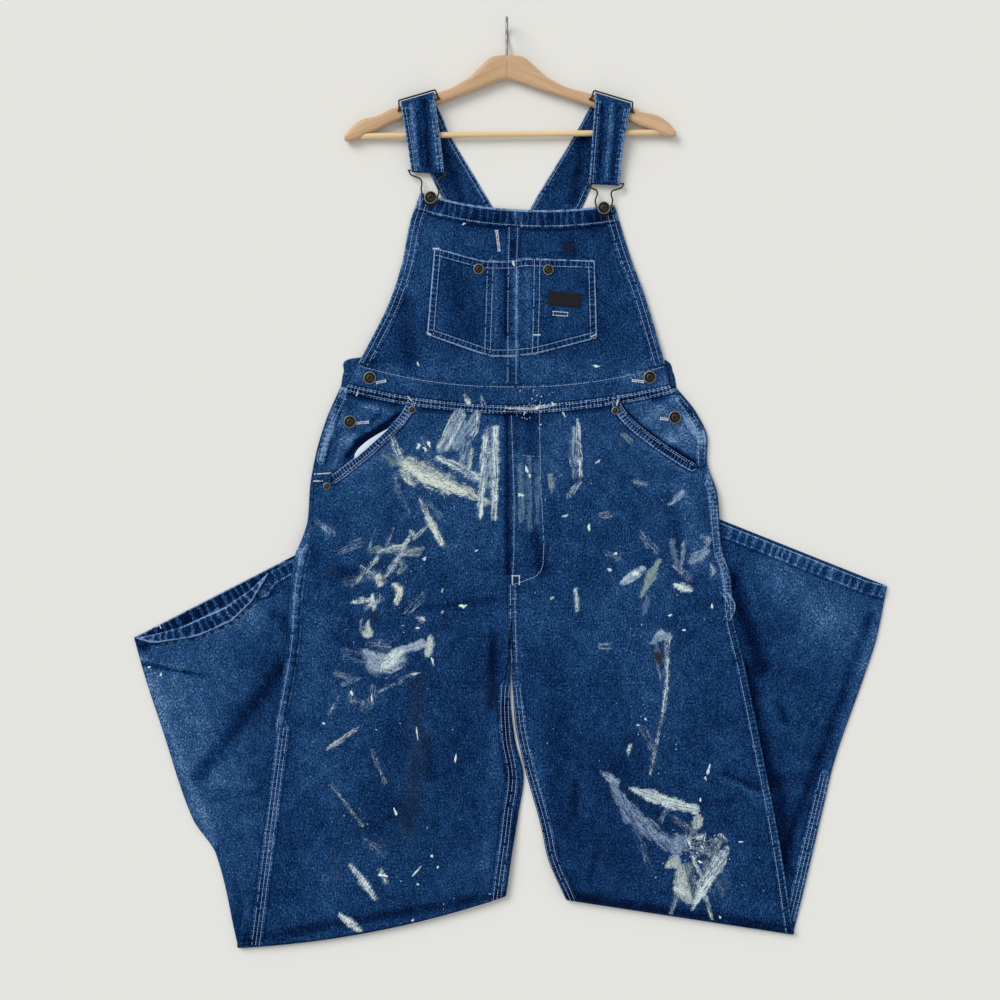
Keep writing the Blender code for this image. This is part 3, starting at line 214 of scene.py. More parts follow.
# Straps, from the back piece over the hanger's arm and down to the buckle.  Columns: x and y of the
# edge towards -X, x and y of the edge towards +X, height of the mid surface
STRAP_RIGHT = (
    (-60, 330, 4, 330, 0.8),
    (-87, 377, -25, 377, 0.8),
    (-111, 424, -53, 424, 0.8),
    (-132, 471, -81, 471, 0.9),
    (-143, 494, -93, 499, 1.0),
    (-147, 504, -102, 517, 1.1),
)
STRAP_RIGHT_TURN = ((-148.0, 515.0), (-103.0, 528.2))
STRAP_RIGHT_FRONT = (
    (-147, 504, -102, 517, 18.7),
    (-144.5, 491, -99, 500, 18.4),
    (-141, 470, -95.5, 474, 16.6),
    (-137, 446, -92.5, 448, 13.4),
    (-134.5, 424, -90, 422, 9.6),
)
STRAP_LEFT = (
    (6, 330, 70, 330, 0.8),
    (29, 377, 98, 377, 0.8),
    (57, 424, 118, 424, 0.8),
    (86, 471, 140, 471, 0.9),
    (100, 497, 150, 493, 1.0),
    (111, 516, 160, 502, 1.1),
)
STRAP_LEFT_TURN = ((114.0, 527.2), (162.0, 512.8))
STRAP_LEFT_FRONT = (
    (113.5, 516, 161, 502, 18.7),
    (112.5, 500, 158, 489, 18.4),
    (110.5, 472, 154.5, 470, 17.0),
    (108.5, 440, 150.5, 439, 12.6),
    (106.5, 408, 148, 406, 9.6),
)
# Hanger, measured from the point where its two arms meet
HANGER_X = -5.0
HANGER_TOP_Y = 579.5
HANGER_Z = 8.6
HANGER_HALF_DEPTH = 6.0
HANGER_JOINT = 0.2          # half the gap between the two arms
HANGER_SQUARENESS = 0.6
# Columns: share of the arm's reach, drop of its upper edge, drop of its underside
HANGER_PROFILE = (
    (0.00, 0, 33), (0.04, 1, 35), (0.10, 4, 40), (0.165, 17, 46), (0.227, 30, 51), (0.29, 39, 56),
    (0.35, 46, 61), (0.45, 53, 69), (0.54, 59.5, 77), (0.66, 70, 88), (0.72, 74, 93), (0.78, 81, 100),
    (0.82, 84, 103.5), (0.87, 86, 108), (0.91, 90, 114), (0.96, 99, 117.0), (0.99, 108, 116.5),
)
HANGER_REACHES = (219.0, 228.0)     # of the wearer's right arm and of the left one
HANGER_TIP_RISES = (0.0, 6.5)
HANGER_JOINT_SCALES = (0.9, 0.97)   # rings that round off the arm's ends
HANGER_TIP_SCALES = (0.95, 0.8, 0.45)
HANGER_TIP_STEP = 0.8
HANGER_SIDES = 28
BAR_RADIUS = 4.0
BAR_DROP_RIGHT = 109.5
BAR_DROP_LEFT = 104.5
BAR_END_RIGHT = -206.0
BAR_END_LEFT = 203.0

HOOK_WIRE = 1.75
HOOK_RADIUS = 19.0
HOOK_RISE = 27.0            # from the wood up to the centre of the loop
HOOK_OFFSET = 13.0          # the loop's centre stands this far above the stem
HOOK_SWEEP = math.radians(240.0)
HOOK_STEPS = 22
HOOK_STEM = (0.0, 4.5, 9.0)

# Wire buckle, one half of its outline from the button's centre: across, up
BUCKLE_WIRE = 1.05
BUCKLE_HALF = (
    (0, 33.0), (24.0, 33.0), (24.6, 31.2), (22.4, 27.2), (16.0, 24.8), (11.0, 22.8), (9.4, 19.8),
    (10.0, 15.5), (11.6, 11.0), (11.2, 6.0), (9.2, 1.0), (7.4, -4.0), (5.2, -8.6), (2.4, -10.6),
)

SLIDER_WIRE = 1.15
# One half of the slider's ring: out past the strap's edge, share of the strap's lean, up across the
# hanger's arm, height above the floor
SLIDER_INNER_Z = HANGER_Z + HANGER_HALF_DEPTH + LIFT + SLIDER_WIRE
SLIDER_OUTLINE = (
    (1.2, 1.0, -11.0, SLIDER_INNER_Z),
    (2.4, 1.0, -9.5, SLIDER_INNER_Z + 0.2),
    (2.4, 0.6, -5.0, SLIDER_INNER_Z + 0.3),
    (2.4, 0.0, 0.4, 15.3),
    (1.2, 0.0, 2.2, 14.8),
    (-3.0, 0.0, 2.4, 14.8),
)

VISIBLE_GAP = 0.05      # half of what shows between two panels that a seam joins
PATCH_LIFT = WALL / 2.0 + LIFT + PATCH / 2.0
FRONT_COLUMNS = 104
BACK_COLUMNS = 92
STRAP_COLUMNS = 18
# Columns: height, phase, and for the waves along X and along Y: length, sway and the sway's own length
WAVES = (
    (0.45, 0.0, (23.0, 1.4, 61.0), (37.0, 1.1, 45.0)),
    (0.16, 2.0, (11.0, 1.7, 29.0), (19.0, 1.3, 17.0)),
)
PUCKER_PITCH = 9.0      # puckers closer than this are left to the bump of the cloth

BUTTON_CAP = 8.7
POCKET_BUTTON_CAP = 7.2
BUCKLED_SHANK = 3.2
SHANK = 4.0
SHANK_RISE = 0.6
CAP_HEIGHT = 2.4
BIB_BUTTONS = {"right": (-108.0, 387.0), "left": (126.0, 373.0)}
POCKET_BUTTONS = {"right": (-43.0, 290.0), "left": (51.0, 289.0)}
WAIST_BUTTONS = {"right": (-190.0, 143.0), "left": (188.0, 144.0)}
HIP_BUTTONS = {"right": (-217.0, 84.0), "left": (222.0, 90.0)}
# Columns: radius, height, worn
RIVET_PROFILE = (
    (4.0, 0.0, 0.2), (4.6, 0.3, 0.6), (4.8, 0.7, 0.9), (4.3, 1.1, 0.8), (3.2, 1.3, 0.3), (2.4, 1.0, 0.0),
    (2.0, 1.2, 0.1), (1.2, 1.5, 0.5), (0.3, 1.55, 0.4),
)
# Columns: x, y, height over the panel
RIVETS = {"right": (-133.0, 100.0, PATCH), "left": (141.0, 99.0, PATCH), "pocket": (-248.0, -3.0, 0.4)}

STRAPS = {
    "right": (STRAP_RIGHT, STRAP_RIGHT_TURN, STRAP_RIGHT_FRONT),
    "left": (STRAP_LEFT, STRAP_LEFT_TURN, STRAP_LEFT_FRONT),
}
PAINTS = {
    "white": (222, 236, 233),
    "cream": (224, 232, 218),
    "blue": (186, 204, 220),
    "grey": (120, 146, 166),
    "green": (166, 186, 172),
    "lavender": (172, 190, 216),
    "pale": (200, 210, 226),
    "brown": (64, 54, 44),
    "black": (18, 18, 22),
}
DENIM_RAMP = (
    (0.00, (0, 8, 38)),
    (0.30, (6, 38, 78)),
    (0.45, (20, 57, 101)),
    (0.60, (34, 74, 120)),
    (0.80, (64, 100, 143)),
    (1.00, (124, 153, 189)),
)
BRASS_RAMP = ((0.0, (10, 10, 8)), (0.35, (48, 45, 33)), (0.62, (80, 76, 60)), (0.95, (164, 167, 160)))
GRIME = (34, 40, 44)
# Where a seam's band is most worn, and where the cloth beside it is hollow and painted darker as shade, as
# shares of its half width
BAND_EDGE = 0.86
BAND_HOLLOW = 1.22
# Noises of the cloth and of the wood.  Columns: scale, detail, roughness, distortion
CLOTH_NOISES = {
    "grain": ((0.50, 0.34, 1.0), 1.5, 0.7),
    "slub": ((0.70, 0.09, 1.0), 2.0, 0.6),
    "mottle": ((0.085, 0.05, 1.0), 3.0, 0.55),
    "cloud": ((0.018, 0.013, 1.0), 2.0, 0.5),
    "grime": ((0.3, 0.22, 1.0), 4.0),
    "dry": ((0.55, 0.36, 1.0), 2.0, 0.7),
    "patchy": ((0.13, 0.10, 1.0), 3.0, 0.6),
}
BRISTLES = ((0.05, 0.55, 1.0), 2.0, 0.6)
WOOD_NOISES = {
    "grain": ((9.0, 260.0, 120.0), 4.0, 0.6, 0.4),
    "flecks": ((90.0, 900.0, 500.0), 2.0, 0.5),
    "bands": ((5.0, 60.0, 40.0), 2.0, 0.5, 0.6),
}
# What lightens and darkens the cloth (with painted shade in the hollow beside each seam) and the wood, and
# what stands up from the cloth
CLOTH_TONE = {
    "grain": 1.60, "slub": 0.50, "mottle": 0.46, "cloud": 0.30, "ladder": 0.19, "edge": 0.34, "band": -0.04,
    "hollow_shade": -0.20, "rim": 0.55,
}
CLOTH_RELIEF = {"grain": 0.7, "slub": 0.3, "mottle": 2.2, "twill": 0.05, "ladder": 0.30, "paint": 0.10}
WOOD_TONE = {"grain": 0.8, "flecks": 0.35, "bands": 0.7}
STITCH_PITCH = 3.4
STITCH_LENGTH = 3.1
STITCH_WIDTH = 0.70
STITCH_HEIGHT = 0.42
STITCH_RISE = 0.12      # of a stitch's middle above the cloth
LENS_RINGS = (-0.28, 0.28)   # places of a stitch's two rings, as shares of its length
LENS_UNDER = 0.6        # how deep a stitch's underside lies, as a share of its height
SATIN_PITCH = 0.75
SATIN_THREAD = 0.7
HOLE_LIP = 1.1          # of a buttonhole's lips from its middle line
HOLE_LIP_STITCH = 1.7
HOLE_END = 3.6
HOLE_END_STITCH = 1.6
STROKE_EDGE = 2.2
STREAK_SHARE = 0.05
WORN_AWAY = 0.05
FLAP_LIFT = 1.5
FLAP_ROLL = 1.4
FLAP_RISE = 2.8
EDGE_FAR = 20.0
MARK_SHARE = 0.8
MARK_RAGGED = 1.4
MARK_BODY = 0.15
BLOT_TOP = 0.62         # radius of a spot's flat top, as a share of its rim
BLOT_EDGE = 0.35        # heights of a spot's rim and crown, as shares of its body
BLOT_CROWN = 1.1
BLOT_SUNK = 0.3
SMALL_RIM = 8
STREAK_SPREAD = 0.42    # furthest a streak lies from its stroke's middle, as a share of the width
STREAK_LENGTHS = (1.2, 5.0)
STREAK_WIDTHS = (0.5, 1.0)
STREAK_LEAN = 0.08
STREAK_RAGGED = 0.35
STREAK_BODY = 0.08
DOT_SPREAD = 0.55
DOT_SIZES = (0.35, 1.0)
DOT_FINENESS = 1.5      # the higher, the more of the dots are small
DOT_STRETCHES = (1.0, 2.6)
DOT_RAGGED = 0.3
DOT_BODY = 0.12
PAINT_SHADES = (0.82, 1.05)
SHIN_MARKS_BEYOND = -400.0  # marks further out than this x lie on the wearer's right shin
TAG_WIDTH = 1.3
SIDES = ("first column", "last column")
SIDE_WAYS = {"right": -1.0, "left": 1.0}
ANY_WAY = (0.3, 0.2, 1.0)   # not along any wire, so that a ring's first normal can be taken from it
TUBE_END = 0.6              # how far a wire's end is crowned, as a share of its radius

CAMERA_HEIGHT = 2.4
GARMENT_MIDDLE = 0.01   # height of the cloth's middle, from which the camera's height is measured
SENSOR_WIDTH = 36.0
VIEW_WIDTH = 1.35
VIEW_CENTRE = (-14.2, -21.6)
STAGE_REACH = 4.0
PAPER = (229, 228, 223)
WORLD_COLOUR = (0.98, 0.99, 1.0, 1.0)
WORLD_STRENGTH = 0.62
SUN_STRENGTH = 1.85
SUN_ANGLE = math.radians(35.0)
SUN_WAY = (0.60, -0.60, -0.75)
ARM_SLOPE = math.radians(24.0)

# Close stitching.  Columns: layer, x, y, length, width, turn
BARTACKS = (
    ("front", -207, 123, 8, 2.2, 70), ("front", -136, 115, 9, 2.2, -50), ("front", 144, 110, 8, 2.2, 80),
    ("front", -254, 14, 22, 2.2, 4), ("front", -260, 4, 12, 2.2, 0), ("floor", -481, -188, 12, 2.2, -65),
    ("floor", -476, -190, 12, 2.2, -65), ("front", 36, 201, 10, 2.4, 0), ("front", 7, -124, 11, 1.8, 0),
    ("front", 2.5, -130, 13, 1.8, 90), ("front", 12, -130, 12, 1.8, 90), ("front", -101, 318, 8, 2.4, 0),
    ("front", 112, 200, 7, 2.2, 30), ("front", -110, 203, 7, 2.2, -30),
)
# The small sewn box below the label.  Columns: x, y, length, turn
TAG_BOX = ((67, 232, 20, -4), (67, 227, 20, -4), (57.5, 230, 5, 86), (77, 229, 5, 86))
BUTTONHOLES = (
    (-17, 329, 28, 97), (-175, 138, 13, 12), (-200, 83, 16, 6), (172, 139, 15, -6), (208, 88, 10, -8),
)
SEAMS = []
LAYERS = {}

# Seams: the layer they lie on, and how they look.  Columns: offsets of the thread rows, half width of the
# raised band, pitch of the puckers, height of the band, depth of the puckers, strength of the wear and of
# the painted shade beside the band (a negative strength paints a shadow line)
SEAM_KINDS = {
    "felled": ((-5.0, 0.0, 5.0), 8.0, 7.0, 0.6, 0.35, 0.75),
    "double": ((-3.0, 3.0), 5.5, 6.0, 0.6, 0.35, 0.8),
    "waist": ((-2.6, 2.6), 5.5, 5.4, 0.8, 0.45, 2.0),
    "side_hem": ((-3.4, 3.4), 7.0, 7.0, 0.5, 0.3, 0.65),
    "pocket_band": ((-5.0, 2.6, 5.2), 6.5, 4.6, 0.3, 0.3, 1.7),
    "pocket_edge": ((-3.6, 3.6), 4.8, 6.5, 0.25, 0.2, 1.1),
    "pocket_hem": ((-4.0, 4.0), 5.0, 7.0, 0.3, 0.25, 1.1),
    "rule_edge": ((-4.0, 4.0), 6.5, 16.0, 0.3, 0.2, 0.6),
    # a painted shadow line: its negative strength darkens the cloth beside the turned hem's edge
    "shadow": ((), 3.0, 14.0, 0.0, 0.0, -1.1),
    "divider": ((-3.6, 3.6), 5.0, 7.5, 0.2, 0.15, 0.6),
    "bib_centre": ((-5.5, 5.5), 8.0, 13.0, 0.8, 0.3, 0.45),
    "bib_band": ((-9.5, 9.5), 12.0, 9.5, 0.3, 0.8, 1.1),
    "single": ((0.0,), 3.5, 6.0, 0.0, 0.25, 0.45),
    "line": ((0.0,), 2.5, 5.0, 0.0, 0.1, 0.15),
    "fly_edge": ((0.0,), 2.2, 9.0, 0.5, 0.1, 0.55),
    "strap_edge": ((1.0,), 4.2, 6.5, 0.0, 0.2, 0.75),
    "hem": ((-7.0,), 9.0, 11.5, 0.9, 0.9, 1.0),
    "far_hem": ((8.0,), 10.0, 12.0, 0.0, 0.5, 1.4),
    "rolled_hem": ((), 11.0, 10.5, 0.0, 0.9, 1.5),
}

FLY_STITCH = (
    (39, 97), (40, 38), (41, 0), (43, -40), (45, -80), (44, -108), (41, -117), (36, -123), (29, -127),
    (21, -130), (4, -136),
)
# Folds of each layer.  Columns: start x and y, end x and y, bow sideways, half width, height
FOLDS = {
    "front": (
        (-140, -170, -5, -153, -6, 7, -1.0), (-60, -165, 0, -158, 8, 9, 1.4),
        (-112, -345, -108, -395, 3, 8, -1.0), (-106, -390, -91, -482, 6, 9, -1.1),
        (-92, -380, -76, -480, 4, 12, 1.2), (-86, -478, -18, -528, 5, 9, -1.1),
        (-150, -330, -178, -455, 10, 16, 1.0), (-240, -420, -262, -560, 6, 14, 1.2),
        (-212, -430, -226, -570, -5, 12, -1.0), (-60, -520, -210, -560, 6, 16, 1.6),
        (-40, -300, -22, -500, 4, 16, 1.2), (233, -241, 279, -266, 3, 7, -1.1),
        (240, -228, 288, -250, 3, 8, 1.1), (284, -288, 314, -272, -3, 7, -0.9),
        (279, -390, 345, -418, 2, 7, -1.2), (275, -402, 348, -432, 3, 8, 1.3),
        (262, -432, 334, -425, 4, 7, -0.8), (85, -410, 92, -492, 4, 8, -1.0),
        (98, -420, 106, -500, 5, 10, 1.0), (40, -380, 62, -505, -4, 12, 1.3),
        (90, -545, 300, -585, -5, 14, 1.5), (235, -10, 262, -110, 8, 16, 1.6),
        (205, -20, 222, -105, 5, 12, -0.9), (-235, -40, -190, -75, 5, 9, -0.9),
        (-240, -62, -196, -92, 5, 9, 1.0), (-270, -110, -180, -128, 6, 9, -0.8),
        (-20, 168, 18, 128, 6, 12, -1.0), (-46, 172, -12, 132, 4, 10, 1.0), (22, 160, 52, 132, 4, 10, 0.9),
        (-150, 245, -142, 150, 6, 18, -1.2), (-190, 186, -150, 160, 4, 9, -0.9),
        (150, 185, 190, 176, 4, 9, -0.8), (-125, 330, -112, 230, 5, 12, 0.8),
        (116, 330, 140, 200, 6, 14, 0.9),
    ),
    "shin": (
        (-492, -239, -418, -258, -3, 5, -1.6), (-498, -226, -400, -248, -3, 8, 1.2),
        (-308, -245, -428, -400, -10, 17, -2.4), (-330, -205, -455, -360, -10, 26, 2.4),
        (-430, -395, -350, -408, 5, 8, 1.6), (-412, -432, -336, -417, -4, 8, -1.6),
        (-372, -535, -368, -610, 3, 12, 1.6), (-482, -250, -420, -470, 8, 14, 1.5),
        (306, -165, 346, -245, 10, 17, -3.0), (330, -160, 368, -238, 8, 12, 2.6),
        (322, -255, 337, -315, 4, 12, -2.8), (338, -238, 366, -252, 3, 7, 1.6),
        (342, -345, 362, -400, 4, 11, -2.4), (362, -400, 372, -500, 4, 10, -2.2),
        (358, -290, 374, -322, 5, 6, -1.5), (366, -285, 384, -322, 5, 7, 1.2),
        (486, -172, 366, -510, -10, 7, -1.9), (498, -170, 384, -520, -10, 8, 1.8),
        (470, -165, 352, -500, -8, 14, 1.2), (352, -100, 372, -200, 6, 14, 1.6),
        (430, -140, 446, -230, 5, 16, 1.2),
    ),
}

# Fading and painted light on folds (positive), and painted shade in creases, hollows, pocket mouths and
# under overlapping edges (negative).  Columns: start x and y, end x and y, half width, amount
TONES = {
    "front": (
        (87, -400, 88, -450, 4, -0.24), (116, -498, 106, -534, 5, -0.18), (288, -390, 334, -411, 6, -0.28),
        (256, -429, 299, -427, 5, -0.14), (76, -556, 376, -602, 10, -0.30),
        (-360, -616, -12, -554, 9, -0.24), (60, -250, 60, -520, 26, -0.06),
        (150, -380, 120, -560, 60, -0.07), (-200, 20, -60, 10, 80, 0.05),
        (-255, -120, -275, -400, 24, 0.06), (180, -60, 170, -320, 70, 0.05),
        (-152, 95, -174, 76, 5, -0.70), (-174, 76, -206, 56, 6, -1.00), (-206, 56, -220, 38, 6, -0.70),
        (-216, 122, -150, 105, 6, -0.34), (-126, 100, 0, 94, 4, -0.24), (60, 95, 150, 104, 4, -0.20),
        (-232, 114, -235, 66, 5, -0.28), (-203, 108, -181, 101, 5, 0.22), (-224, 102, -242, 64, 4, 0.24),
        (-178, 94, -190, 82, 7, -0.24), (-214, 66, -222, 52, 6, 0.16), (-200, 70, -228, 74, 6, -0.12),
        (-256, 10, -262, 24, 6, -0.20), (194, 114, 216, 122, 6, -0.26), (-262, -180, -272, -300, 22, 0.05),
        (150, 104, 198, 60, 5, -0.30), (198, 60, 260, 24, 5, -0.30), (221, 50, 240, 30, 7, -0.28),
        (233, 107, 246, 94, 6, -0.30), (176, 82, 206, 104, 9, 0.14), (232, 74, 252, 40, 8, 0.16),
        (188, 62, 222, 58, 8, 0.16), (214, 66, 236, 44, 12, 0.16), (236, 92, 256, 56, 4, 0.24),
        (-246, 78, -258, 34, 4, 0.26), (-236, 84, -250, 30, 3, -0.24), (-228, 62, -238, 24, 4, 0.18),
        (-200, -60, -60, -80, 80, 0.06), (60, -190, 200, -260, 70, 0.06),
        (-236, -270, -244, -420, 18, 0.05), (-190, 60, -60, 40, 110, 0.09), (190, 60, 60, 40, 110, 0.10),
        (-120, 350, -120, 230, 60, 0.10), (-180, 150, 180, 150, 26, 0.10), (60, 350, 110, 350, 40, -0.08),
        (110, -200, 200, -480, 90, -0.04), (-282, -90, -294, -190, 9, 0.30),
        (-300, -240, -311, -331, 7, 0.20), (-311, -335, -329, -530, 8, 0.22),
        (-272, -62, -284, -92, 9, 0.22), (-250, -60, -246, -70, 9, 0.30),
        (-265, -95, -262, -140, 10, -0.16), (-240, -120, -200, -118, 12, -0.16),
        (-24, -206, -26, -298, 9, -0.30), (-8, -300, -2, -395, 9, -0.30), (2, -395, -2, -480, 8, -0.20),
        (-20, -330, -36, -560, 14, 0.10), (-140, -170, -6, -155, 6, -0.16),
        (-114, -345, -104, -395, 8, -0.14), (-160, -330, -186, -450, 26, -0.10),
        (-150, -440, -110, -460, 22, -0.10), (-60, -260, -70, -420, 40, -0.05),
        (-230, -300, -240, -560, 40, 0.05), (4, 96, 40, 92, 16, -0.20), (22, 92, 30, 42, 16, -0.22),
        (30, -72, 44, -116, 13, -0.28), (-5, 96, -4, -120, 5, -0.42), (5, 96, 8, 50, 6, -0.20),
        (56, -30, 64, -60, 14, -0.08), (62, 0, 62, 50, 12, 0.06), (232, -8, 255, -104, 22, 0.20),
        (262, 70, 268, 12, 7, 0.32), (268, 8, 292, -150, 8, 0.36), (300, -165, 318, -250, 8, 0.12),
        (214, -16, 226, -100, 12, -0.12), (330, -340, 376, -560, 5, 0.16), (279, -396, 345, -424, 5, 0.12),
        (60, -300, 90, -520, 20, -0.06), (8, -210, 10, -300, 9, 0.14), (14, -300, 60, -480, 7, 0.12),
        (20, -180, 200, -150, 50, 0.05), (-229, 128, -262, 14, 7, 0.28), (208, 132, 262, 60, 9, 0.26),
        (-130, 104, -150, 84, 12, 0.22), (150, 94, 176, 62, 10, 0.14), (-166, 50, -222, 8, 10, 0.14),
        (180, 52, 250, 12, 10, 0.16), (-208, 150, -228, 130, 12, 0.16), (150, 148, 214, 140, 10, 0.14),
        (-145, 242, -138, 172, 20, -0.20), (-190, 166, -172, 168, 9, -0.22), (-5, 158, 6, 140, 16, -0.14),
        (-124, 366, -112, 384, 14, -0.18), (118, 358, 136, 372, 14, -0.22), (-60, 355, 4, 352, 16, -0.16),
        (8, 372, 12, 350, 7, 0.26), (6, 330, 8, 310, 10, -0.24), (76, 322, 80, 314, 14, -0.22),
        (8, 288, 8, 186, 6, 0.30), (-6, 290, -6, 200, 4, -0.30), (24, 288, 24, 186, 7, 0.18),
        (-20, 288, -20, 186, 5, 0.20), (-85, 280, -60, 210, 26, -0.14), (4, 178, 8, 168, 9, 0.30),
        (70, 282, 100, 270, 16, -0.06), (-140, 300, -132, 340, 16, 0.06), (150, 320, 190, 200, 14, 0.06),
        (-238, 90, -215, 60, 16, 0.10), (-200, 118, -228, 100, 12, -0.10), (200, 100, 250, 60, 16, 0.10),
        (160, 88, 226, 30, 6, -0.22),
    ),
    "shin": (
        (-400, -220, -440, -420, 90, 0.07), (-400, -430, -440, -520, 60, 0.06),
        (-500, -222, -318, -146, 4, -0.30), (-505, -210, -495, -222, 8, -0.20),
        (-420, -300, -440, -200, 110, 0.04), (-360, -480, -380, -560, 70, 0.10),
        (430, -130, 470, -190, 90, 0.12), (-500, -235, -405, -480, 14, 0.22),
        (-460, -260, -400, -380, 60, 0.12), (-400, -180, -330, -170, 40, 0.20),
        (-310, -248, -424, -398, 14, -0.30), (-300, -190, -318, -176, 16, -0.26),
        (-420, -402, -350, -406, 9, 0.12), (-408, -430, -340, -416, 6, -0.12),
        (-372, -540, -366, -615, 10, -0.18), (-330, -420, -350, -560, 14, 0.04),
        (-498, -243, -440, -255, 3, -0.45), (-440, -255, -412, -259, 3, -0.30),
        (-500, -237, -420, -252, 3, 0.14), (288, -56, 440, -110, 12, 0.20),
        (350, -110, 420, -185, 36, 0.16), (440, -150, 460, -250, 26, 0.08),
        (300, -130, 340, -250, 14, -0.34), (320, -250, 332, -320, 13, -0.40),
        (338, -340, 352, -405, 12, -0.36), (362, -400, 374, -520, 13, -0.34),
        (486, -178, 368, -505, 8, -0.26), (500, -180, 392, -510, 9, 0.14),
        (362, -298, 372, -320, 6, -0.22), (390, -540, 394, -600, 10, 0.06),
    ),
    "strap_front": (
        (-116, 516, -111, 430, 5, -0.34), (-134, 508, -126, 430, 5, 0.42),
        (-124, 500, -119, 430, 3, -0.20), (-106, 510, -99, 430, 4, 0.36), (136, 508, 129, 412, 4, 0.34),
        (124, 510, 119, 412, 3, -0.30), (144, 504, 137, 412, 3, -0.24), (153, 502, 146, 412, 3, 0.26),
    ),
    "strap_back": (
        (-91, 458, -66, 383, 8, -0.20), (-80, 470, -40, 390, 6, 0.08), (98, 470, 84, 383, 9, -0.24),
    ),
    "floor": (
        (-505, -214, -285, -90, 12, -0.16),
    ),
    "flap": (
        (-505, -212, -300, -108, 16, 0.14), (-504, -211, -474, -214, 2.2, 0.50),
        (-478, -214, -440, -209, 2.2, 0.50), (-446, -211, -404, -199, 2.2, 0.50),
        (-410, -202, -370, -179, 2.2, 0.50), (-376, -184, -344, -152, 2.2, 0.50),
        (-350, -159, -330, -121, 2.2, 0.45),
    ),
}

# Grime and stains: greyer and darker.  Columns as above
STAINS = {
    "front": (
        (-125, -265, -128, -330, 14, 0.30), (-122, -345, -140, -470, 18, 0.34),
        (-190, -482, -152, -484, 6, 0.34), (-238, -505, -234, -530, 9, 0.30),
        (-246, -116, -238, -118, 8, 0.40), (-184, -176, -182, -180, 5, 0.60),
        (198, -236, 202, -230, 8, 0.75), (184, -30, 190, -36, 8, 0.35), (76, 322, 78, 318, 9, 0.45),
        (-139, 222, -137, 218, 7, 0.40), (155, 70, 160, 64, 8, -0.45), (-30, -262, -28, -300, 14, 0.15),
    ),
}

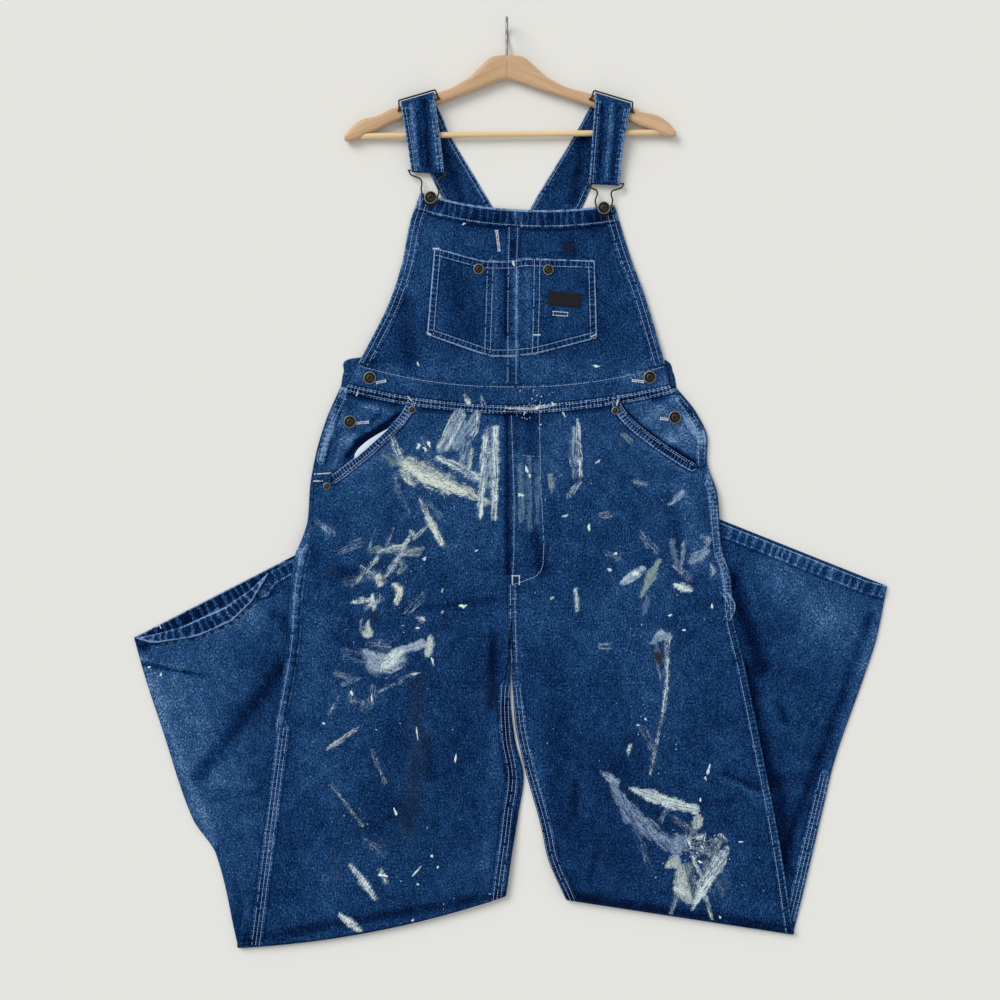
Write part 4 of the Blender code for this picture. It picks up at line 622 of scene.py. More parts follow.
# Brush strokes.  Columns: colour, film of paint, thick paint on it (both from 0, bare, to 1, closed),
# share of the half width over which the edge fades, points as x, y, width
STROKES = (
    ("blue", 0.60, 0.30, 0.4, ((-70, 93, 20), (-80, 72, 19), (-93, 47, 15))),
    ("white", 0.70, 0.62, 0.8, ((-77, 91, 7), (-98, 49, 7))),
    ("white", 0.70, 0.62, 0.8, ((-64, 92, 7), (-86, 47, 7))),
    ("blue", 0.58, 0.16, 0.5, ((-45, 95, 10), (-56, 76, 23), (-74, 53, 17))),
    ("white", 0.60, 0.55, 0.8, ((-44, 94, 8), (-47, 72, 8), (-55, 57, 4))),
    ("blue", 0.46, 0.10, 0.6, ((-59, 51, 20), (-64, 24, 17))),
    ("cream", 0.90, 0.60, 0.3, ((-52, 47, 3.5), (-54, 30, 4), (-55, 23, 7))),
    ("blue", 0.52, 0.35, 0.5, ((-26, 70, 20), (-27, 40, 30), (-29, 6, 28))),
    ("white", 0.70, 0.66, 0.7, ((-34, 62, 11), (-38, 10, 11), (-41, -44, 10))),
    ("white", 0.74, 0.72, 0.7, ((-20, 75, 10), (-21, 10, 12), (-22, -46, 9))),
    ("white", 0.60, 0.50, 0.7, ((-28, 41, 4), (-27, 15, 4))),
    ("white", 0.42, 0.50, 0.9, ((-160, 62, 12), (-153, 44, 16), (-145, 31, 28), (-128, 20, 34))),
    ("cream", 0.70, 0.40, 0.9, ((-150, 36, 12), (-145, 30, 20), (-126, 20, 34), (-104, 8, 42),
                                (-82, -2, 34), (-60, -10, 22), (-32, -25, 11))),
    ("cream", 0.84, 0.90, 0.9, ((-144, 27, 12), (-126, 15, 23), (-104, 4, 32), (-84, -4, 26),
                                (-62, -12, 14))),
    ("cream", 0.50, 0.60, 0.9, ((-136, 36, 8), (-110, 22, 12), (-86, 7, 11))),
    ("white", 0.66, 0.66, 0.7, ((-99, 35, 8), (-80, 28, 12), (-43, 9, 9))),
    ("white", 0.40, 0.45, 0.8, ((-78, 20, 7), (-40, 2, 7))),
    ("green", 0.40, 0.20, 0.8, ((-171, 40, 12), (-158, 29, 18))),
    ("cream", 0.66, 0.76, 0.7, ((-147, 18, 10), (-139, 6, 11), (-129, -2, 5))),
    ("cream", 0.46, 0.50, 0.8, ((-122, -21, 5), (-115, -36, 11), (-104, -58, 14), (-92, -82, 8))),
    ("cream", 0.80, 0.84, 0.7, ((-112, -46, 8), (-104, -60, 11), (-93, -80, 8))),
    ("grey", 0.46, 0.30, 0.9, ((-111, -24, 6), (-96, -42, 13))),
    ("blue", 0.42, 0.20, 0.9, ((-156, 13, 5), (-152, -8, 7), (-137, -38, 3))),
    ("white", 0.36, 0.26, 0.9, ((-262, -50, 10), (-237, -68, 6))),
    ("green", 0.54, 0.40, 0.8, ((-188, -90, 9), (-160, -88, 22), (-130, -90, 15), (-118, -87, 4))),
    ("white", 0.60, 0.60, 0.8, ((-180, -92, 3), (-160, -86, 8), (-141, -83, 6))),
    ("white", 0.52, 0.46, 0.8, ((-140, -91, 3), (-118, -86, 4))),
    ("white", 0.52, 0.46, 0.8, ((-152, -97, 3), (-122, -95, 4))),
    ("blue", 0.42, 0.26, 0.8, ((-181, -61, 3), (-190, -89, 6))),
    ("blue", 0.42, 0.22, 0.8, ((-158, -59, 3), (-168, -86, 6))),
    ("white", 0.60, 0.58, 0.7, ((-136, -70, 5), (-150, -98, 8), (-160, -113, 12), (-169, -125, 4))),
    ("white", 0.50, 0.46, 0.8, ((-113, -57, 3), (-130, -73, 7))),
    ("white", 0.52, 0.50, 0.8, ((-134, -64, 6), (-128, -73, 4))),
    ("white", 0.50, 0.46, 0.8, ((-179, -99, 6), (-196, -119, 8), (-213, -138, 4))),
    ("blue", 0.42, 0.36, 0.9, ((-200, -112, 9), (-186, -122, 16), (-176, -128, 26))),
    ("cream", 0.80, 0.62, 0.4, ((-178, -127, 11), (-176, -134, 12))),
    ("green", 0.54, 0.30, 0.6, ((-147, -101, 6), (-144, -112, 9), (-152, -120, 5))),
    ("cream", 0.74, 0.80, 0.7, ((-158, -135, 6), (-149, -142, 13), (-150, -152, 12), (-154, -159, 9))),
    ("white", 0.56, 0.55, 0.8, ((-213, -160, 4), (-200, -157, 11), (-188, -156, 8))),
    ("white", 0.80, 0.80, 0.6, ((-186, -150, 4), (-185, -162, 10), (-184, -172, 2))),
    ("white", 0.50, 0.50, 0.8, ((-193, -164, 4), (-176, -158, 5))),
    ("blue", 0.26, 0.02, 1.0, ((-222, -230, 30), (-180, -234, 50))),
    ("blue", 0.80, 0.40, 0.9, ((-196, -226, 12), (-180, -240, 46), (-164, -242, 50), (-152, -236, 30))),
    ("white", 0.92, 0.86, 0.9, ((-174, -250, 6), (-164, -240, 28), (-156, -231, 28), (-148, -225, 14))),
    ("blue", 0.38, 0.06, 0.9, ((-190, -214, 8), (-165, -217, 22))),
    ("pale", 0.95, 0.40, 0.2, ((-156, -227, 10), (-120, -216, 11))),
    ("cream", 0.95, 0.55, 0.5, ((-108, -208, 7), (-109, -220, 15), (-112, -228, 10))),
    ("cream", 0.92, 0.50, 0.3, ((-192, -184, 3), (-192, -195, 8), (-193, -200, 15))),
    ("blue", 0.46, 0.20, 0.6, ((-200, -184, 6), (-201, -194, 8))),
    ("blue", 0.80, 0.40, 0.4, ((-130, -178, 2), (-118, -183, 7))),
    ("blue", 0.40, 0.30, 0.9, ((-226, -270, 7), (-205, -262, 6))),
    ("blue", 0.46, 0.36, 0.7, ((-180, -281, 3), (-157, -270, 4))),
    ("blue", 0.40, 0.24, 0.8, ((-214, -278, 8), (-215, -292, 9))),
    ("blue", 0.36, 0.24, 0.9, ((-185, -274, 14), (-188, -296, 18))),
    ("blue", 0.36, 0.30, 0.9, ((-232, -286, 6), (-243, -308, 10))),
    ("cream", 0.52, 0.50, 0.8, ((-248, -358, 4), (-228, -344, 9), (-205, -329, 3))),
    ("white", 0.38, 0.30, 0.9, ((-187, -360, 5), (-169, -402, 5))),
    ("white", 0.34, 0.26, 0.9, ((-242, -405, 5), (-200, -460, 5))),
    ("white", 0.80, 0.78, 0.6, ((-216, -514, 4), (-200, -536, 11), (-182, -559, 6))),
    ("white", 0.50, 0.46, 0.8, ((-176, -520, 7), (-168, -536, 9))),
    ("white", 0.85, 0.78, 0.6, ((-231, -581, 5), (-217, -592, 12), (-203, -603, 7))),
    ("white", 0.60, 0.62, 0.8, ((91, 86, 5), (92, 50, 9), (94, 12, 8))),
    ("blue", 0.44, 0.36, 0.9, ((84, 76, 8), (84, 40, 15), (86, 10, 9))),
    ("green", 0.70, 0.30, 0.4, ((53, 12, 6), (55, 0, 7), (56, -11, 4))),
    ("white", 0.42, 0.40, 0.8, ((79, -15, 11), (94, 3, 6))),
    ("blue", 0.42, 0.26, 0.8, ((165, 4, 5), (182, -1, 9))),
    ("grey", 0.62, 0.05, 0.7, ((13, 24, 9), (15, -12, 10), (14, -50, 7))),
    ("grey", 0.58, 0.05, 0.7, ((25, 34, 7), (25, -10, 8), (26, -60, 6))),
    ("grey", 0.50, 0.05, 0.7, ((35, 28, 7), (37, -10, 9), (37, -52, 6))),
    ("grey", 0.64, 0.20, 0.4, ((217, -78, 8), (223, -103, 8))),
    ("blue", 0.54, 0.25, 0.6, ((234, -80, 6), (230, -113, 5))),
    ("blue", 0.90, 0.62, 0.4, ((150, -134, 5), (162, -126, 16), (178, -115, 7))),
    ("green", 0.85, 0.25, 0.3, ((200, -103, 6), (189, -124, 14), (176, -151, 4))),
    ("white", 0.80, 0.70, 0.5, ((88, -143, 6), (90, -171, 4))),
    ("grey", 0.55, 0.30, 0.6, ((184, -153, 8), (180, -173, 5))),
    ("blue", 0.70, 0.30, 0.3, ((191, -214, 6), (203, -203, 13), (214, -206, 10))),
    ("white", 0.55, 0.50, 0.7, ((211, -211, 9), (211, -263, 6), (206, -304, 6))),
    ("white", 0.46, 0.46, 0.8, ((206, -304, 6), (200, -335, 4), (195, -358, 6), (188, -391, 3))),
    ("white", 0.46, 0.40, 0.8, ((161, -353, 7), (158, -365, 5))),
    ("blue", 0.72, 0.36, 0.3, ((122, -388, 2), (131, -394, 10), (142, -402, 8))),
    ("lavender", 0.54, 0.16, 0.4, ((136, -403, 8), (148, -424, 17), (163, -446, 28), (187, -466, 27),
                                   (210, -484, 21), (226, -496, 14))),
    ("blue", 0.70, 0.60, 0.5, ((173, -447, 2.5), (208, -483, 2.5))),
    ("lavender", 0.22, 0.08, 1.0, ((168, -462, 16), (178, -492, 22), (190, -526, 14))),
    ("white", 0.84, 0.62, 0.3, ((160, -409, 2), (174, -415, 10), (189, -420, 16), (210, -428, 16),
                                (230, -434, 14), (249, -438, 12))),
    ("blue", 0.46, 0.30, 0.6, ((211, -438, 7), (203, -453, 7))),
    ("cream", 0.74, 0.24, 0.3, ((252, -453, 14), (252, -459, 17))),
    ("green", 0.56, 0.35, 0.5, ((240, -464, 4), (242, -476, 4))),
    ("green", 0.56, 0.35, 0.5, ((249, -466, 3), (251, -476, 3))),
    ("cream", 0.60, 0.66, 0.6, ((242, -479, 4), (256, -476, 7))),
    ("white", 0.34, 0.30, 1.0, ((222, -482, 26), (244, -487, 42), (264, -488, 36), (286, -478, 14))),
    ("white", 0.40, 0.62, 0.9, ((236, -474, 4), (244, -492, 9), (252, -502, 4))),
    ("white", 0.40, 0.62, 0.9, ((262, -470, 4), (258, -486, 10), (268, -500, 5))),
    ("white", 0.40, 0.56, 0.9, ((272, -478, 5), (284, -474, 8), (292, -482, 4))),
    ("lavender", 0.70, 0.30, 0.3, ((224, -472, 5), (229, -484, 18))),
    ("cream", 0.76, 0.38, 0.5, ((210, -517, 4), (221, -508, 17), (230, -520, 14), (229, -534, 18),
                                (233, -549, 30), (240, -561, 12))),
    ("cream", 0.90, 0.70, 0.8, ((226, -546, 14), (236, -552, 16))),
    ("green", 0.50, 0.36, 0.8, ((240, -516, 16), (246, -540, 22), (242, -556, 18))),
    ("white", 0.62, 0.50, 0.3, ((292, -492, 8), (284, -505, 19), (271, -525, 21), (259, -543, 16),
                                (244, -576, 2))),
    ("white", 0.84, 0.88, 0.6, ((272, -530, 6), (260, -547, 13), (248, -569, 5))),
    ("green", 0.50, 0.36, 0.7, ((284, -478, 10), (272, -500, 16), (262, -522, 12))),
    ("white", 0.60, 0.56, 0.6, ((245, -502, 5), (259, -535, 5))),
    ("white", 0.60, 0.46, 0.6, ((263, -557, 6), (272, -588, 3))),
    ("blue", 0.48, 0.30, 0.7, ((222, -560, 10), (216, -581, 6))),
    ("grey", 0.32, 0.34, 1.0, ((270, -514, 50), (282, -550, 44))),
    ("white", 0.80, 0.62, 0.6, ((-7, 102, 3), (26, 101, 4), (61, 107, 3))),
    ("white", 0.66, 0.66, 0.7, ((-62, 121, 4), (-57, 110, 8))),
    ("white", 0.56, 0.60, 0.7, ((-40, 118, 4), (-36, 108, 5))),
    ("blue", 0.50, 0.25, 0.5, ((258, -70, 5), (266, -75, 10), (264, -84, 6))),
    ("blue", 0.56, 0.25, 0.5, ((244, -104, 10), (256, -97, 20), (264, -92, 14))),
    ("blue", 0.50, 0.25, 0.5, ((270, -110, 6), (274, -118, 9), (270, -126, 4))),
    ("blue", 0.60, 0.35, 0.5, ((214, -28, 4), (224, -19, 10), (232, -12, 7))),
    ("blue", 0.52, 0.40, 0.7, ((122, -42, 9), (134, -42, 12))),
    ("white", 0.85, 0.85, 0.6, ((222, -136, 8), (232, -139, 12), (242, -143, 7))),
    ("blue", 0.40, 0.25, 0.7, ((121, -219, 9), (131, -219, 11))),
    ("brown", 0.80, 0.40, 0.6, ((197, -229, 9), (200, -236, 11))),
    ("green", 0.40, 0.20, 0.8, ((152, 66, 8), (162, 58, 10))),
    ("blue", 0.30, 0.0, 0.9, ((-232, -92, 14), (-205, -80, 20))),
    ("blue", 0.28, 0.0, 0.9, ((-222, -132, 18), (-180, -120, 26))),
    ("pale", 0.34, 0.0, 0.9, ((-196, -168, 12), (-176, -154, 16))),
    ("blue", 0.28, 0.0, 0.9, ((-140, -172, 16), (-118, -152, 22))),
    ("blue", 0.30, 0.0, 0.9, ((-236, -256, 12), (-214, -262, 20))),
    ("pale", 0.32, 0.0, 0.9, ((-150, -266, 10), (-132, -258, 16))),
    ("blue", 0.26, 0.0, 0.9, ((-214, -290, 16), (-196, -300, 22))),
    ("blue", 0.28, 0.0, 0.9, ((176, -66, 14), (194, -90, 20))),
    ("pale", 0.30, 0.0, 0.9, ((222, -110, 14), (240, -126, 18))),
    ("blue", 0.28, 0.0, 0.9, ((128, -92, 10), (146, -100, 16))),
    ("blue", 0.26, 0.0, 0.9, ((196, -214, 8), (202, -262, 14))),
    ("blue", 0.28, 0.0, 0.9, ((178, -330, 14), (190, -352, 20))),
    ("pale", 0.30, 0.0, 0.9, ((222, -452, 14), (246, -468, 22))),
    ("blue", 0.26, 0.0, 0.9, ((268, -520, 18), (290, -540, 24))),
    ("blue", 0.26, 0.0, 0.9, ((-196, -480, 14), (-170, -500, 20))),
    ("blue", 0.24, 0.0, 0.9, ((-120, 60, 18), (-108, 24, 26))),
)

# Marks with a body of paint.  Columns: colour, x, y, size along, size across, turn in degrees, raggedness
MARKS = (
    ("white", -105, -239, 5, 11, 20, 0.35), ("cream", -125, -194, 6, 5, 0, 0.3),
    ("white", -118, -182, 6, 5, 0, 0.3), ("green", -92, -144, 7, 4, 60, 0.3),
    ("green", -92, -173, 5, 5, 0, 0.3), ("white", -64, -165, 12, 7, 20, 0.45),
    ("white", -129, -256, 11, 4, 10, 0.2), ("white", -187, -289, 3, 12, 0, 0.2),
    ("white", -214, -282, 4, 11, 20, 0.2), ("white", -252, -323, 5, 4, 0, 0.3),
    ("white", -126, -336, 3, 18, 8, 0.3), ("white", -74, -370, 3, 18, -10, 0.3),
    ("white", -155, -443, 4, 13, 10, 0.4), ("white", -171, -528, 10, 8, 0, 0.6),
    ("white", -127, -523, 3, 24, -40, 0.2), ("white", -106, -502, 6, 4, 40, 0.3),
    ("white", -98, -517, 4, 4, 0, 0.3), ("white", -125, -540, 4, 4, 0, 0.3),
    ("white", -132, -589, 5, 4, 0, 0.3), ("white", -124, 51, 7, 9, 0, 0.4),
    ("white", -115, 47, 6, 7, 30, 0.4), ("white", -110, 54, 6, 9, 40, 0.4),
    ("white", -125, 162, 4, 6, 20, 0.4), ("white", 116, 159, 12, 4, 0, 0.3),
    ("white", -63, 352, 6, 4, 0, 0.4), ("white", 4, 298, 4, 13, 5, 0.2), ("white", 22, 19, 6, 11, 20, 0.2),
    ("white", 26, 11, 4, 7, 20, 0.2), ("white", 14, -15, 10, 6, 30, 0.5), ("white", 36, 103, 8, 5, 0, 0.5),
    ("white", 57, 108, 6, 6, 0, 0.4), ("white", 72, 94, 4, 8, 20, 0.4), ("blue", 118, 30, 9, 5, 30, 0.3),
    ("blue", 74, -43, 11, 5, 30, 0.3), ("white", 106, -59, 6, 11, 0, 0.25),
    ("white", 142, -94, 8, 4, 0, 0.3), ("blue", 134, -116, 7, 7, 0, 0.2),
    ("white", 169, -121, 13, 9, 30, 0.25), ("green", 56, -154, 8, 5, -40, 0.5),
    ("white", 215, -177, 7, 4, 0, 0.3), ("white", 234, -197, 5, 4, 0, 0.3),
    ("white", 272, -165, 3, 12, 0, 0.3), ("white", 172, -325, 5, 4, 0, 0.3),
    ("white", 182, -317, 4, 4, 0, 0.3), ("white", 160, -358, 5, 4, 0, 0.3),
    ("white", 267, -386, 6, 14, -20, 0.4), ("white", 256, -510, 7, 5, 0, 0.4),
    ("black", -187, -174, 4, 11, 0, 0.4), ("white", -489, -248, 5, 4, 0, 0.3),
    ("white", -473, -258, 5, 5, 30, 0.3), ("white", 311, -483, 11, 2.5, 0, 0.3),
    ("white", 256, -426, 3, 8, -10, 0.2), ("white", 283, -585, 3, 6, 15, 0.2),
    ("white", 308, -597, 13, 4, 5, 0.3), ("white", 263, -397, 5, 5, 0, 0.4),
    ("white", -46, -90, 6, 2.5, 40, 0.2), ("white", -116, -101, 8, 4, 20, 0.5),
)

# Fine spatter.  Columns: colour, x, y, spread, count, size
SPATTER = (
    ("pale", -171, -234, 30, 34, 1.5), ("pale", -156, -143, 46, 48, 1.3), ("pale", -95, 5, 54, 80, 1.2),
    ("pale", 242, -508, 44, 80, 1.4), ("pale", 175, -143, 80, 22, 1.4), ("pale", 121, 5, 94, 18, 1.3),
    ("pale", -122, -535, 66, 14, 1.5), ("pale", -223, -454, 54, 8, 1.4), ("pale", 256, -103, 54, 12, 1.4),
    ("pale", 67, -103, 66, 12, 1.3), ("pale", 202, -346, 54, 14, 1.4), ("pale", -156, -292, 80, 12, 1.4),
    ("white", 26, 108, 30, 40, 1.8), ("pale", -82, -103, 80, 16, 1.3), ("pale", 121, -292, 100, 12, 1.3),
    ("pale", 310, -535, 40, 10, 1.3), ("pale", -244, -184, 40, 8, 1.3), ("pale", 13, 5, 40, 12, 1.3),
)


# ---------------------------------------------------------------- the garment's form

def smoothstep(value):
    value = min(1.0, max(0.0, value))
    return value * value * (3.0 - 2.0 * value)


def lerp(start, end, share):
    return start + (end - start) * share


def curve(share, start, end, start_slope, end_slope):
    """A smooth curve from start to end with given slopes at both."""
    rise = end - start
    cubic = start_slope + end_slope - 2.0 * rise
    square = 3.0 * rise - 2.0 * start_slope - end_slope
    return ((cubic * share + square) * share + start_slope) * share + start


def blend_rows(table, place):
    """The table's row at a fractional place, on a smooth curve through its rows."""
    last = len(table) - 1
    index = min(int(place), last - 1)
    share = place - index
    before, after = table[max(index - 1, 0)], table[min(index + 2, last)]
    first, second = table[index:index + 2]
    rows = zip(before, first, second, after)
    return [curve(share, b, c, (c - a) / 2.0, (d - b) / 2.0) for a, b, c, d in rows]


def read_line(points, value):
    """Straight-line reading of (value, result) rows, level beyond their ends."""
    points = sorted(points)
    value = min(max(value, points[0][0]), points[-1][0])
    for (low, first), (high, second) in zip(points, points[1:]):
        if value <= high:
            return lerp(first, second, (value - low) / (high - low))
    return points[-1][1]


def tangent(slopes, index):
    """Slope of a smooth edge at one of its points, chosen so that the edge never overshoots."""
    before = slopes[max(index - 1, 0)]
    after = slopes[min(index, len(slopes) - 1)]
    return 0.0 if before * after <= 0.0 else 2.0 * before * after / (before + after)


def read_edge(points, height):
    """x of the smooth edge through (x, y) points at a height, level beyond its ends."""
    points = sorted(points, key=lambda point: point[1])
    height = min(max(height, points[0][1]), points[-1][1])
    slopes = [(b[0] - a[0]) / (b[1] - a[1]) for a, b in zip(points, points[1:])]
    index = 0
    while index < len(slopes) - 1 and height > points[index + 1][1]:
        index += 1
    (start, low), (end, high) = points[index:index + 2]
    length = high - low
    return curve((height - low) / length, start, end, tangent(slopes, index) * length,
                 tangent(slopes, index + 1) * length)


class Leg:
    """One leg: its sections down the thigh, round the knee crease and up the shin."""

    def __init__(self, shape):
        self.shape = shape
        self.side = shape["side"]
        self.waist = shape["thigh_outer"][0][1]
        self.knee = shape["thigh_outer"][-1][1]
        self.hem_out = Vector(shape["shin_outer"][-1])
        self.hem_in = Vector(shape["hem_inner"])
        self.knee_in = Vector(shape["thigh_inner"][-1])
        self.knee_values = self.thigh_values(self.knee)

    def beyond(self, point, start, end):
        """Signed distance of a point outside the line from start to end."""
        line = (end - start).normalized()
        offset = point - start
        return (line.x * offset.y - line.y * offset.x) * -self.side

    def base_height(self, point):
        """Height of the thigh's underside: on the shin, or down on the floor beside it."""
        beyond_hem = self.beyond(point, self.hem_out, self.hem_in)
        beyond_side = self.beyond(point, self.hem_in, self.knee_in)
        over_hem = smoothstep(1.0 - (beyond_hem - DESCENT_START) / DESCENT_LENGTH)
        over_side = smoothstep(1.0 - (beyond_side - DESCENT_START) / DESCENT_LENGTH)
        return THIGH_BASE * over_hem * over_side

    def thigh_values(self, height):
        """The sizes of the thigh's section whose outer end is at a height."""
        shape = self.shape
        dip = max(0.0, (height - HIP) / (self.waist - HIP))
        sagging = max(0.0, (height - WAIST_SAG_START) / (self.waist - WAIST_SAG_START))
        bend = max(0.0, (BEND_START - height) / (BEND_START - self.knee))
        inner = height - SECTION_DROP - shape["waist_drop"] * dip ** 2 + shape["knee_rise"] * bend ** 2
        thick = min(1.0, max(0.0, (height - DEPTH_START) / DEPTH_REACH))
        return {
            "outer": (read_edge(shape["thigh_outer"], height), height),
            "inner": (read_edge(shape["thigh_inner"], inner), inner),
            "depth": lerp(KNEE_DEPTH, HIP_DEPTH, thick ** 2),
            "puff": read_line(THIGH_PUFF, height),
            "outseam": read_line(shape["outseam"], height),
            "inseam": read_line(shape["inseam"], height),
            "close": smoothstep((CROTCH_TOP - height) / CROTCH_LENGTH),
            "sag": shape["waist_sag"] * sagging + shape["knee_sag"] * bend,
        }

    def thigh_section(self, height):
        section = Section(self, self.thigh_values(height), "thigh")
        foot = self.shape["mouth_foot"]
        section.calm = smoothstep((height - self.knee - CALM_START) / CALM_REACH)
        if height > foot - MOUTH_FADE:
            fade = smoothstep((height - foot + MOUTH_FADE) / MOUTH_FADE)
            section.mouth = lerp(section.mouth, self.mouth_distance(section), fade)
        return section

    def bend_section(self, angle):
        return Section(self, self.knee_values, "bend", angle)

    def shin_section(self, share):
        """The shin's section at a share of the way from the knee crease to the hem."""
        knee = self.knee_values
        height = lerp(self.knee, self.hem_out.y, share)
        keep = smoothstep(1.0 - share / KNEE_KEEP)
        inner = self.knee_in.lerp(self.hem_in, share)
        flattening = 1.0 - HEM_FLATTENING * smoothstep((share - 0.8) / 0.2)
        values = {
            "outer": (read_edge(self.shape["shin_outer"], height), height),
            "inner": (inner.x, inner.y),
            "depth": SHIN_DEPTH,
            "puff": SHIN_PUFF * smoothstep(share / SHIN_PUFF_REACH) * flattening,
            "outseam": lerp(self.shape["shin_outseam"], knee["outseam"], keep),
            "inseam": lerp(SHIN_INSEAM, knee["inseam"], keep),
            "close": 1.0,
            "sag": self.shape["knee_sag"] * keep,
        }
        section = Section(self, values, "shin")
        section.hem_share = share
        section.calm = smoothstep(share * 14.0 - 0.3)
        return section

    def mouth_distance(self, section):
        """Where the pocket mouth crosses the section, as a distance from the silhouette."""
        start, bend, end = (Vector(point) for point in self.shape["mouth"])
        low, high = 0.0, 1.0
        for _ in range(20):
            share = (low + high) / 2.0
            point = start.lerp(bend, share).lerp(bend.lerp(end, share), share)
            if (point - section.outer).dot(section.down) < 0.0:
                low = share
            else:
                high = share
        return (point - section.outer).dot(section.across)

    def thigh_edge(self, height):
        """The thigh's outer silhouette at a height, as a distance from the centre."""
        return abs(read_edge(self.shape["thigh_outer"], height))


class Section:
    """A straight cut across the leg.  Its points are (x, y, z, weight, room, show): weight is how far a
    fold lifts the point, room is how deep a trough may go there, and show is 1 where the layer faces up."""

    def __init__(self, leg, values, kind, angle=0.0):
        self.leg = leg
        self.kind = kind
        self.angle = angle
        self.values = values
        self.mouth = values["outseam"]
        self.hem_share = 0.0
        self.calm = 0.0
        outer = Vector(values["outer"])
        line = Vector(values["inner"]) - outer
        self.width = line.length
        self.across = line / self.width
        down = Vector((self.across.y, -self.across.x))
        self.down = down if down.y < 0 else -down
        self.outer = outer
        self.depth = values["depth"]
        self.radius = self.depth / 2.0
        self.edge = WALL / 2.0 + self.radius
        self.close = values["close"]
        self.inner_arc = math.pi * self.radius
        full_wrap = self.inner_arc + max(values["inseam"] - self.edge, 0.0)
        self.wrap = self.close * full_wrap
        self.inner_edge = self.edge * min(1.0, self.wrap / (self.inner_arc / 2.0))

    def plan(self, distance):
        share = distance / self.width
        sag = self.values["sag"] * 4.0 * share * (1.0 - share)
        return self.outer + self.across * distance + self.down * sag

    def puff(self, distance):
        outer = 1.0 - math.exp(-(distance / SOFT_EDGE) ** 2)
        inner = 1.0 - math.exp(-((self.width - distance) / SOFT_EDGE) ** 2)
        inner = lerp(1.0, inner, self.close)
        return self.values["puff"] * outer * inner

    def place(self, distance, height):
        """A point of the mid surface.  height runs from the back layer, 0, to the front layer, depth."""
        flat = self.plan(distance)
        upper = height / self.depth
        if self.kind == "thigh":
            lift = self.puff(distance) * upper
            z = self.leg.base_height(flat) + WALL / 2.0 + height + lift
            room = self.depth - SHELL - ROOM_CLEAR + ROOM_LIFT * lift
            return (flat.x, flat.y, z, upper * self.calm, room, upper)
        if self.kind == "bend":
            reach = BEND_RADIUS + height
            flat = flat - self.down * CREASE_INSET + self.down * (reach * math.sin(self.angle))
            return (flat.x, flat.y, CREASE_Z + reach * math.cos(self.angle), 0.0, 0.0, 0.0)
        clear = abs(flat.x) - self.leg.thigh_edge(flat.y) - SHIN_CLEAR
        free = smoothstep(clear / SHIN_RISE)
        lift = self.puff(distance) * free * (1.0 - upper)
        flat = flat - self.down * (CREASE_INSET * (1.0 - min(1.0, self.hem_share * 6.0)))
        weight = (1.0 - upper) * self.calm * smoothstep((clear + SHIN_CLEAR) / 14.0)
        room = SHIN_DEPTH - SHELL - ROOM_CLEAR + ROOM_LIFT * lift
        return (flat.x, flat.y, CREASE_Z - BEND_RADIUS - height + lift, weight, room, 1.0 - upper)

    def ring_out(self, path):
        """Place on the outer side of the ring: positive on the front layer, then round to the back."""
        if path >= 0.0:
            return self.place(self.edge + path, self.depth)
        turn = -path / self.radius
        if turn <= math.pi:
            reach = self.radius * math.sin(turn)
            return self.place(self.edge - reach, self.radius * (1.0 + math.cos(turn)))
        return self.place(self.edge + (turn - math.pi) * self.radius, 0.0)

    def ring_in(self, path):
        """Place on the inner side of the ring: negative on the back layer, then round to the front."""
        start = self.width - self.inner_edge
        if path <= 0.0:
            return self.place(start + path, 0.0)
        turn = path / self.radius
        if turn <= math.pi:
            return self.place(start + self.radius * math.sin(turn), self.radius * (1.0 - math.cos(turn)))
        return self.place(start - (path - self.inner_arc), self.depth)

    def front_end(self):
        """Distance from the inner silhouette to the front panel's edge."""
        if self.wrap <= 0.0:
            return 0.0
        rising = min(1.0, self.wrap / (self.inner_arc / 2.0))
        return self.inner_edge + SEAM_GAP * rising + max(0.0, self.wrap - self.inner_arc)

    def front_row(self, columns):
        start = max(self.mouth, self.edge) + SEAM_GAP / 2.0
        end = self.width - self.front_end()
        return [self.place(lerp(start, end, k / columns), self.depth) for k in range(columns + 1)]

    def back_row(self, bottom):
        top = max(self.values["outseam"] - self.edge - SEAM_GAP / 2.0, 0.5)
        row = [self.ring_out(top), self.ring_out(top / 2.0)]
        row += [self.ring_out(-math.pi * self.radius * k / ARC_STEPS) for k in range(ARC_STEPS + 1)]
        reach = OPEN_REACH * (1.0 - self.close)
        end = self.width - self.inner_edge - reach
        row += [self.place(lerp(self.edge, end, k / bottom), 0.0) for k in range(1, bottom + 1)]
        stops = [self.inner_arc * k / ARC_STEPS for k in range(1, ARC_STEPS + 1)]
        tail = max(self.values["inseam"] - self.edge, 0.6)
        stops += [self.inner_arc + tail / 2.0, self.inner_arc + tail]
        count = len(stops)
        for k, stop in enumerate(stops, 1):
            row.append(self.ring_in(lerp(-reach * (count - k) / count, stop, self.close)))
        return row


def set_back_hem(leg, sections, rows):
    """Draws the end of the back panel back from the hem, by the leg's table of setbacks."""
    toward_knee = (Vector(leg.shape["shin_outer"][0]) - leg.hem_out).normalized()
    for section, row in zip(sections, rows):
        if section.kind != "shin":
            continue
        for j, (x, y, z, *rest) in enumerate(row):
            flat = Vector((x, y))
            share = max(0.0, min(1.0, (flat - section.outer).dot(section.across) / section.width))
            upper = max(0.0, min(1.0, (z - WALL / 2.0) / SHIN_DEPTH))
            setback = read_line(leg.shape["hem_fold"], share) * section.hem_share ** 3 * upper
            row[j] = (x + toward_knee.x * setback, y + toward_knee.y * setback, z, *rest)


def steps_between(start, end, step):
    count = max(1, math.ceil(abs(end - start) / step))
    return [lerp(start, end, k / count) for k in range(count + 1)]


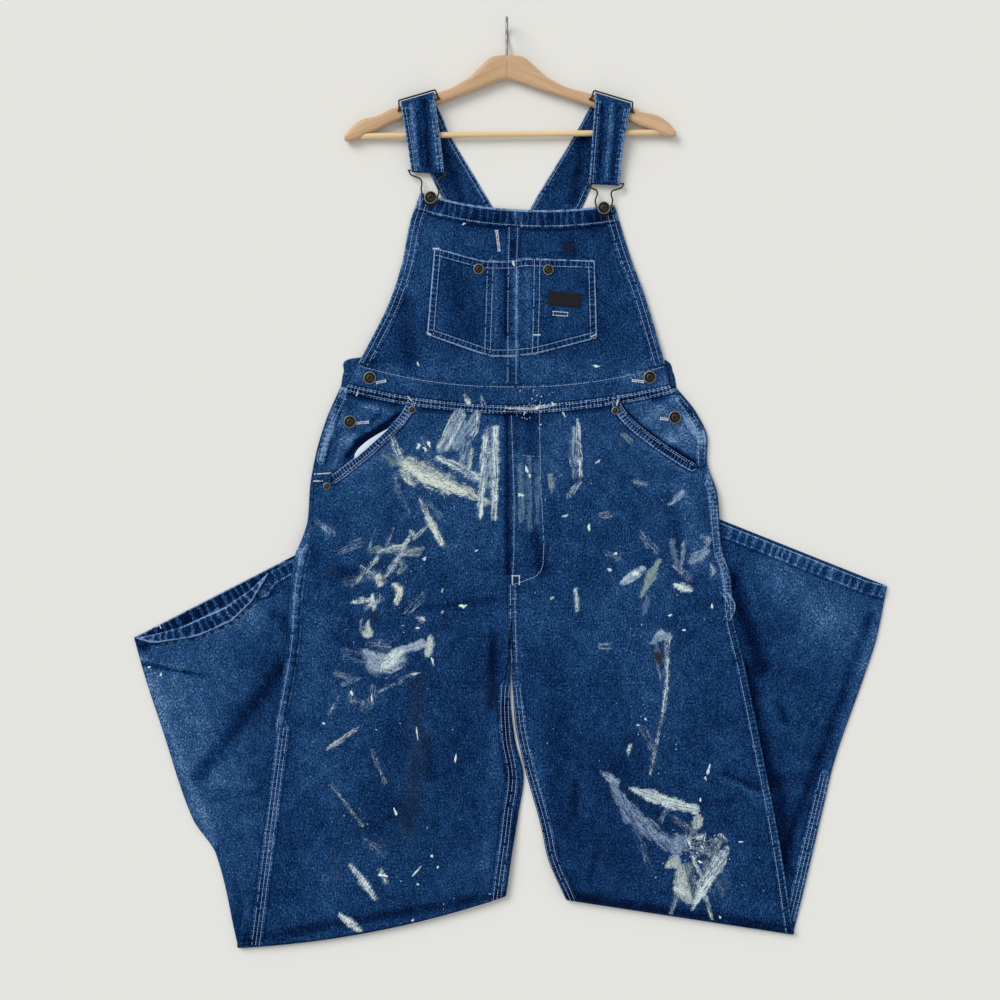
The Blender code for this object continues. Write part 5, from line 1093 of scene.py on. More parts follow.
def shares_of(count):
    """Even shares from 0 to 1."""
    return steps_between(0.0, 1.0, 1.0 / count)


def run_lengths(points):
    """Distance along a line of points to each of them."""
    return np.concatenate([[0.0], np.cumsum(np.linalg.norm(np.diff(points, axis=0), axis=1))])


def cloth_grid(downs, acrosses, point):
    """Rows of the points that point(down, across) gives."""
    return [[point(down, across) for across in acrosses] for down in downs]


def thigh_sections(leg, start, end, step):
    return [leg.thigh_section(height) for height in steps_between(start, end, step)]


def leg_grid(leg, front):
    """The fine grid of one panel of a leg, close where it shows and wide where it is hidden, and the
    number of its rows that lie on the thigh."""
    thigh_step, shin_step = (FINE, COARSE) if front else (MEDIUM, FINE)
    heights = steps_between(leg.waist, leg.knee, thigh_step)[:-1]
    sections = [leg.thigh_section(height) for height in heights]
    sections += [leg.bend_section(math.pi * k / BEND_STEPS) for k in range(BEND_STEPS + 1)]
    shin_length = (Vector(leg.shape["shin_outer"][0]) - leg.hem_out).length
    shares = steps_between(0.0, 1.0, shin_step / shin_length)[1:]
    sections += [leg.shin_section(share) for share in shares]
    columns = FRONT_COLUMNS if front else BACK_COLUMNS
    rows = [section.front_row(columns) if front else section.back_row(columns) for section in sections]
    if not front:
        set_back_hem(leg, sections, rows)
    return np.array(rows), len(heights)


def bib_edges(share):
    """Heights and edges of the bib at a share of the way from its top to the waistband."""
    right_y = lerp(BIB_EDGE_RIGHT[0][1], BIB_EDGE_RIGHT[-1][1], share)
    left_y = lerp(BIB_EDGE_LEFT[0][1], BIB_EDGE_LEFT[-1][1], share)
    return right_y, left_y, read_edge(BIB_EDGE_RIGHT, right_y), read_edge(BIB_EDGE_LEFT, left_y)


def bib_point(share, across):
    """Mid surface of the bib.  across runs from -1, the wearer's right edge, to 1, the left edge."""
    right_y, left_y, right_x, left_x = bib_edges(share)
    side_x = left_x if across > 0 else right_x
    side_y = left_y if across > 0 else right_y
    centre_y = lerp(BIB_CENTRE_TOP, BIB_CENTRE_BOTTOM, share)
    amount = abs(across)
    x = lerp(CENTRE_X, side_x, amount)
    sag = lerp(BIB_TOP_SAG, BIB_BOTTOM_SAG, share) * 4.0 * amount * (1.0 - amount)
    return (x, lerp(centre_y, side_y, amount) - sag) + bib_height(x, share, right_x, left_x)


def bib_height(x, share, right_x, left_x):
    depth = lerp(BIB_TOP_DEPTH, BIB_BOTTOM_DEPTH, smoothstep(share * 1.15))
    right = 1.0 - math.exp(-((x - right_x) / SOFT_EDGE) ** 2)
    left = 1.0 - math.exp(-((left_x - x) / SOFT_EDGE) ** 2)
    puff = BIB_PUFF * right * left * smoothstep(0.15 + share * 2.0)
    return (WALL / 2.0 + depth + puff, 1.0, depth - SHELL - 0.2 + 0.8 * puff)


def bib_surface(x, y):
    """The bib's mid surface above a point, found by walking down its rows."""
    low, high = 0.0, 1.0
    for _ in range(16):
        middle = (low + high) / 2.0
        right_x, left_x = bib_edges(middle)[2:]
        side = left_x - CENTRE_X if x > CENTRE_X else CENTRE_X - right_x
        amount = min(1.0, abs(x - CENTRE_X) / side)
        if bib_point(middle, amount if x > CENTRE_X else -amount)[1] > y:
            low = middle
        else:
            high = middle
    return (x, y) + bib_height(x, low, right_x, left_x)


# ---------------------------------------------------------------- relief, fading and seams

def strip_place(x, y, start, end, bow):
    """Share along a bowed strip from start to end, and distance to its side, for arrays of points."""
    line = np.array(end, float) - np.array(start, float)
    length = math.hypot(*line)
    share = ((x - start[0]) * line[0] + (y - start[1]) * line[1]) / length ** 2
    side = (line[0] * (y - start[1]) - line[1] * (x - start[0])) / length
    inside = np.clip(share, 0.0, 1.0)
    return share, side - bow * 4.0 * inside * (1.0 - inside), length


def soft(value):
    value = np.clip(value, 0.0, 1.0)
    return value * value * (3.0 - 2.0 * value)


def tapered(share):
    return soft(share / 0.25 + 0.15) * soft((1.0 - share) / 0.25 + 0.15) * (share > -0.04) * (share < 1.04)


def folds_at(x, y, layer):
    """Height of a layer's folds; each fold swells and thins along its length in its own way."""
    height = np.zeros_like(x)
    rows = [(where, row) for where, group in FOLDS.items() for row in group]
    for index, (where, (x0, y0, x1, y1, bow, half, amount)) in enumerate(rows):
        if where == layer:
            share, side = strip_place(x, y, (x0, y0), (x1, y1), bow)[:2]
            uneven = 1.0 + 0.3 * np.sin(7.0 * share + index)
            height += amount * uneven * np.exp(-(side / half) ** 2) * tapered(share)
    return height


def waves_at(x, y):
    """Broad, uneven waves of cloth that lies loosely."""
    total = np.zeros_like(x)
    for height, phase, (length, sway, swing), (length_y, sway_y, swing_y) in WAVES:
        along_x = np.sin(x / length + sway * np.sin(y / swing) + phase)
        total += height * along_x * np.sin(y / length_y + sway_y * np.sin(x / swing_y))
    return total


def strips_at(x, y, rows):
    """Sum of soft strips at an array of points."""
    total = np.zeros_like(x)
    for x0, y0, x1, y1, half, amount in rows:
        share, side, length = strip_place(x, y, (x0, y0), (x1, y1), 0.0)
        beyond = np.maximum(0.0, np.maximum(-share, share - 1.0)) * length
        total += amount * np.exp(-(side ** 2 + beyond ** 2) / (0.75 * half) ** 2)
    return total


def nearest_on(x, y, line):
    """Signed distance to a polyline, the distance along it of the nearest place, and the offset from the
    straight line through that place."""
    start = line[:-1]
    step = line[1:] - start
    lengths = np.hypot(step[:, 0], step[:, 1])
    passed = np.concatenate(([0.0], np.cumsum(lengths)))
    dx = x[:, None] - start[:, 0]
    dy = y[:, None] - start[:, 1]
    share = np.clip((dx * step[:, 0] + dy * step[:, 1]) / lengths ** 2, 0.0, 1.0)
    gap = np.hypot(dx - share * step[:, 0], dy - share * step[:, 1])
    best = np.argmin(gap, axis=1)
    pick = np.arange(len(x)), best
    offset = (step[best, 0] * dy[pick] - step[best, 1] * dx[pick]) / lengths[best]
    return gap[pick] * np.sign(offset), passed[best] + share[pick] * lengths[best], offset


class Seam:
    """A sewn line on a layer: its polyline, and the kind of seam it is."""

    def __init__(self, layer, kind, points):
        self.layer = layer
        self.rows, self.half, self.pitch, self.rise, self.pucker, self.wear_and_shade = SEAM_KINDS[kind]
        self.line = np.array([(point[0], point[1]) for point in points], float)
        self.low = self.line.min(axis=0) - 2.0 * self.half
        self.high = self.line.max(axis=0) + 2.0 * self.half


def seams_at(x, y, layer):
    """Phase of the puckers, place across the band, strength and height of the nearest seam."""
    phase = np.zeros_like(x)
    across = np.full_like(x, 9.0)
    strength = np.zeros_like(x)
    height = np.zeros_like(x)
    for seam in SEAMS:
        if seam.layer != layer:
            continue
        near = (x > seam.low[0]) & (x < seam.high[0]) & (y > seam.low[1]) & (y < seam.high[1])
        index = np.nonzero(near)[0]
        if not len(index):
            continue
        side, along, _ = nearest_on(x[index], y[index], seam.line)
        place = side / seam.half
        closer = np.abs(place) < np.abs(across[index])
        index, place, along = index[closer], place[closer], along[closer]
        turn = along / seam.pitch + 0.35 * np.sin(along / 23.0) + 0.22 * np.sin(along / 8.3 + 1.0)
        phase[index] = turn
        across[index] = place
        # strength scales the worn band and the painted shade beside it; a negative strength paints a shadow
        # line
        strength[index] = seam.wear_and_shade * soft((2.0 - np.abs(place)) / 0.6)
        band = soft((1.25 - np.abs(place)) / 0.5)
        shown = seam.pucker if seam.pitch >= PUCKER_PITCH else 0.3 * seam.pucker
        height[index] = band * (seam.rise + shown * np.cos(2.0 * math.pi * turn))
    return phase, np.clip(across, -2.0, 2.0), strength, height


def paint_at(x, y):
    """Film and thickness of the brushed paint, its colour, and the place along and across its strokes."""
    paint = np.zeros((len(x), 3))
    tint = np.ones((len(x), 4))
    brush = np.zeros((len(x), 3))
    for number, (colour, film, thick, fade, points) in enumerate(STROKES):
        points = np.array(points, float)
        widest = points[:, 2].max()
        low = points[:, :2].min(axis=0) - widest
        high = points[:, :2].max(axis=0) + widest
        index = np.nonzero((x > low[0]) & (x < high[0]) & (y > low[1]) & (y < high[1]))[0]
        if not len(index):
            continue
        side, along, offset = nearest_on(x[index], y[index], points[:, :2])
        passed = run_lengths(points[:, :2])
        wobble = 0.14 * np.sin(along / 5.0 + number)
        wobble += 0.10 * np.sin(along / 2.1 + 2.0 * number + np.sign(side))
        half = 0.5 * np.interp(along, passed, points[:, 2]) * (1.0 + wobble)
        inside = soft((half + 0.5 * STROKE_EDGE - np.abs(side)) / np.maximum(STROKE_EDGE, fade * half))
        before = paint[index]
        more = inside * (film + thick) > before[:, 0] + before[:, 1]
        tint[index[more], :3] = linear(PAINTS[colour])
        brush[index[more]] = np.stack([along, offset, np.full_like(side, 7.3 * number)], -1)[more]
        paint[index, 0] = np.maximum(before[:, 0], film * inside)
        paint[index, 1] = np.maximum(before[:, 1], thick * inside)
    return paint, tint, brush


def linear(colour):
    """sRGB, 0 to 255, to the linear values that shaders use."""
    shares = [part / 255.0 for part in colour]
    return [part / 12.92 if part <= 0.04045 else ((part + 0.055) / 1.055) ** 2.4 for part in shares]


# ---------------------------------------------------------------- meshes

def in_scene(name, data):
    """A new object of the scene, with its mesh, light or camera."""
    item = bpy.data.objects.new(name, data)
    bpy.context.scene.collection.objects.link(item)
    return item


def mesh_object(name, verts, faces, look, smooth=True):
    mesh = bpy.data.meshes.new(name)
    mesh.from_pydata(verts, [], faces)
    mesh.update()
    if smooth:
        mesh.shade_smooth()
    mesh.materials.append(look)
    return in_scene(name, mesh)


def outward(verts, faces):
    """The faces, all turned over if they enclose a negative volume."""
    corners = verts[faces[:, :3]]
    volume = np.einsum("ij,ij->i", corners[:, 0], np.cross(corners[:, 1], corners[:, 2])).sum()
    if faces.shape[1] == 4:
        rest = verts[faces[:, [0, 2, 3]]]
        volume += np.einsum("ij,ij->i", rest[:, 0], np.cross(rest[:, 1], rest[:, 2])).sum()
    return faces if volume > 0 else faces[:, ::-1]


def grid_normals(points):
    """Unit normals of a grid of points, from the differences between its neighbours."""
    across = np.gradient(points, axis=1)
    along = np.gradient(points, axis=0)
    normals = np.cross(across, along)
    return normals / np.maximum(np.linalg.norm(normals, axis=2, keepdims=True), 1e-9)


def shell_faces(rows, columns):
    index = np.arange(rows * columns).reshape(rows, columns)
    upper = np.stack([index[:-1, :-1], index[:-1, 1:], index[1:, 1:], index[1:, :-1]], -1).reshape(-1, 4)
    lower = upper[:, ::-1] + rows * columns
    ring = np.concatenate([index[0], index[1:, -1], index[-1, -2::-1], index[-2:0:-1, 0]])
    after = np.roll(ring, -1)
    rim = np.stack([ring, ring + rows * columns, after + rows * columns, after], -1)
    return np.concatenate([upper, lower, rim])


def cloth_places(mid):
    """Distances across and down the cloth, in millimetres, as it lay before it was sewn."""
    steps = np.linalg.norm(np.diff(mid, axis=1), axis=2)
    across = np.concatenate([np.zeros((len(mid), 1)), np.cumsum(steps, axis=1)], axis=1)
    middle = mid.shape[1] // 2
    down = -run_lengths(mid[:, middle])
    return across - across[:, middle:middle + 1], np.repeat(down[:, None], mid.shape[1], axis=1)


def cut_size(mid):
    """Width, length and area of the cut, in metres."""
    across = np.linalg.norm(np.diff(mid, axis=1), axis=2).sum(axis=1)
    down = np.linalg.norm(np.diff(mid, axis=0), axis=2).sum(axis=0)
    first = np.cross(mid[:-1, 1:] - mid[:-1, :-1], mid[1:, :-1] - mid[:-1, :-1])
    second = np.cross(mid[1:, :-1] - mid[1:, 1:], mid[:-1, 1:] - mid[1:, 1:])
    area = 0.5 * (np.linalg.norm(first, axis=2).sum() + np.linalg.norm(second, axis=2).sum())
    return across.max() * MM, down.max() * MM, area * MM * MM


def set_attribute(mesh, name, values):
    """Keeps a vector, or a colour of four parts, on every point of a mesh."""
    kind, field = ("FLOAT_VECTOR", "vector") if values.shape[-1] == 3 else ("FLOAT_COLOR", "color")
    attribute = mesh.attributes.new(name, kind, "POINT")
    attribute.data.foreach_set(field, np.ascontiguousarray(values, dtype=np.float32).ravel())


def edge_distance(across, down, edges):
    """Distance to the nearest of the named edges of a cloth."""
    gaps = {
        "first column": across - across[:, :1],
        "last column": across[:, -1:] - across,
        "first row": down[:1] - down,
        "last row": down - down[-1:],
    }
    nearest = np.full_like(across, EDGE_FAR)
    for edge in edges:
        nearest = np.minimum(nearest, np.abs(gaps[edge]))
    return nearest


def make_cloth(name, grid, look, rests_on, layer="front", spans=None, shell=PATCH_SHELL,
               slot="denim", lift=0.0, worn=()):
    """A closed shell on a grid of (x, y, z, weight, room, show), with the relief and paint of its layer.
    spans gives (layer, first row, row after the last) where the rows lie on more than one layer."""
    grid = np.array(grid, float)
    rows, columns = grid.shape[:2]
    spans = spans or ((layer, 0, rows),)
    mid = grid[:, :, :3].copy()
    mid[:, :, 2] += lift
    points = mid.copy()
    marks = {key: np.zeros((rows, columns, 3)) for key in ("cloth", "seam", "tone", "paint", "brush")}
    marks["tint"] = np.ones((rows, columns, 4))
    for layer, first, last in spans:
        part = slice(first, last)
        x = mid[part, :, 0].ravel()
        y = mid[part, :, 1].ravel()
        shape = (last - first, columns)
        show = np.ones(shape) if layer == "floor" else grid[part, :, 5]
        phase, across, strength, band = (value.reshape(shape) for value in seams_at(x, y, layer))
        relief = (folds_at(x, y, layer) + waves_at(x, y)).reshape(shape)
        relief = np.maximum(relief, -grid[part, :, 4]) + band
        points[part, :, 2] += relief * grid[part, :, 3]
        marks["seam"][part] = np.stack([phase, across, strength * show], -1)
        # The tone strips give fading and painted light and shade, the stains give grime
        for column, table in enumerate((TONES, STAINS)):
            marks["tone"][part, :, column] = strips_at(x, y, table.get(layer, ())).reshape(shape) * show
        if layer == "front" and slot == "denim":
            paint, tint, brush = paint_at(x, y)
            marks["paint"][part] = paint.reshape(shape + (3,)) * show[:, :, None]
            marks["tint"][part] = tint.reshape(shape + (4,))
            marks["brush"][part] = brush.reshape(shape + (3,))
    normals = grid_normals(points)
    verts = np.concatenate([points + normals * shell / 2.0, points - normals * shell / 2.0])
    verts = verts.reshape(-1, 3) * MM
    faces = outward(verts, shell_faces(rows, columns))
    item = mesh_object(name + "_cloth", verts, faces.tolist(), look)
    across, down = cloth_places(mid)
    marks["cloth"][:, :, :2] = np.stack([across, down], -1)
    marks["tone"][:, :, 2] = edge_distance(across, down, worn)
    for key, values in marks.items():
        set_attribute(item.data, key, np.concatenate([values, values]))
    declare(item, slot, *[node for node in (name,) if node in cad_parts])
    width, length, area = cut_size(mid)
    face_rows = (faces[:, 0] % (rows * columns)) // columns
    for layer, first, last in spans:
        LAYERS.setdefault(layer, []).append((verts / MM, faces[(face_rows >= first) & (face_rows < last)]))


def declare(item, slot, *nodes):
    """Every piece rides on the root and replaces its nodes; its slot is not used."""
    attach(item, "root")
    if nodes:
        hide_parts(*nodes)


def ring_faces(count, sides, closed=False):
    """Faces from ring to ring and, unless the rings run in a circle, fans to the two points after them."""
    faces = []
    for i in range(count if closed else count - 1):
        near, far = i * sides, (i + 1) % count * sides
        for k in range(sides):
            after = (k + 1) % sides
            faces.append((near + k, near + after, far + after, far + k))
    for k in range(0 if closed else sides):
        after = (k + 1) % sides
        faces.append((count * sides, after, k))
        faces.append((count * sides + 1, (count - 1) * sides + k, (count - 1) * sides + after))
    return faces


def loft_mesh(rings):
    """Vertices and faces of a solid through closed rings of equal length."""
    rings = np.array(rings, float)
    verts = list(rings.reshape(-1, 3)) + [rings[0].mean(axis=0), rings[-1].mean(axis=0)]
    return verts, ring_faces(*rings.shape[:2])


def turned_mesh(profile, centre, sides):
    turns = [2.0 * math.pi * k / sides for k in range(sides)]
    rings = []
    for radius, height, _ in profile:
        rings.append([(centre[0] + radius * math.cos(turn), centre[1] + radius * math.sin(turn),
                       centre[2] + height) for turn in turns])
    return loft_mesh(rings)


def smooth_route(points, step, closed):
    """Points at an even step on a smooth curve through the given ones."""
    table = [tuple(point) for point in points]
    start, end = 0, len(points) - 1
    if closed:
        table = table[-2:] + table + table[:3]
        start, end = 2, len(points) + 2
    places = np.linspace(start, end, (end - start) * 12 + 1)
    dense = np.array([blend_rows(table, min(place, len(table) - 1)) for place in places])
    lengths = run_lengths(dense)
    stops = np.linspace(0.0, lengths[-1], max(4, round(lengths[-1] / step)) + 1)
    route = np.stack([np.interp(stops, lengths, dense[:, k]) for k in range(3)], -1)
    return route[:-1] if closed else route


def tube_mesh(route, radius, sides, closed):
    """A wire round a route, with rings that don't twist."""
    around = np.roll(route, -1, axis=0) - np.roll(route, 1, axis=0)
    tangents = around if closed else np.gradient(route, axis=0)
    tangents = tangents / np.linalg.norm(tangents, axis=1, keepdims=True)
    normal = np.cross(tangents[0], ANY_WAY)
    verts = []
    for point, way in zip(route, tangents):
        normal = normal - way * np.dot(normal, way)
        normal = normal / np.linalg.norm(normal)
        other = np.cross(way, normal)
        for k in range(sides):
            turn = 2.0 * math.pi * k / sides
            verts.append(point + radius * (normal * math.cos(turn) + other * math.sin(turn)))
    if not closed:
        verts += [route[0] - tangents[0] * radius * TUBE_END, route[-1] + tangents[-1] * radius * TUBE_END]
    return verts, ring_faces(len(route), sides, closed)


def join_meshes(parts):
    verts, faces = [], []
    for part_verts, part_faces in parts:
        base = len(verts)
        verts += [tuple(vert) for vert in part_verts]
        faces += [tuple(base + index for index in face) for face in part_faces]
    return verts, faces


def hard_piece(name, mesh, look, slot, sharp):
    """A rigid piece in its node's place, from a closed mesh in millimetres."""
    verts, faces = mesh
    item = mesh_object(name + "_fine", np.array(verts) * MM, faces, look)
    item.data.set_sharp_from_angle(angle=math.radians(sharp))
    declare(item, slot, name)
    return item


def loose_piece(name, parts, look, slot):
    """One piece of many small closed meshes in millimetres."""
    verts, faces = join_meshes(parts)
    item = mesh_object(name, np.array(verts) * MM, faces, look)
    declare(item, slot)
    return item


# ---------------------------------------------------------------- the cloth pieces


def hem_line(leg, start, end, table, inset):
    """(x, y) points along the shin's hem between two shares of its width, drawn in by an inset."""
    section = leg.shin_section(1.0)
    toward_knee = (Vector(leg.shape["shin_outer"][0]) - leg.hem_out).normalized()
    points = []
    for k in range(25):
        share = lerp(start, end, k / 24)
        back = read_line(leg.shape[table], share) if table else 0.0
        points.append(section.plan(section.width * share) + toward_knee * (back + inset))
    return points


def flap_lines(leg):
    """The fold of the turned hem and its worn edge."""
    return [hem_line(leg, 0.01, 0.6, table, 0.0) for table in ("hem_fold", "hem_setback")]


def bib_side_line(side, inset):
    points = []
    for k in range(13):
        right_y, left_y, right_x, left_x = bib_edges(k / 12)
        points.append((right_x + inset, right_y) if side < 0 else (left_x - inset, left_y))
    return points


def bib_cross_line(share, drop):
    points = []
    for k in range(25):
        x, y = bib_point(share, lerp(-0.985, 0.985, k / 24))[:2]
        points.append((x, y - drop))
    return points


def pocket_point(across, share):
    top_x = lerp(POCKET_TOP[0][0], POCKET_TOP[-1][0], across)
    bottom_x = lerp(POCKET_BOTTOM[0][0], POCKET_BOTTOM[-1][0], across)
    y = lerp(read_line(POCKET_TOP, top_x), read_line(POCKET_BOTTOM, bottom_x), share)
    return lerp(top_x, bottom_x, share), y


def add_seam(layer, kind, points):
    SEAMS.append(Seam(layer, kind, points))


def add_leg_seams(leg):
    top = leg.waist
    waist = leg.thigh_section(top)
    add_seam("front", "waist", [waist.plan(waist.width * k / 24) for k in range(1, 25)])
    foot = leg.shape["mouth_foot"]
    # Columns: kind, highest and lowest section, step between sections, distance from the silhouette
    rows = [
        ("pocket_band", top - 1.0, foot + 1.0, 5.0, lambda s: s.mouth + BAND_WIDTH / 2.0),
        ("double", top - 14.0, top - 100.0, 12.0, lambda s: min(s.values["outseam"] + 3.0, s.mouth - 4.0)),
        ("felled", CROTCH_TOP - 110.0, leg.knee, 12.0, lambda s: s.width - s.values["inseam"] + 1.0),
    ]
    if leg.side < 0:
        rows += [
            ("rule_edge", RULE_POCKET_TOP, RULE_POCKET_BOTTOM, 12.0, lambda s: s.values["outseam"] - 4.0),
            ("felled", RULE_POCKET_BOTTOM, leg.knee + 2.0, 12.0, lambda s: s.values["outseam"] + 1.0),
        ]
    else:
        rows.append(("double", 0.0, leg.knee + 2.0, 12.0, lambda s: s.values["outseam"] + 3.0))
    for kind, start, end, step, pick in rows:
        sections = thigh_sections(leg, start, end, step)
        add_seam("front", kind, [section.plan(pick(section)) for section in sections])
    if leg.side < 0:
        add_seam("shin", "hem", hem_line(leg, 0.56, 0.98, "hem_setback", 8.0))
        add_seam("floor", "far_hem", hem_line(leg, 0.02, 0.66, None, 9.0))
        add_seam("flap", "rolled_hem", [(fold + edge) / 2.0 for fold, edge in zip(*flap_lines(leg))])
        add_seam("shin", "shadow", hem_line(leg, 0.01, 0.6, "hem_setback", 2.5))
    else:
        sections = [leg.shin_section(k / 20) for k in range(1, 10)]
        add_seam("shin", "felled", [section.plan(section.values["outseam"] + 5.0) for section in sections])
        add_seam("shin", "hem", hem_line(leg, 0.02, 0.98, "hem_setback", 8.0))


def add_body_seams():
    add_seam("front", "double", ((3, -138), (3, -170), (4, -208), (5, -240)))
    add_seam("front", "fly_edge", ((1, 98), (3.5, 20), (5, -20), (4.5, -95), (3, -123)))
    add_seam("front", "line", FLY_STITCH)
    add_seam("front", "line", ((18, 38), (39, 37)))
    add_seam("front", "single", bib_cross_line(1.0, 3.0))
    for side in (-1.0, 1.0):
        add_seam("front", "side_hem", bib_side_line(side, 10.0))
    add_seam("front", "bib_band", bib_cross_line(0.0, BIB_BAND_HEIGHT / 2.0))
    add_seam("front", "bib_centre", ((4, 346), (3, 306), (2, 240), (2, 170), (2, 136)))
    inset = 0.022
    down = steps_between(0.03, 0.965, 0.12)
    across_steps = steps_between(0.025, 0.975, 0.06)
    for across in (inset, 1.0 - inset):
        add_seam("front", "pocket_edge", [pocket_point(across, share) for share in down])
    add_seam("front", "pocket_hem", [pocket_point(across, 0.05) for across in across_steps])
    add_seam("front", "pocket_edge", [pocket_point(across, 0.955) for across in across_steps])
    add_seam("front", "divider", ((-27, 300), (-29, 240), (-31, 178)))
    add_seam("front", "divider", ((36, 300), (35, 240), (33, 178)))


def add_strap_seams():
    for back, _, front in STRAPS.values():
        for layer, table, end in (("strap_back", back, 1.2), ("strap_front", front, 1.02)):
            rows = [blend_rows(table, place) for place in steps_between(0.15, len(table) - end, 0.2)]
            for share in (0.09, 0.91):
                add_seam(layer, "strap_edge", [(lerp(x0, x1, share), lerp(y0, y1, share))
                                               for x0, y0, x1, y1, _ in rows])


def make_leg(leg, name, look):
    for part, other, layer in (("leg_front_", "leg_back_", "floor"), ("leg_back_", "leg_front_", "shin")):
        grid, thigh_rows = leg_grid(leg, part == "leg_front_")
        spans = (("front", 0, thigh_rows), (layer, thigh_rows, len(grid)))
        make_cloth(part + name, grid, look, [other + name], spans=spans, shell=SHELL)


def make_hem_flap(leg, look):
    """The near hem of the wearer's right leg, turned up on the shin with its worn edge towards the knee."""
    section = leg.shin_section(1.0)
    fold, worn = flap_lines(leg)
    last = len(fold) - 1
    grid = []
    for place in steps_between(0.0, last, FLAP_STEP):
        index = min(int(place), last - 1)
        start = fold[index].lerp(fold[index + 1], place - index)
        end = worn[index].lerp(worn[index + 1], place - index)
        ends = smoothstep(min(place, last - place) / FLAP_ENDS)
        row = []
        for share in shares_of(12):
            flat = start.lerp(end, share)
            distance = (flat - section.outer).dot(section.across)
            base = section.place(max(0.0, min(section.width, distance)), 0.0)[2]
            roll = ends * (FLAP_ROLL * math.sin(math.pi * share) + FLAP_RISE * share)
            row.append((flat.x, flat.y, base + FLAP_LIFT + roll, 1.0, 0.4, 1.0))
        grid.append(row)
    make_cloth("hem_flap", grid, look, ["leg_back_right"], "flap", worn=SIDES)


def facing_span(section):
    return section.values["outseam"] + SEAM_GAP / 2.0, section.mouth + FACING_UNDER


def facing_drop(share):
    return FACING_DROP * smoothstep(FACING_STEEPNESS * share)


def lowered(point, drop):
    return (point[0], point[1], point[2] - drop) + tuple(point[3:])


def make_facing(leg, name, look):
    sections = thigh_sections(leg, leg.waist, leg.shape["mouth_foot"] - MOUTH_FADE, PATCH_STEP)
    grid = cloth_grid(sections, shares_of(34), lambda section, share: lowered(
        section.place(lerp(*facing_span(section), share), section.depth), facing_drop(share)))
    make_cloth("hip_facing_" + name, grid, look, ["leg_back_" + name], slot="denim_inside")


def make_pocket_band(leg, name, look):
    sections = thigh_sections(leg, leg.waist, leg.shape["mouth_foot"], PATCH_STEP)
    grid = cloth_grid(sections, range(9), lambda section, k: section.place(
        section.mouth + SEAM_GAP / 2.0 + BAND_WIDTH * k / 8, section.depth))
    make_cloth("pocket_band_" + name, grid, look, ["leg_front_" + name], lift=PATCH_LIFT)


def make_lining(leg, look):
    def point(row, share):
        height, reach, section = row
        crumple = LINING_CRUMPLE * math.sin(height / 3.1 + 4.0 * share) * (1.0 - share)
        distance = lerp(section.mouth - reach, section.mouth + LINING_UNDER, share)
        drop = FACING_DROP - PATCH / 2.0 - LINING / 2.0 - LIFT - crumple
        return lowered(section.place(distance, section.depth), drop)

    rows = []
    for place in steps_between(0.0, len(LINING_ROWS) - 1.0, 0.18):
        height, reach = blend_rows(LINING_ROWS, place)
        rows.append((height, reach, leg.thigh_section(height)))
    make_cloth("pocket_lining", cloth_grid(rows, shares_of(12), point), look, ["hip_facing_right"],
               layer="plain", shell=LINING_SHELL, slot="pocket_cotton")


def make_rule_pocket(leg, look):
    """The narrow pocket that runs from the thigh's front round its outer fold."""
    grid = []
    for section in thigh_sections(leg, RULE_POCKET_TOP, RULE_POCKET_BOTTOM, FINE):
        end = section.values["outseam"] - section.edge - RULE_POCKET_INSET
        quarter = math.pi * section.radius / 2.0
        grid.append([section.ring_out(stop) for stop in steps_between(end, -quarter, 1.6)[:8]]
                    + [section.ring_out(-quarter * k / 4) for k in range(1, 5)])
    count = min(len(row) for row in grid)
    grid = np.array([row[:count - 4] + row[-4:] for row in grid])
    normals = grid_normals(grid[:, :, :3])
    grid[:, :, :3] += normals * np.sign(normals[:, :1, 2:3]) * PATCH_LIFT
    make_cloth("rule_pocket", grid, look, ["leg_back_right"])


def make_hammer_loop(leg, look):
    def point(share, inward):
        section = leg.thigh_section(lerp(HAMMER_LOOP_TOP, HAMMER_LOOP_BOTTOM, share))
        bulge = HAMMER_LOOP_BULGE * math.sin(math.pi * share)
        rise = PATCH_LIFT + HAMMER_LOOP_LIFT + HAMMER_LOOP_RISE * bulge
        return lowered(section.place(inward - bulge, section.depth), -rise)

    grid = cloth_grid(shares_of(20), steps_between(*HAMMER_LOOP_EDGES, 1.2), point)
    make_cloth("hammer_loop", grid, look, ["leg_front_left"], worn=SIDES)


def make_bib(look):
    for name, side in SIDE_WAYS.items():
        def point(share, across):
            x, *rest = bib_point(share, side * across)
            return (x + (side * VISIBLE_GAP if across == 0.0 else 0.0), *rest, 1.0)

        grid = cloth_grid(shares_of(92), steps_between(1.0, 0.0, 1.0 / 66), point)
        make_cloth("bib_" + name, grid, look, ["back_bib"], shell=SHELL, worn=SIDES[:1])


def make_bib_band(look):
    def point(drop, across):
        x, y, *rest = bib_point(0.0, across)
        if drop == 0.0:
            return (x, y, *rest, 1.0)
        return bib_surface(lerp(x, x * BIB_BAND_FLARE, drop / BIB_BAND_HEIGHT), y - drop) + (1.0,)

    grid = cloth_grid(steps_between(0.0, BIB_BAND_HEIGHT, 2.0), steps_between(-1.0, 1.0, 1.0 / 60), point)
    make_cloth("bib_top_band", grid, look, ["bib_right", "bib_left"], lift=PATCH_LIFT,
               worn=SIDES + ("first row",))


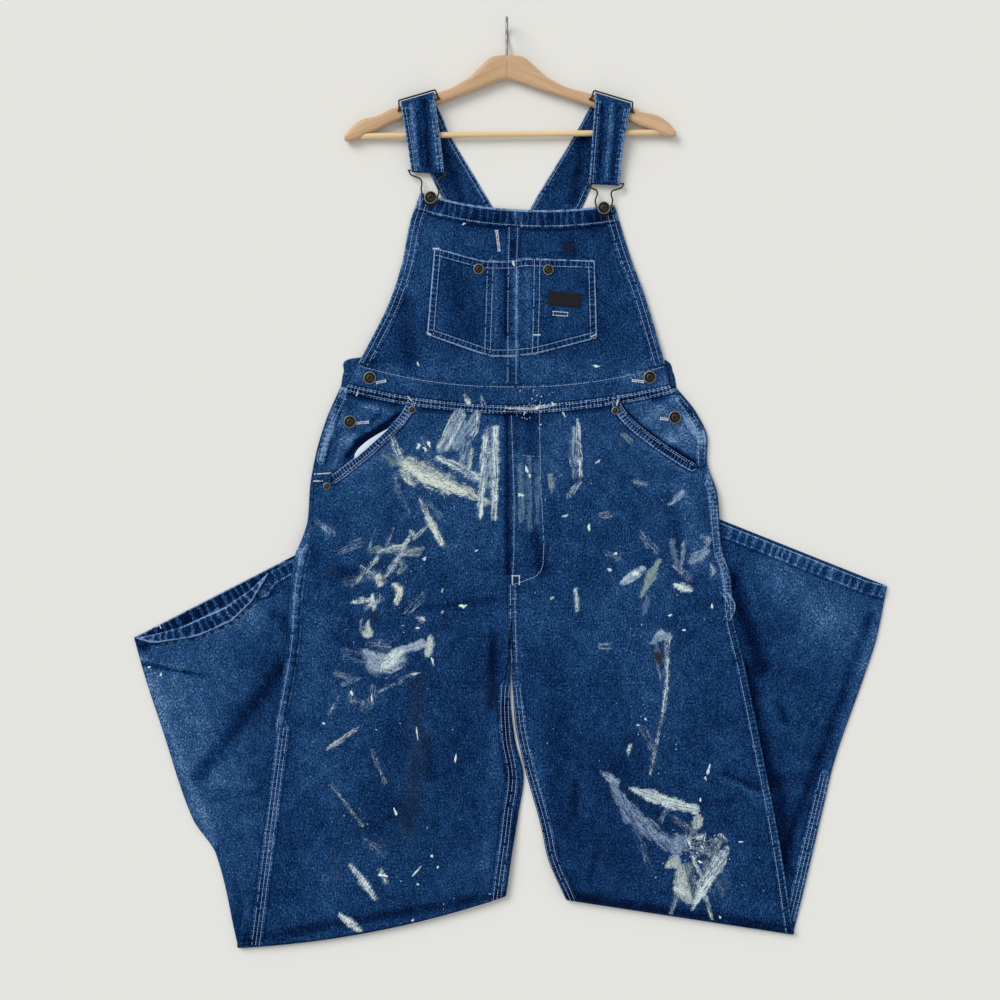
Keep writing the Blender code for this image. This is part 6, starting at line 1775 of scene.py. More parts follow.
def make_bib_pocket(look, black):
    grid = cloth_grid(shares_of(54), shares_of(88), lambda share, across: bib_surface(
        *pocket_point(across, share)) + (1.0,))
    make_cloth("bib_pocket", grid, look, ["bib_right", "bib_left"], lift=PATCH_LIFT,
               worn=SIDES + ("first row", "last row"))

    def label_point(down, across):
        offset = Vector((LABEL_SIZE[0] * across, LABEL_SIZE[1] * down))
        offset.rotate(Matrix.Rotation(LABEL_TURN, 2))
        return bib_surface(LABEL_CENTRE[0] + offset.x, LABEL_CENTRE[1] + offset.y) + (1.0,)

    label = cloth_grid(steps_between(0.5, -0.5, 1.0 / 12), steps_between(-0.5, 0.5, 1.0 / 26), label_point)
    make_cloth("label", label, black, ["bib_pocket"], shell=LABEL_SHELL, slot="label_cloth",
               lift=PATCH_LIFT + (PATCH + LINING) / 2.0 + LABEL_CLEAR)


def make_waistband(legs, look):
    top, bottom = [], []
    for name, side in SIDE_WAYS.items():
        section = legs[name].thigh_section(legs[name].waist)
        shares = shares_of(90)
        for share in shares if side < 0 else shares[::-1][1:]:
            distance = lerp(WAISTBAND_INSET * (1.0 - share), section.width, share)
            x, y, *rest = section.place(distance, section.depth)
            bottom.append((x, y + VISIBLE_GAP, *rest))
            x, y, *rest = bib_point(1.0, side * (1.0 - share))
            top.append((x, y - VISIBLE_GAP, *rest, 1.0))
    top, bottom = np.array(top), np.array(bottom)
    grid = [lerp(top, bottom, share) for share in shares_of(15)]
    make_cloth("waistband", grid, look, ["leg_front_right", "leg_front_left", "back_bib"], shell=SHELL)


def waist_seam_height(legs, x):
    leg = legs["left" if x > CENTRE_X else "right"]
    section = leg.thigh_section(leg.waist)
    distance = (x - section.outer.x) / section.across.x
    return section.plan(max(0.0, min(section.width, distance))).y + 2.0 * SEAM_GAP


def make_back(legs, look):
    def point(place, share):
        y, right_x, left_x = blend_rows(BACK_ROWS, place)
        x = lerp(right_x, left_x, share)
        height = lerp(waist_seam_height(legs, x), y, min(1.0, place / 0.5))
        return (x, height, WALL / 2.0, 0.0, 0.0, 1.0)

    grid = cloth_grid(steps_between(0.0, len(BACK_ROWS) - 1.0, 0.14), shares_of(70), point)
    make_cloth("back_bib", grid, look, ["leg_back_right", "leg_back_left"], layer="back", shell=SHELL,
               slot="denim_inside")


def strap_pair(row, drop=0.0, back=0.0):
    """Both edges of the strap at a table's row, lowered by a drop and drawn back along -Y."""
    first_x, first_y, second_x, second_y, z = row
    return (first_x, first_y - back, z - drop, second_x, second_y - back, z - drop)


def strap_run(table):
    return [blend_rows(table, place) for place in steps_between(0.0, len(table) - 1.0, STRAP_STEP)]


def strap_pairs(back, turn, front):
    """The strap's edges, row by row, from the back piece over the hanger and round the buckle."""
    pairs = [strap_pair(row) for row in strap_run(back)]
    first_z, last_z = back[-1][4], front[0][4]
    middle_z, half = (first_z + last_z) / 2.0, (last_z - first_z) / 2.0
    for k in range(1, STRAP_TURN_STEPS):
        angle = math.pi * (k / STRAP_TURN_STEPS - 0.5)
        reach = STRAP_TURN_REACH * (math.cos(angle) ** TURN_SQUARENESS - 1.0)
        z = middle_z + half * math.copysign(abs(math.sin(angle)) ** TURN_SQUARENESS, angle)
        pairs.append((turn[0][0], turn[0][1] + reach, z, turn[1][0], turn[1][1] + reach, z))
    front_rows = strap_run(front)
    pairs += [strap_pair(row) for row in front_rows]
    radius = BUCKLE_TURN_DROP / 2.0
    for k in range(1, BUCKLE_TURN_STEPS):
        angle = math.pi * k / BUCKLE_TURN_STEPS
        pairs.append(strap_pair(front_rows[-1], radius * (1.0 - math.cos(angle)), radius * math.sin(angle)))
    drops = [(drop,) for drop in RETURN_DROPS]
    for place in steps_between(0.0, len(RETURN_DROPS) - 1.0, RETURN_STEP):
        pairs.append(strap_pair(blend_rows(front[::-1], place), blend_rows(drops, place)[0]))
    return pairs


def make_straps(look):
    for name, (back, turn, front) in STRAPS.items():
        grid = cloth_grid(strap_pairs(back, turn, front), range(STRAP_COLUMNS + 1), lambda pair, k: (
            *(lerp(pair[axis], pair[axis + 3], k / STRAP_COLUMNS) for axis in range(3)), 0.0, 0.0, 1.0))
        turned = round((len(back) - 1) / STRAP_STEP) + STRAP_TURN_STEPS // 2
        spans = (("strap_back", 0, turned), ("strap_front", turned, len(grid)))
        rests_on = ["hanger_arm_" + name, "back_bib", "buckle_" + name]
        make_cloth("strap_" + name, grid, look, rests_on, spans=spans, shell=SHELL, worn=SIDES)


# ---------------------------------------------------------------- hardware and hanger

def bib_band_top(x, y):
    return bib_surface(x, y)[2] + WALL / 2.0 + LIFT + PATCH


def hip_place(leg, x, y):
    low, high = HIP_SEARCH_FOOT, leg.waist
    for _ in range(24):
        middle = (low + high) / 2.0
        section = leg.thigh_section(middle)
        distance = abs((x - section.outer.x) / section.across.x)
        if section.plan(distance).y > y:
            high = middle
        else:
            low = middle
    return section, distance


def hip_height(leg, x, y):
    section, distance = hip_place(leg, x, y)
    return section.place(distance, section.depth)[2]


def facing_height(leg, x, y):
    section, distance = hip_place(leg, x, y)
    start, end = facing_span(section)
    return hip_height(leg, x, y) - facing_drop((distance - start) / (end - start))


def buckle_route(name):
    x, y = BIB_BUTTONS[name]
    first_x, first_y, second_x, second_y, z = STRAPS[name][2][-1]
    middle_x, middle_y = (first_x + second_x) / 2.0, (first_y + second_y) / 2.0
    bar_z = z - BUCKLE_TURN_DROP / 2.0
    loop_z = bib_band_top(x, y) + LIFT + BUCKLE_WIRE
    tilt = (second_y - first_y) / (second_x - first_x)
    outline = list(BUCKLE_HALF) + [(-across, up) for across, up in BUCKLE_HALF[::-1][:-1]]
    points = []
    for across, up in outline:
        share = max(0.0, min(1.0, up / BUCKLE_HALF[0][1]))
        shift = smoothstep(share)
        px = lerp(x, middle_x, shift) + across
        py = lerp(y, middle_y - BUCKLE_HALF[0][1], shift) + up + across * tilt * shift
        points.append((px, py, lerp(loop_z, bar_z, smoothstep(share * 1.3))))
    return points


def slider_route(name):
    _, turn, front = STRAPS[name]
    start, end = Vector(turn[0]), Vector(turn[1])
    line = (end - start).normalized()
    up = Vector((-line.y, line.x))
    length = (end - start).length
    lean_start = (Vector(front[0][:2]) - start).dot(line)
    lean_end = (Vector(front[0][2:4]) - start).dot(line) - length
    points = []
    for across, lean, rise, z in SLIDER_OUTLINE:
        flat = start + line * (-across + min(0.0, lean_start) * lean) + up * rise
        points.append((flat.x, flat.y, z))
    for across, lean, rise, z in SLIDER_OUTLINE[::-1]:
        flat = start + line * (length + across + max(0.0, lean_end) * lean) + up * rise
        points.append((flat.x, flat.y, z))
    return points


def button_profile(cap, shank, rise):
    """A tack button: shank, rolled rim, sunk ring and crowned centre.  Columns: radius, height, worn."""
    top = rise + CAP_HEIGHT
    return (
        (shank, 0.0, 0.0), (shank, rise, 0.0), (cap - 1.2, rise, 0.5), (cap - 0.3, rise + 0.3, 0.9),
        (cap, rise + 0.9, 0.95), (cap - 0.2, rise + 1.6, 1.0), (cap - 0.8, top - 0.2, 0.9),
        (cap - 1.4, top, 0.5), (cap - 2.0, top - 0.1, 0.1), (cap - 2.5, top - 0.6, 0.0),
        (cap - 3.0, top - 0.9, 0.0), (cap * 0.52, top - 0.9, 0.05), (cap * 0.47, top - 0.5, 0.4),
        (cap * 0.36, top - 0.3, 0.45), (cap * 0.20, top - 0.25, 0.1), (cap * 0.16, top - 0.7, 0.0),
        (0.4, top - 0.8, 0.3),
    )


def turned_piece(name, profile, centre, sides, brass, sharp):
    """A button or rivet, with how worn each ring is kept on the mesh."""
    item = hard_piece(name, turned_mesh(profile, centre, sides), brass, "aged_brass", sharp)
    worn = [row[2] for row in profile]
    worn = np.concatenate([np.repeat(worn, sides), [worn[0], worn[-1]]])
    set_attribute(item.data, "worn", np.stack([worn, worn, worn], -1))


def make_buttons(legs, brass):
    # Columns: kind, places, radius of the cap and of the shank, height of the shank, foot of the shank
    kinds = (
        ("bib_button_", BIB_BUTTONS, BUTTON_CAP, BUCKLED_SHANK, 2.0 * BUCKLE_WIRE + 2.0 * LIFT,
         lambda name, x, y: bib_band_top(x, y) + LIFT),
        ("pocket_button_", POCKET_BUTTONS, POCKET_BUTTON_CAP, SHANK, SHANK_RISE,
         lambda name, x, y: bib_surface(x, y)[2] + WALL / 2.0 + PATCH + 2.0 * LIFT),
        ("waist_button_", WAIST_BUTTONS, BUTTON_CAP, SHANK, SHANK_RISE,
         lambda name, x, y: hip_height(legs[name], x, y) + WALL / 2.0 + LIFT),
        ("hip_button_", HIP_BUTTONS, BUTTON_CAP, SHANK, SHANK_RISE,
         lambda name, x, y: facing_height(legs[name], x, y) + PATCH / 2.0 + LIFT),
    )
    for kind, places, cap, shank, rise, foot in kinds:
        for name, (x, y) in places.items():
            profile = button_profile(cap, shank, rise)
            turned_piece(kind + name, profile, (x, y, foot(name, x, y)), 48, brass, 50.0)
    for name, (x, y, patch) in RIVETS.items():
        leg = legs["left" if x > 0 else "right"]
        base = hip_height(leg, x, y) + WALL / 2.0 + patch + 2.0 * LIFT
        turned_piece("rivet_" + name, RIVET_PROFILE, (x, y, base), 32, brass, 35.0)


def make_wires(wire):
    for name in STRAPS:
        for kind, route, radius in (("buckle_", buckle_route(name), BUCKLE_WIRE),
                                    ("slider_", slider_route(name), SLIDER_WIRE)):
            tube = tube_mesh(smooth_route(route, 0.8, True), radius, 12, True)
            hard_piece(kind + name, tube, wire, "dark_wire", 60.0)


def squared(value):
    """A sine or cosine, for an oval that is drawn out towards a rectangle."""
    return math.copysign(abs(value) ** HANGER_SQUARENESS, value)


def hanger_ring(x, top, bottom):
    middle, half = (top + bottom) / 2.0, (bottom - top) / 2.0
    ring = []
    for k in range(HANGER_SIDES):
        turn = 2.0 * math.pi * (k + 0.5) / HANGER_SIDES
        ring.append((x, HANGER_TOP_Y - middle + half * squared(math.cos(turn)),
                     HANGER_Z + HANGER_HALF_DEPTH * squared(math.sin(turn))))
    return np.array(ring)


def shrunk(ring, scale, push=0.0):
    """A ring drawn in towards its centre and pushed along X."""
    centre = ring.mean(axis=0)
    return centre + (ring - centre) * scale + np.array((push, 0.0, 0.0))


def make_hanger(woods, pale_wood, steel):
    for name, wood, reach, tip_rise in zip(SIDE_WAYS, woods, HANGER_REACHES, HANGER_TIP_RISES):
        side = SIDE_WAYS[name]
        rings = []
        for place in steps_between(0.0, len(HANGER_PROFILE) - 1.0, 0.12):
            share, top, bottom = blend_rows(HANGER_PROFILE, place)
            x = HANGER_X + side * (HANGER_JOINT + reach * share)
            rings.append(hanger_ring(x, top - tip_rise * share, bottom - tip_rise * share))
        joint = [shrunk(rings[0], scale) for scale in HANGER_JOINT_SCALES]
        tip = [shrunk(rings[-1], scale, side * HANGER_TIP_STEP * step)
               for step, scale in enumerate(HANGER_TIP_SCALES, 1)]
        rings = joint + rings + tip
        if side > 0:
            rings = [ring[::-1] for ring in rings]
        hard_piece("hanger_arm_" + name, loft_mesh(rings), wood, "beech", 50.0)
    route = []
    for share in shares_of(24):
        drop = lerp(BAR_DROP_RIGHT, BAR_DROP_LEFT, share)
        route.append((lerp(BAR_END_RIGHT, BAR_END_LEFT, share), HANGER_TOP_Y - drop, HANGER_Z))
    hard_piece("hanger_bar", tube_mesh(np.array(route), BAR_RADIUS, 24, False), pale_wood, "beech", 60.0)
    stem_y = HANGER_TOP_Y + LIFT
    start = -math.acos(HOOK_OFFSET / HOOK_RADIUS)
    points = [(HANGER_X, stem_y + rise, HANGER_Z) for rise in HOOK_STEM]
    for k in range(1, HOOK_STEPS + 1):
        angle = start + HOOK_SWEEP * k / HOOK_STEPS
        points.append((HANGER_X, stem_y + HOOK_RISE + HOOK_RADIUS * math.sin(angle),
                       HANGER_Z + HOOK_OFFSET - HOOK_RADIUS * math.cos(angle)))
    hook = tube_mesh(smooth_route(points, 1.0, False), HOOK_WIRE, 16, False)
    hard_piece("hanger_hook", hook, steel, "hook_steel", 60.0)


# ---------------------------------------------------------------- threads, paint and small trim

def layer_trees():
    """For each layer of cloth, and for all of them, a tree to drop points on."""
    every = []
    trees = {}
    for layer, parts in LAYERS.items():
        every += parts
        verts, faces = join_arrays(parts)
        trees[layer] = BVHTree.FromPolygons(verts, faces)
    verts, faces = join_arrays(every)
    trees["all"] = BVHTree.FromPolygons(verts, faces)
    return trees


def join_arrays(parts):
    verts, faces, base = [], [], 0
    for part_verts, part_faces in parts:
        verts.append(part_verts)
        faces.append(part_faces + base)
        base += len(part_verts)
    return np.concatenate(verts).tolist(), np.concatenate(faces).tolist()


class Drop:
    """Drops points straight down on one layer, where nothing lies over it."""

    def __init__(self, trees, layer):
        self.layer = trees[layer]
        self.every = trees["all"]

    def land(self, x, y):
        start = Vector((x, y, 60.0))
        down = Vector((0.0, 0.0, -1.0))
        hit, normal = self.layer.ray_cast(start, down)[:2]
        over = self.every.ray_cast(start, down)[0]
        if hit is None or over.z - hit.z > 0.6:
            return None, None
        return hit, normal if normal.z > 0 else -normal


def offset_line(line, offset):
    tangents = np.gradient(line, axis=0)
    tangents = tangents / np.linalg.norm(tangents, axis=1, keepdims=True)
    return line + offset * np.stack([-tangents[:, 1], tangents[:, 0]], -1)


def even_points(line, step):
    """Points and directions at an even step along a flat line."""
    lengths = run_lengths(line)
    stops = np.linspace(0.0, lengths[-1], max(2, round(lengths[-1] / step)))
    points = np.stack([np.interp(stops, lengths, line[:, k]) for k in range(2)], -1)
    return points, np.gradient(points, axis=0)


def lens(centre, along, side, up, length, width, height):
    """One stitch: a slim closed body with two pointed ends and two square rings."""
    verts = [centre - along * length / 2.0]
    for place in LENS_RINGS:
        middle = centre + along * length * place
        verts += [middle + side * width / 2.0, middle + up * height,
                  middle - side * width / 2.0, middle - up * height * LENS_UNDER]
    verts.append(centre + along * length / 2.0)
    faces = []
    for k in range(4):
        after = (k + 1) % 4
        faces += [(0, 1 + after, 1 + k), (9, 5 + k, 5 + after), (1 + k, 1 + after, 5 + after, 5 + k)]
    return verts, faces


def stitch(drop, x, y, dx, dy, length=STITCH_LENGTH, width=STITCH_WIDTH):
    hit, normal = drop.land(x, y)
    if hit is None or random.random() < WORN_AWAY:
        return None
    along = Vector((dx, dy, 0.0)).normalized()
    along = (along - normal * along.dot(normal)).normalized()
    side = normal.cross(along)
    return lens(hit + normal * STITCH_RISE, along, side, normal, length, width, STITCH_HEIGHT)


def sew(drops):
    """The stitches of every seam."""
    parts = []
    for seam in SEAMS:
        for offset in seam.rows:
            points, ways = even_points(offset_line(seam.line, offset), STITCH_PITCH)
            for (x, y), (dx, dy) in zip(points, ways):
                parts.append(stitch(drops[seam.layer], x, y, dx, dy))
    return parts


def satin(drop, x, y, length, width, turn):
    """Close stitches across a short line: a bartack, or one lip of a buttonhole."""
    turn = math.radians(turn)
    along = (math.cos(turn), math.sin(turn))
    parts = []
    count = max(2, round(length / SATIN_PITCH))
    for k in range(count):
        place = length * (k / (count - 1) - 0.5)
        parts.append(stitch(drop, x + along[0] * place, y + along[1] * place, -along[1], along[0],
                            width, SATIN_THREAD))
    return parts


def buttonhole(drop, x, y, length, turn):
    angle = math.radians(turn)
    parts = []
    for side in (-HOLE_LIP, HOLE_LIP):
        parts += satin(drop, x - side * math.sin(angle), y + side * math.cos(angle), length,
                       HOLE_LIP_STITCH, turn)
    for reach in (-length / 2.0, length / 2.0):
        end_x, end_y = x + reach * math.cos(angle), y + reach * math.sin(angle)
        parts += satin(drop, end_x, end_y, HOLE_END, HOLE_END_STITCH, turn + 90.0)
    return parts


def make_threads(drops, look, white):
    seams = sew(drops)
    trim = []
    for layer, x, y, length, width, turn in BARTACKS:
        trim += satin(drops[layer], x, y, length, width, turn)
    for x, y, length, turn in BUTTONHOLES:
        trim += buttonhole(drops["front"], x, y, length, turn)
    for x, y, length, turn in TAG_BOX:
        trim += satin(drops["front"], x, y, length, TAG_WIDTH, turn)
    for name, parts, colour in (("seam_threads", seams, look), ("trim_threads", trim, white)):
        loose_piece(name, [part for part in parts if part], colour, "pocket_cotton")


def blot(drop, x, y, along, across, turn, ragged, body, rim=16):
    """A ragged spot of paint: a thin closed body whose rim lies on the cloth."""
    centre, normal = drop.land(x, y)
    if centre is None:
        return None
    phases = [random.uniform(0.0, 6.28) for _ in range(3)]
    cosine, sine = math.cos(turn), math.sin(turn)
    top, edge = [], []
    for k in range(rim):
        angle = 2.0 * math.pi * k / rim
        wobble = sum(math.sin((n + 2) * angle + phase) / (n + 1.5) for n, phase in enumerate(phases))
        grow = max(0.35, 1.0 + ragged * wobble + random.uniform(-0.3, 0.3) * ragged)
        dx, dy = along / 2.0 * math.cos(angle) * grow, across / 2.0 * math.sin(angle) * grow
        ring = []
        for scale in (BLOT_TOP, 1.0):
            px = x + scale * (dx * cosine - dy * sine)
            py = y + scale * (dx * sine + dy * cosine)
            hit, _ = drop.land(px, py)
            if hit is None:
                return None
            ring.append(hit)
        top.append(ring[0] + normal * body)
        edge.append(ring[1] + normal * body * BLOT_EDGE)
    verts = [centre + normal * body * BLOT_CROWN] + top + edge + [centre - normal * BLOT_SUNK]
    last = len(verts) - 1
    faces = []
    for k in range(rim):
        after = (k + 1) % rim
        faces += [(0, 1 + k, 1 + after), (1 + k, 1 + rim + k, 1 + rim + after, 1 + after),
                  (last, 1 + rim + after, 1 + rim + k)]
    return verts, faces


def streaks(drop, colour, thick, points):
    """The fine parallel ridges that a nearly dry brush leaves along a stroke."""
    parts = []
    points = np.array(points, float)
    lengths = run_lengths(points[:, :2])

    def at(stop, column):
        return np.interp(stop, lengths, points[:, column])

    for _ in range(int(lengths[-1] * points[:, 2].mean() * STREAK_SHARE * thick ** 2)):
        stop = random.uniform(0.0, lengths[-1])
        x, y, width = (at(stop, column) for column in range(3))
        turn = math.atan2(at(stop + 1.0, 1) - at(stop - 1.0, 1), at(stop + 1.0, 0) - at(stop - 1.0, 0))
        offset = random.uniform(-STREAK_SPREAD, STREAK_SPREAD) * width
        x, y = x - offset * math.sin(turn), y + offset * math.cos(turn)
        length = random.uniform(*STREAK_LENGTHS)
        across = random.uniform(*STREAK_WIDTHS)
        turn += random.gauss(0.0, STREAK_LEAN)
        spot = blot(drop, x, y, length, across, turn, STREAK_RAGGED, STREAK_BODY, SMALL_RIM)
        parts.append((colour, spot))
    return parts


def spatter(drop, colour, x, y, spread, count, size):
    parts = []
    for _ in range(count):
        px, py = random.gauss(x, spread * DOT_SPREAD), random.gauss(y, spread * DOT_SPREAD)
        across = size * random.uniform(*DOT_SIZES) ** DOT_FINENESS
        along = across * random.uniform(*DOT_STRETCHES)
        turn = random.uniform(0.0, 3.14)
        spot = blot(drop, px, py, along, across, turn, DOT_RAGGED, DOT_BODY, SMALL_RIM)
        parts.append((colour, spot))
    return parts


def make_paint(drops, look):
    parts = []
    for colour, _, thick, _, points in STROKES:
        parts += streaks(drops["front"], colour, thick, points)
    for colour, x, y, along, across, turn, ragged in MARKS:
        drop = drops["shin" if x < SHIN_MARKS_BEYOND else "front"]
        parts.append((colour, blot(drop, x, y, MARK_SHARE * along, MARK_SHARE * across, math.radians(turn),
                                   MARK_RAGGED * ragged, MARK_BODY)))
    for row in SPATTER:
        parts += spatter(drops["front"], *row)
    parts = [(colour, part) for colour, part in parts if part]
    item = loose_piece("paint_marks", [part for _, part in parts], look, "denim")
    tint = []
    for colour, (part_verts, _) in parts:
        shade = random.uniform(*PAINT_SHADES)
        tint += [[part * shade for part in linear(PAINTS[colour])] + [1.0]] * len(part_verts)
    set_attribute(item.data, "tint", np.array(tint))


# ---------------------------------------------------------------- materials

class Value:
    """A number or a colour that a material's nodes work out, for use in plain sums."""

    def __init__(self, look, socket):
        self.look = look
        self.socket = socket

    def __add__(self, other):
        return self.look.math("ADD", self, other)

    def __sub__(self, other):
        return self.look.math("SUBTRACT", self, other)

    def __mul__(self, other):
        return self.look.math("MULTIPLY", self, other)


class Look:
    """A procedural material, with short calls for the nodes that it needs."""

    def __init__(self, name, roughness, metallic=0.0, specular=0.5):
        self.material = bpy.data.materials.new(name)
        self.material.use_nodes = True
        self.tree = self.material.node_tree
        self.shader = self.tree.nodes["Principled BSDF"]
        self.shader.inputs["Roughness"].default_value = roughness
        self.shader.inputs["Metallic"].default_value = metallic
        self.shader.inputs["Specular IOR Level"].default_value = specular

    def connect(self, value, socket):
        if isinstance(value, Value):
            self.tree.links.new(value.socket, socket)
        elif value is not None:
            socket.default_value = value

    def node(self, kind, *inputs, **settings):
        """Outputs of a new node, with its first inputs and its settings filled in."""
        node = self.tree.nodes.new("ShaderNode" + kind)
        for key, value in settings.items():
            setattr(node, key, value)
        for value, socket in zip(inputs, node.inputs):
            self.connect(value, socket)
        return [Value(self, socket) for socket in node.outputs]

    def math(self, operation, *values):
        return self.node("Math", *values, operation=operation)[0]

    def attribute(self, name):
        """Colour, vector, value and alpha of an attribute of the mesh."""
        return self.node("Attribute", attribute_name=name)

    def parts(self, name):
        """The three parts of a vector attribute."""
        return self.node("SeparateXYZ", self.attribute(name)[1])

    def object_place(self, turn=0.0):
        """Places in metres, turned about +Z."""
        node = self.tree.nodes.new("ShaderNodeTexCoord")
        place = Value(self, node.outputs["Object"])
        return self.node("Mapping", place, None, (0.0, 0.0, turn))[0]

    def noise(self, place, scale, detail=2.0, roughness=0.5, distortion=0.0):
        """Noise about zero, from about -0.5 to 0.5."""
        node = self.tree.nodes.new("ShaderNodeTexNoise")
        for name, value in (
            ("Vector", self.node("VectorMath", place, scale, operation="MULTIPLY")[0]),
            ("Scale", 1.0),
            ("Detail", detail),
            ("Roughness", roughness),
            ("Distortion", distortion),
        ):
            self.connect(value, node.inputs[name])
        return Value(self, node.outputs[0]) - 0.5

    def even_noise(self, scale, detail=2.0, roughness=0.5):
        """Noise that is alike in all directions, in places of the object."""
        return self.noise(self.object_place(), (scale, scale, scale), detail, roughness)

    def map(self, value, low, high, start=0.0, end=1.0):
        return self.node("MapRange", value, low, high, start, end, interpolation_type="SMOOTHSTEP")[0]

    def hump(self, value, middle, sharpness):
        """1 at the middle, falling away on both sides."""
        gap = value - middle
        return self.math("EXPONENT", gap * gap * -sharpness)

    def ramp(self, value, rows):
        """Colours along a value.  rows: place, sRGB colour."""
        node = self.tree.nodes.new("ShaderNodeValToRGB")
        self.connect(value, node.inputs[0])
        elements = node.color_ramp.elements
        while len(elements) < len(rows):
            elements.new(0.5)
        for element, (place, colour) in zip(elements, rows):
            element.position = place
            element.color = linear(colour) + [1.0]
        return Value(self, node.outputs[0])

    def mix(self, share, first, second, blend="MIX"):
        node = self.tree.nodes.new("ShaderNodeMix")
        node.data_type = "RGBA"
        node.blend_type = blend
        self.connect(share, node.inputs["Factor"])
        colours = [socket for socket in node.inputs if socket.type == "RGBA"]
        for value, socket in zip((first, second), colours):
            self.connect(value, socket)
        return Value(self, [socket for socket in node.outputs if socket.type == "RGBA"][0])

    def tinted(self, colour, shade):
        return self.mix(1.0, colour, shade + (1.0,), "MULTIPLY")

    def weigh(self, parts, weights):
        """Sum of the named parts, each times its weight."""
        total = None
        for name, weight in weights.items():
            part = parts[name] * weight
            total = total + part if total else part
        return total

    def finish(self, colour, height=None, roughness=None):
        """Connects the colour, and the height in millimetres as a bump."""
        self.connect(colour, self.shader.inputs["Base Color"])
        self.connect(roughness, self.shader.inputs["Roughness"])
        node = self.tree.nodes.new("ShaderNodeBump")
        node.inputs["Distance"].default_value = MM
        self.connect(height, node.inputs["Height"])
        self.tree.links.new(node.outputs[0], self.shader.inputs["Normal"])
        return self.material


def denim_look(name, base):
    """Washed twill: heathered warp, slubs, mottling, worn seams, fading, painted light on folds, painted
    shade in creases, under edges and beside seams, grime and dry brushed paint.
    """
    look = Look(name, 0.92, specular=0.06)
    cloth = look.attribute("cloth")[1]
    phase, across, strength = look.parts("seam")
    # fade carries the tone strips: fading, painted light on folds and painted shade in creases and under
    # edges
    fade, stain, to_edge = look.parts("tone")
    parts = {key: look.noise(cloth, *row) for key, row in CLOTH_NOISES.items()}
    grain, slub, mottle = parts["grain"], parts["slub"], parts["mottle"]
    across = look.math("ABSOLUTE", across)
    band = look.map(across, 1.15, 0.85)
    pucker = look.math("SINE", phase * (2.0 * math.pi) + mottle * 7.0)
    parts["band"] = band * strength
    parts["ladder"] = look.map(pucker, -0.2, 0.95, -0.55, 1.0) * parts["band"]
    parts["edge"] = look.hump(across, BAND_EDGE, 60.0) * strength * (mottle * 2.2 + 0.75)
    # painted shade in the hollow beside each seam's band, scaled by the seam's strength
    parts["hollow_shade"] = look.hump(across, BAND_HOLLOW, 45.0) * strength
    parts["rim"] = look.map(to_edge, 0.8, 3.0, 1.0, 0.0) * (mottle * 1.5 + 0.9)
    colour = look.ramp(look.weigh(parts, CLOTH_TONE) + fade + base, DENIM_RAMP)
    stain = stain * (parts["grime"] * 3.0 + 0.9)
    colour = look.mix(look.math("MINIMUM", look.math("MAXIMUM", stain, 0.0), 0.85), colour,
                      linear(GRIME) + [1.0])
    dry, patchy = parts["dry"], parts["patchy"]
    bristles = look.noise(look.attribute("brush")[1], *BRISTLES)
    film, thick, _ = look.parts("paint")
    tint = look.attribute("tint")[0]
    uneven = dry * 1.3 + patchy * 0.9 + bristles * 1.8
    weave = look.map(grain + slub * 0.4, -0.12, 0.12)
    thin = look.mix(weave, look.tinted(tint, (0.52, 0.62, 0.70)), look.tinted(tint, (0.86, 0.90, 0.93)))
    cover = look.map(film + uneven, 0.12, 0.90) * look.map(film, 0.03, 0.25)
    colour = look.mix(cover * 0.74, colour, thin)
    parts["paint"] = look.map(thick + uneven + dry * 0.9, 0.60, 1.00) * look.map(thick, 0.05, 0.30)
    hollows = look.tinted(tint, (0.72, 0.79, 0.80))
    body = look.mix(look.map(dry + patchy + bristles, -0.35, 0.15), hollows, tint)
    colour = look.mix(parts["paint"] * 0.94, colour, body)
    width, length, _ = look.node("SeparateXYZ", cloth)
    parts["twill"] = look.math("SINE", width * 5.2 + length * 3.0)
    return look.finish(colour, look.weigh(parts, CLOTH_RELIEF))


def cotton_look(name, colours, scale):
    look = Look(name, 0.85, specular=0.2)
    weave = look.even_noise(scale)
    return look.finish(look.ramp(weave + 0.5, ((0.25, colours[0]), (0.75, colours[1]))), weave * 0.15)


def paint_look():
    look = Look("dried_paint", 0.6, specular=0.3)
    lumps = look.even_noise(900.0, 3.0)
    tint = look.attribute("tint")[0]
    colour = look.mix(look.map(lumps, -0.2, 0.1), look.tinted(tint, (0.72, 0.76, 0.82)), tint)
    return look.finish(colour, lumps * 0.1)


def metal_look(name, dark, light, roughness, scale):
    look = Look(name, roughness, metallic=0.85)
    patina = look.even_noise(scale, 4.0, 0.6)
    colour = look.ramp(patina + 0.5, ((0.3, dark), (0.72, light)))
    return look.finish(colour, patina * 0.06, look.map(patina, -0.3, 0.3, roughness, roughness + 0.2))


def brass_look():
    """Dark brass, bright where cloth and hands have rubbed it."""
    look = Look("aged_brass", 0.38, metallic=0.85)
    patina = look.even_noise(900.0, 4.0, 0.6)
    worn = look.parts("worn")[0]
    colour = look.ramp(patina * 0.5 + worn * 0.8 + 0.14, BRASS_RAMP)
    return look.finish(colour, patina * 0.06, look.map(patina, -0.3, 0.3, 0.38, 0.58))


def wood_look(name, turn, dark, light):
    look = Look(name, 0.42, specular=0.4)
    place = look.object_place(turn)
    parts = {key: look.noise(place, *row) for key, row in WOOD_NOISES.items()}
    middle = tuple((a + b) / 2 for a, b in zip(dark, light))
    colour = look.ramp(look.weigh(parts, WOOD_TONE) + 0.5, ((0.15, dark), (0.55, middle), (0.9, light)))
    return look.finish(colour, parts["grain"] * 0.05)


# ---------------------------------------------------------------- stage, light and camera

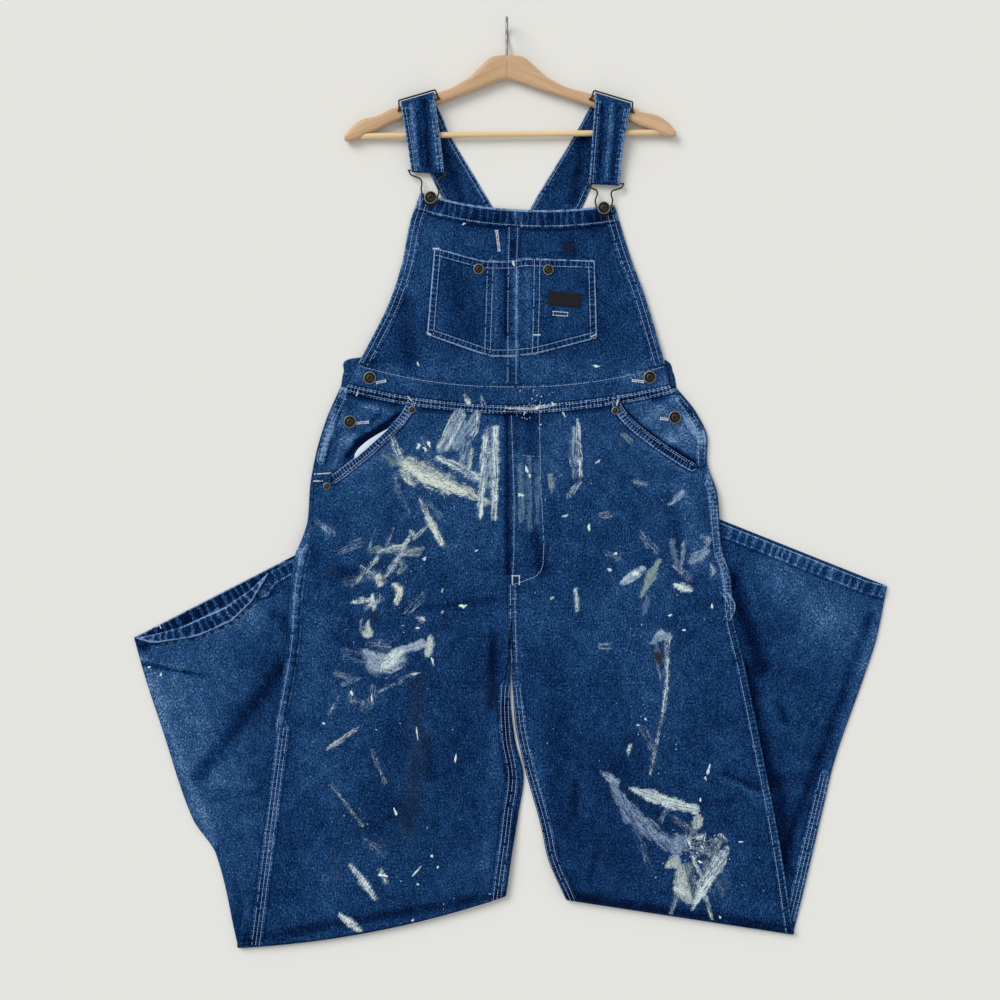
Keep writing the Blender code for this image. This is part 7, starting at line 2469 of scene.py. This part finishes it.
def make_stage():
    paper = Look("floor_paper", 0.95, specular=0.1)
    tooth = paper.even_noise(300.0)
    look = paper.finish(linear(PAPER) + [1.0], tooth * 0.01)
    corners = [(STAGE_REACH * x, STAGE_REACH * y, 0.0) for x, y in ((-1, -1), (1, -1), (1, 1), (-1, 1))]
    mesh_object("floor", np.array(corners), [(0, 1, 2, 3)], look, smooth=False)
    world = bpy.data.worlds.new("soft_light")
    world.use_nodes = True
    background = world.node_tree.nodes["Background"]
    background.inputs["Color"].default_value = WORLD_COLOUR
    background.inputs["Strength"].default_value = WORLD_STRENGTH
    bpy.context.scene.world = world
    sun = bpy.data.lights.new("window", "SUN")
    sun.energy = SUN_STRENGTH
    sun.angle = SUN_ANGLE
    in_scene("window", sun).rotation_euler = Vector(SUN_WAY).to_track_quat("-Z", "Y").to_euler()
    camera = bpy.data.cameras.new("camera")
    camera.sensor_width = SENSOR_WIDTH
    camera.lens = SENSOR_WIDTH * CAMERA_HEIGHT / VIEW_WIDTH
    view = in_scene("camera", camera)
    view.location = (VIEW_CENTRE[0] * MM, VIEW_CENTRE[1] * MM, CAMERA_HEIGHT + GARMENT_MIDDLE)
    bpy.context.scene.camera = view
    bpy.context.scene.view_settings.view_transform = "Standard"


def main():
    random.seed(7)
    denim = denim_look("denim", 0.39)
    inside = denim_look("denim_inside", 0.46)
    cotton = cotton_look("pocket_cotton", ((196, 214, 228), (230, 238, 244)), 1500.0)
    black = cotton_look("label_cloth", ((12, 12, 16), (34, 34, 40)), 2200.0)
    thread = cotton_look("thread", ((138, 168, 218), (204, 226, 254)), 700.0)
    brass = brass_look()
    wire = metal_look("dark_wire", (24, 23, 22), (70, 66, 60), 0.38, 500.0)
    steel = metal_look("hook_steel", (110, 112, 112), (178, 178, 176), 0.3, 200.0)
    legs = {"right": Leg(RIGHT_LEG), "left": Leg(LEFT_LEG)}
    for leg in legs.values():
        add_leg_seams(leg)
    add_body_seams()
    add_strap_seams()
    for name, leg in legs.items():
        make_leg(leg, name, denim)
        make_facing(leg, name, inside)
        make_pocket_band(leg, name, denim)
    make_hem_flap(legs["right"], denim)
    make_lining(legs["right"], cotton)
    make_rule_pocket(legs["right"], denim)
    make_hammer_loop(legs["left"], denim)
    make_bib(denim)
    make_bib_band(denim)
    make_bib_pocket(denim, black)
    make_waistband(legs, denim)
    make_back(legs, inside)
    make_straps(denim)
    trees = layer_trees()
    drops = {layer: Drop(trees, layer) for layer in LAYERS}
    make_threads(drops, thread, cotton_look("white_thread", ((214, 222, 234), (246, 249, 252)), 700.0))
    make_paint(drops, paint_look())
    make_wires(wire)
    make_buttons(legs, brass)
    woods = [wood_look("beech_" + name, turn, (178, 140, 102), (216, 184, 148))
             for name, turn in (("right", -ARM_SLOPE), ("left", ARM_SLOPE))]
    make_hanger(woods, wood_look("beech_bar", 0.0, (214, 182, 134), (240, 214, 170)), steel)
    make_stage()


main()
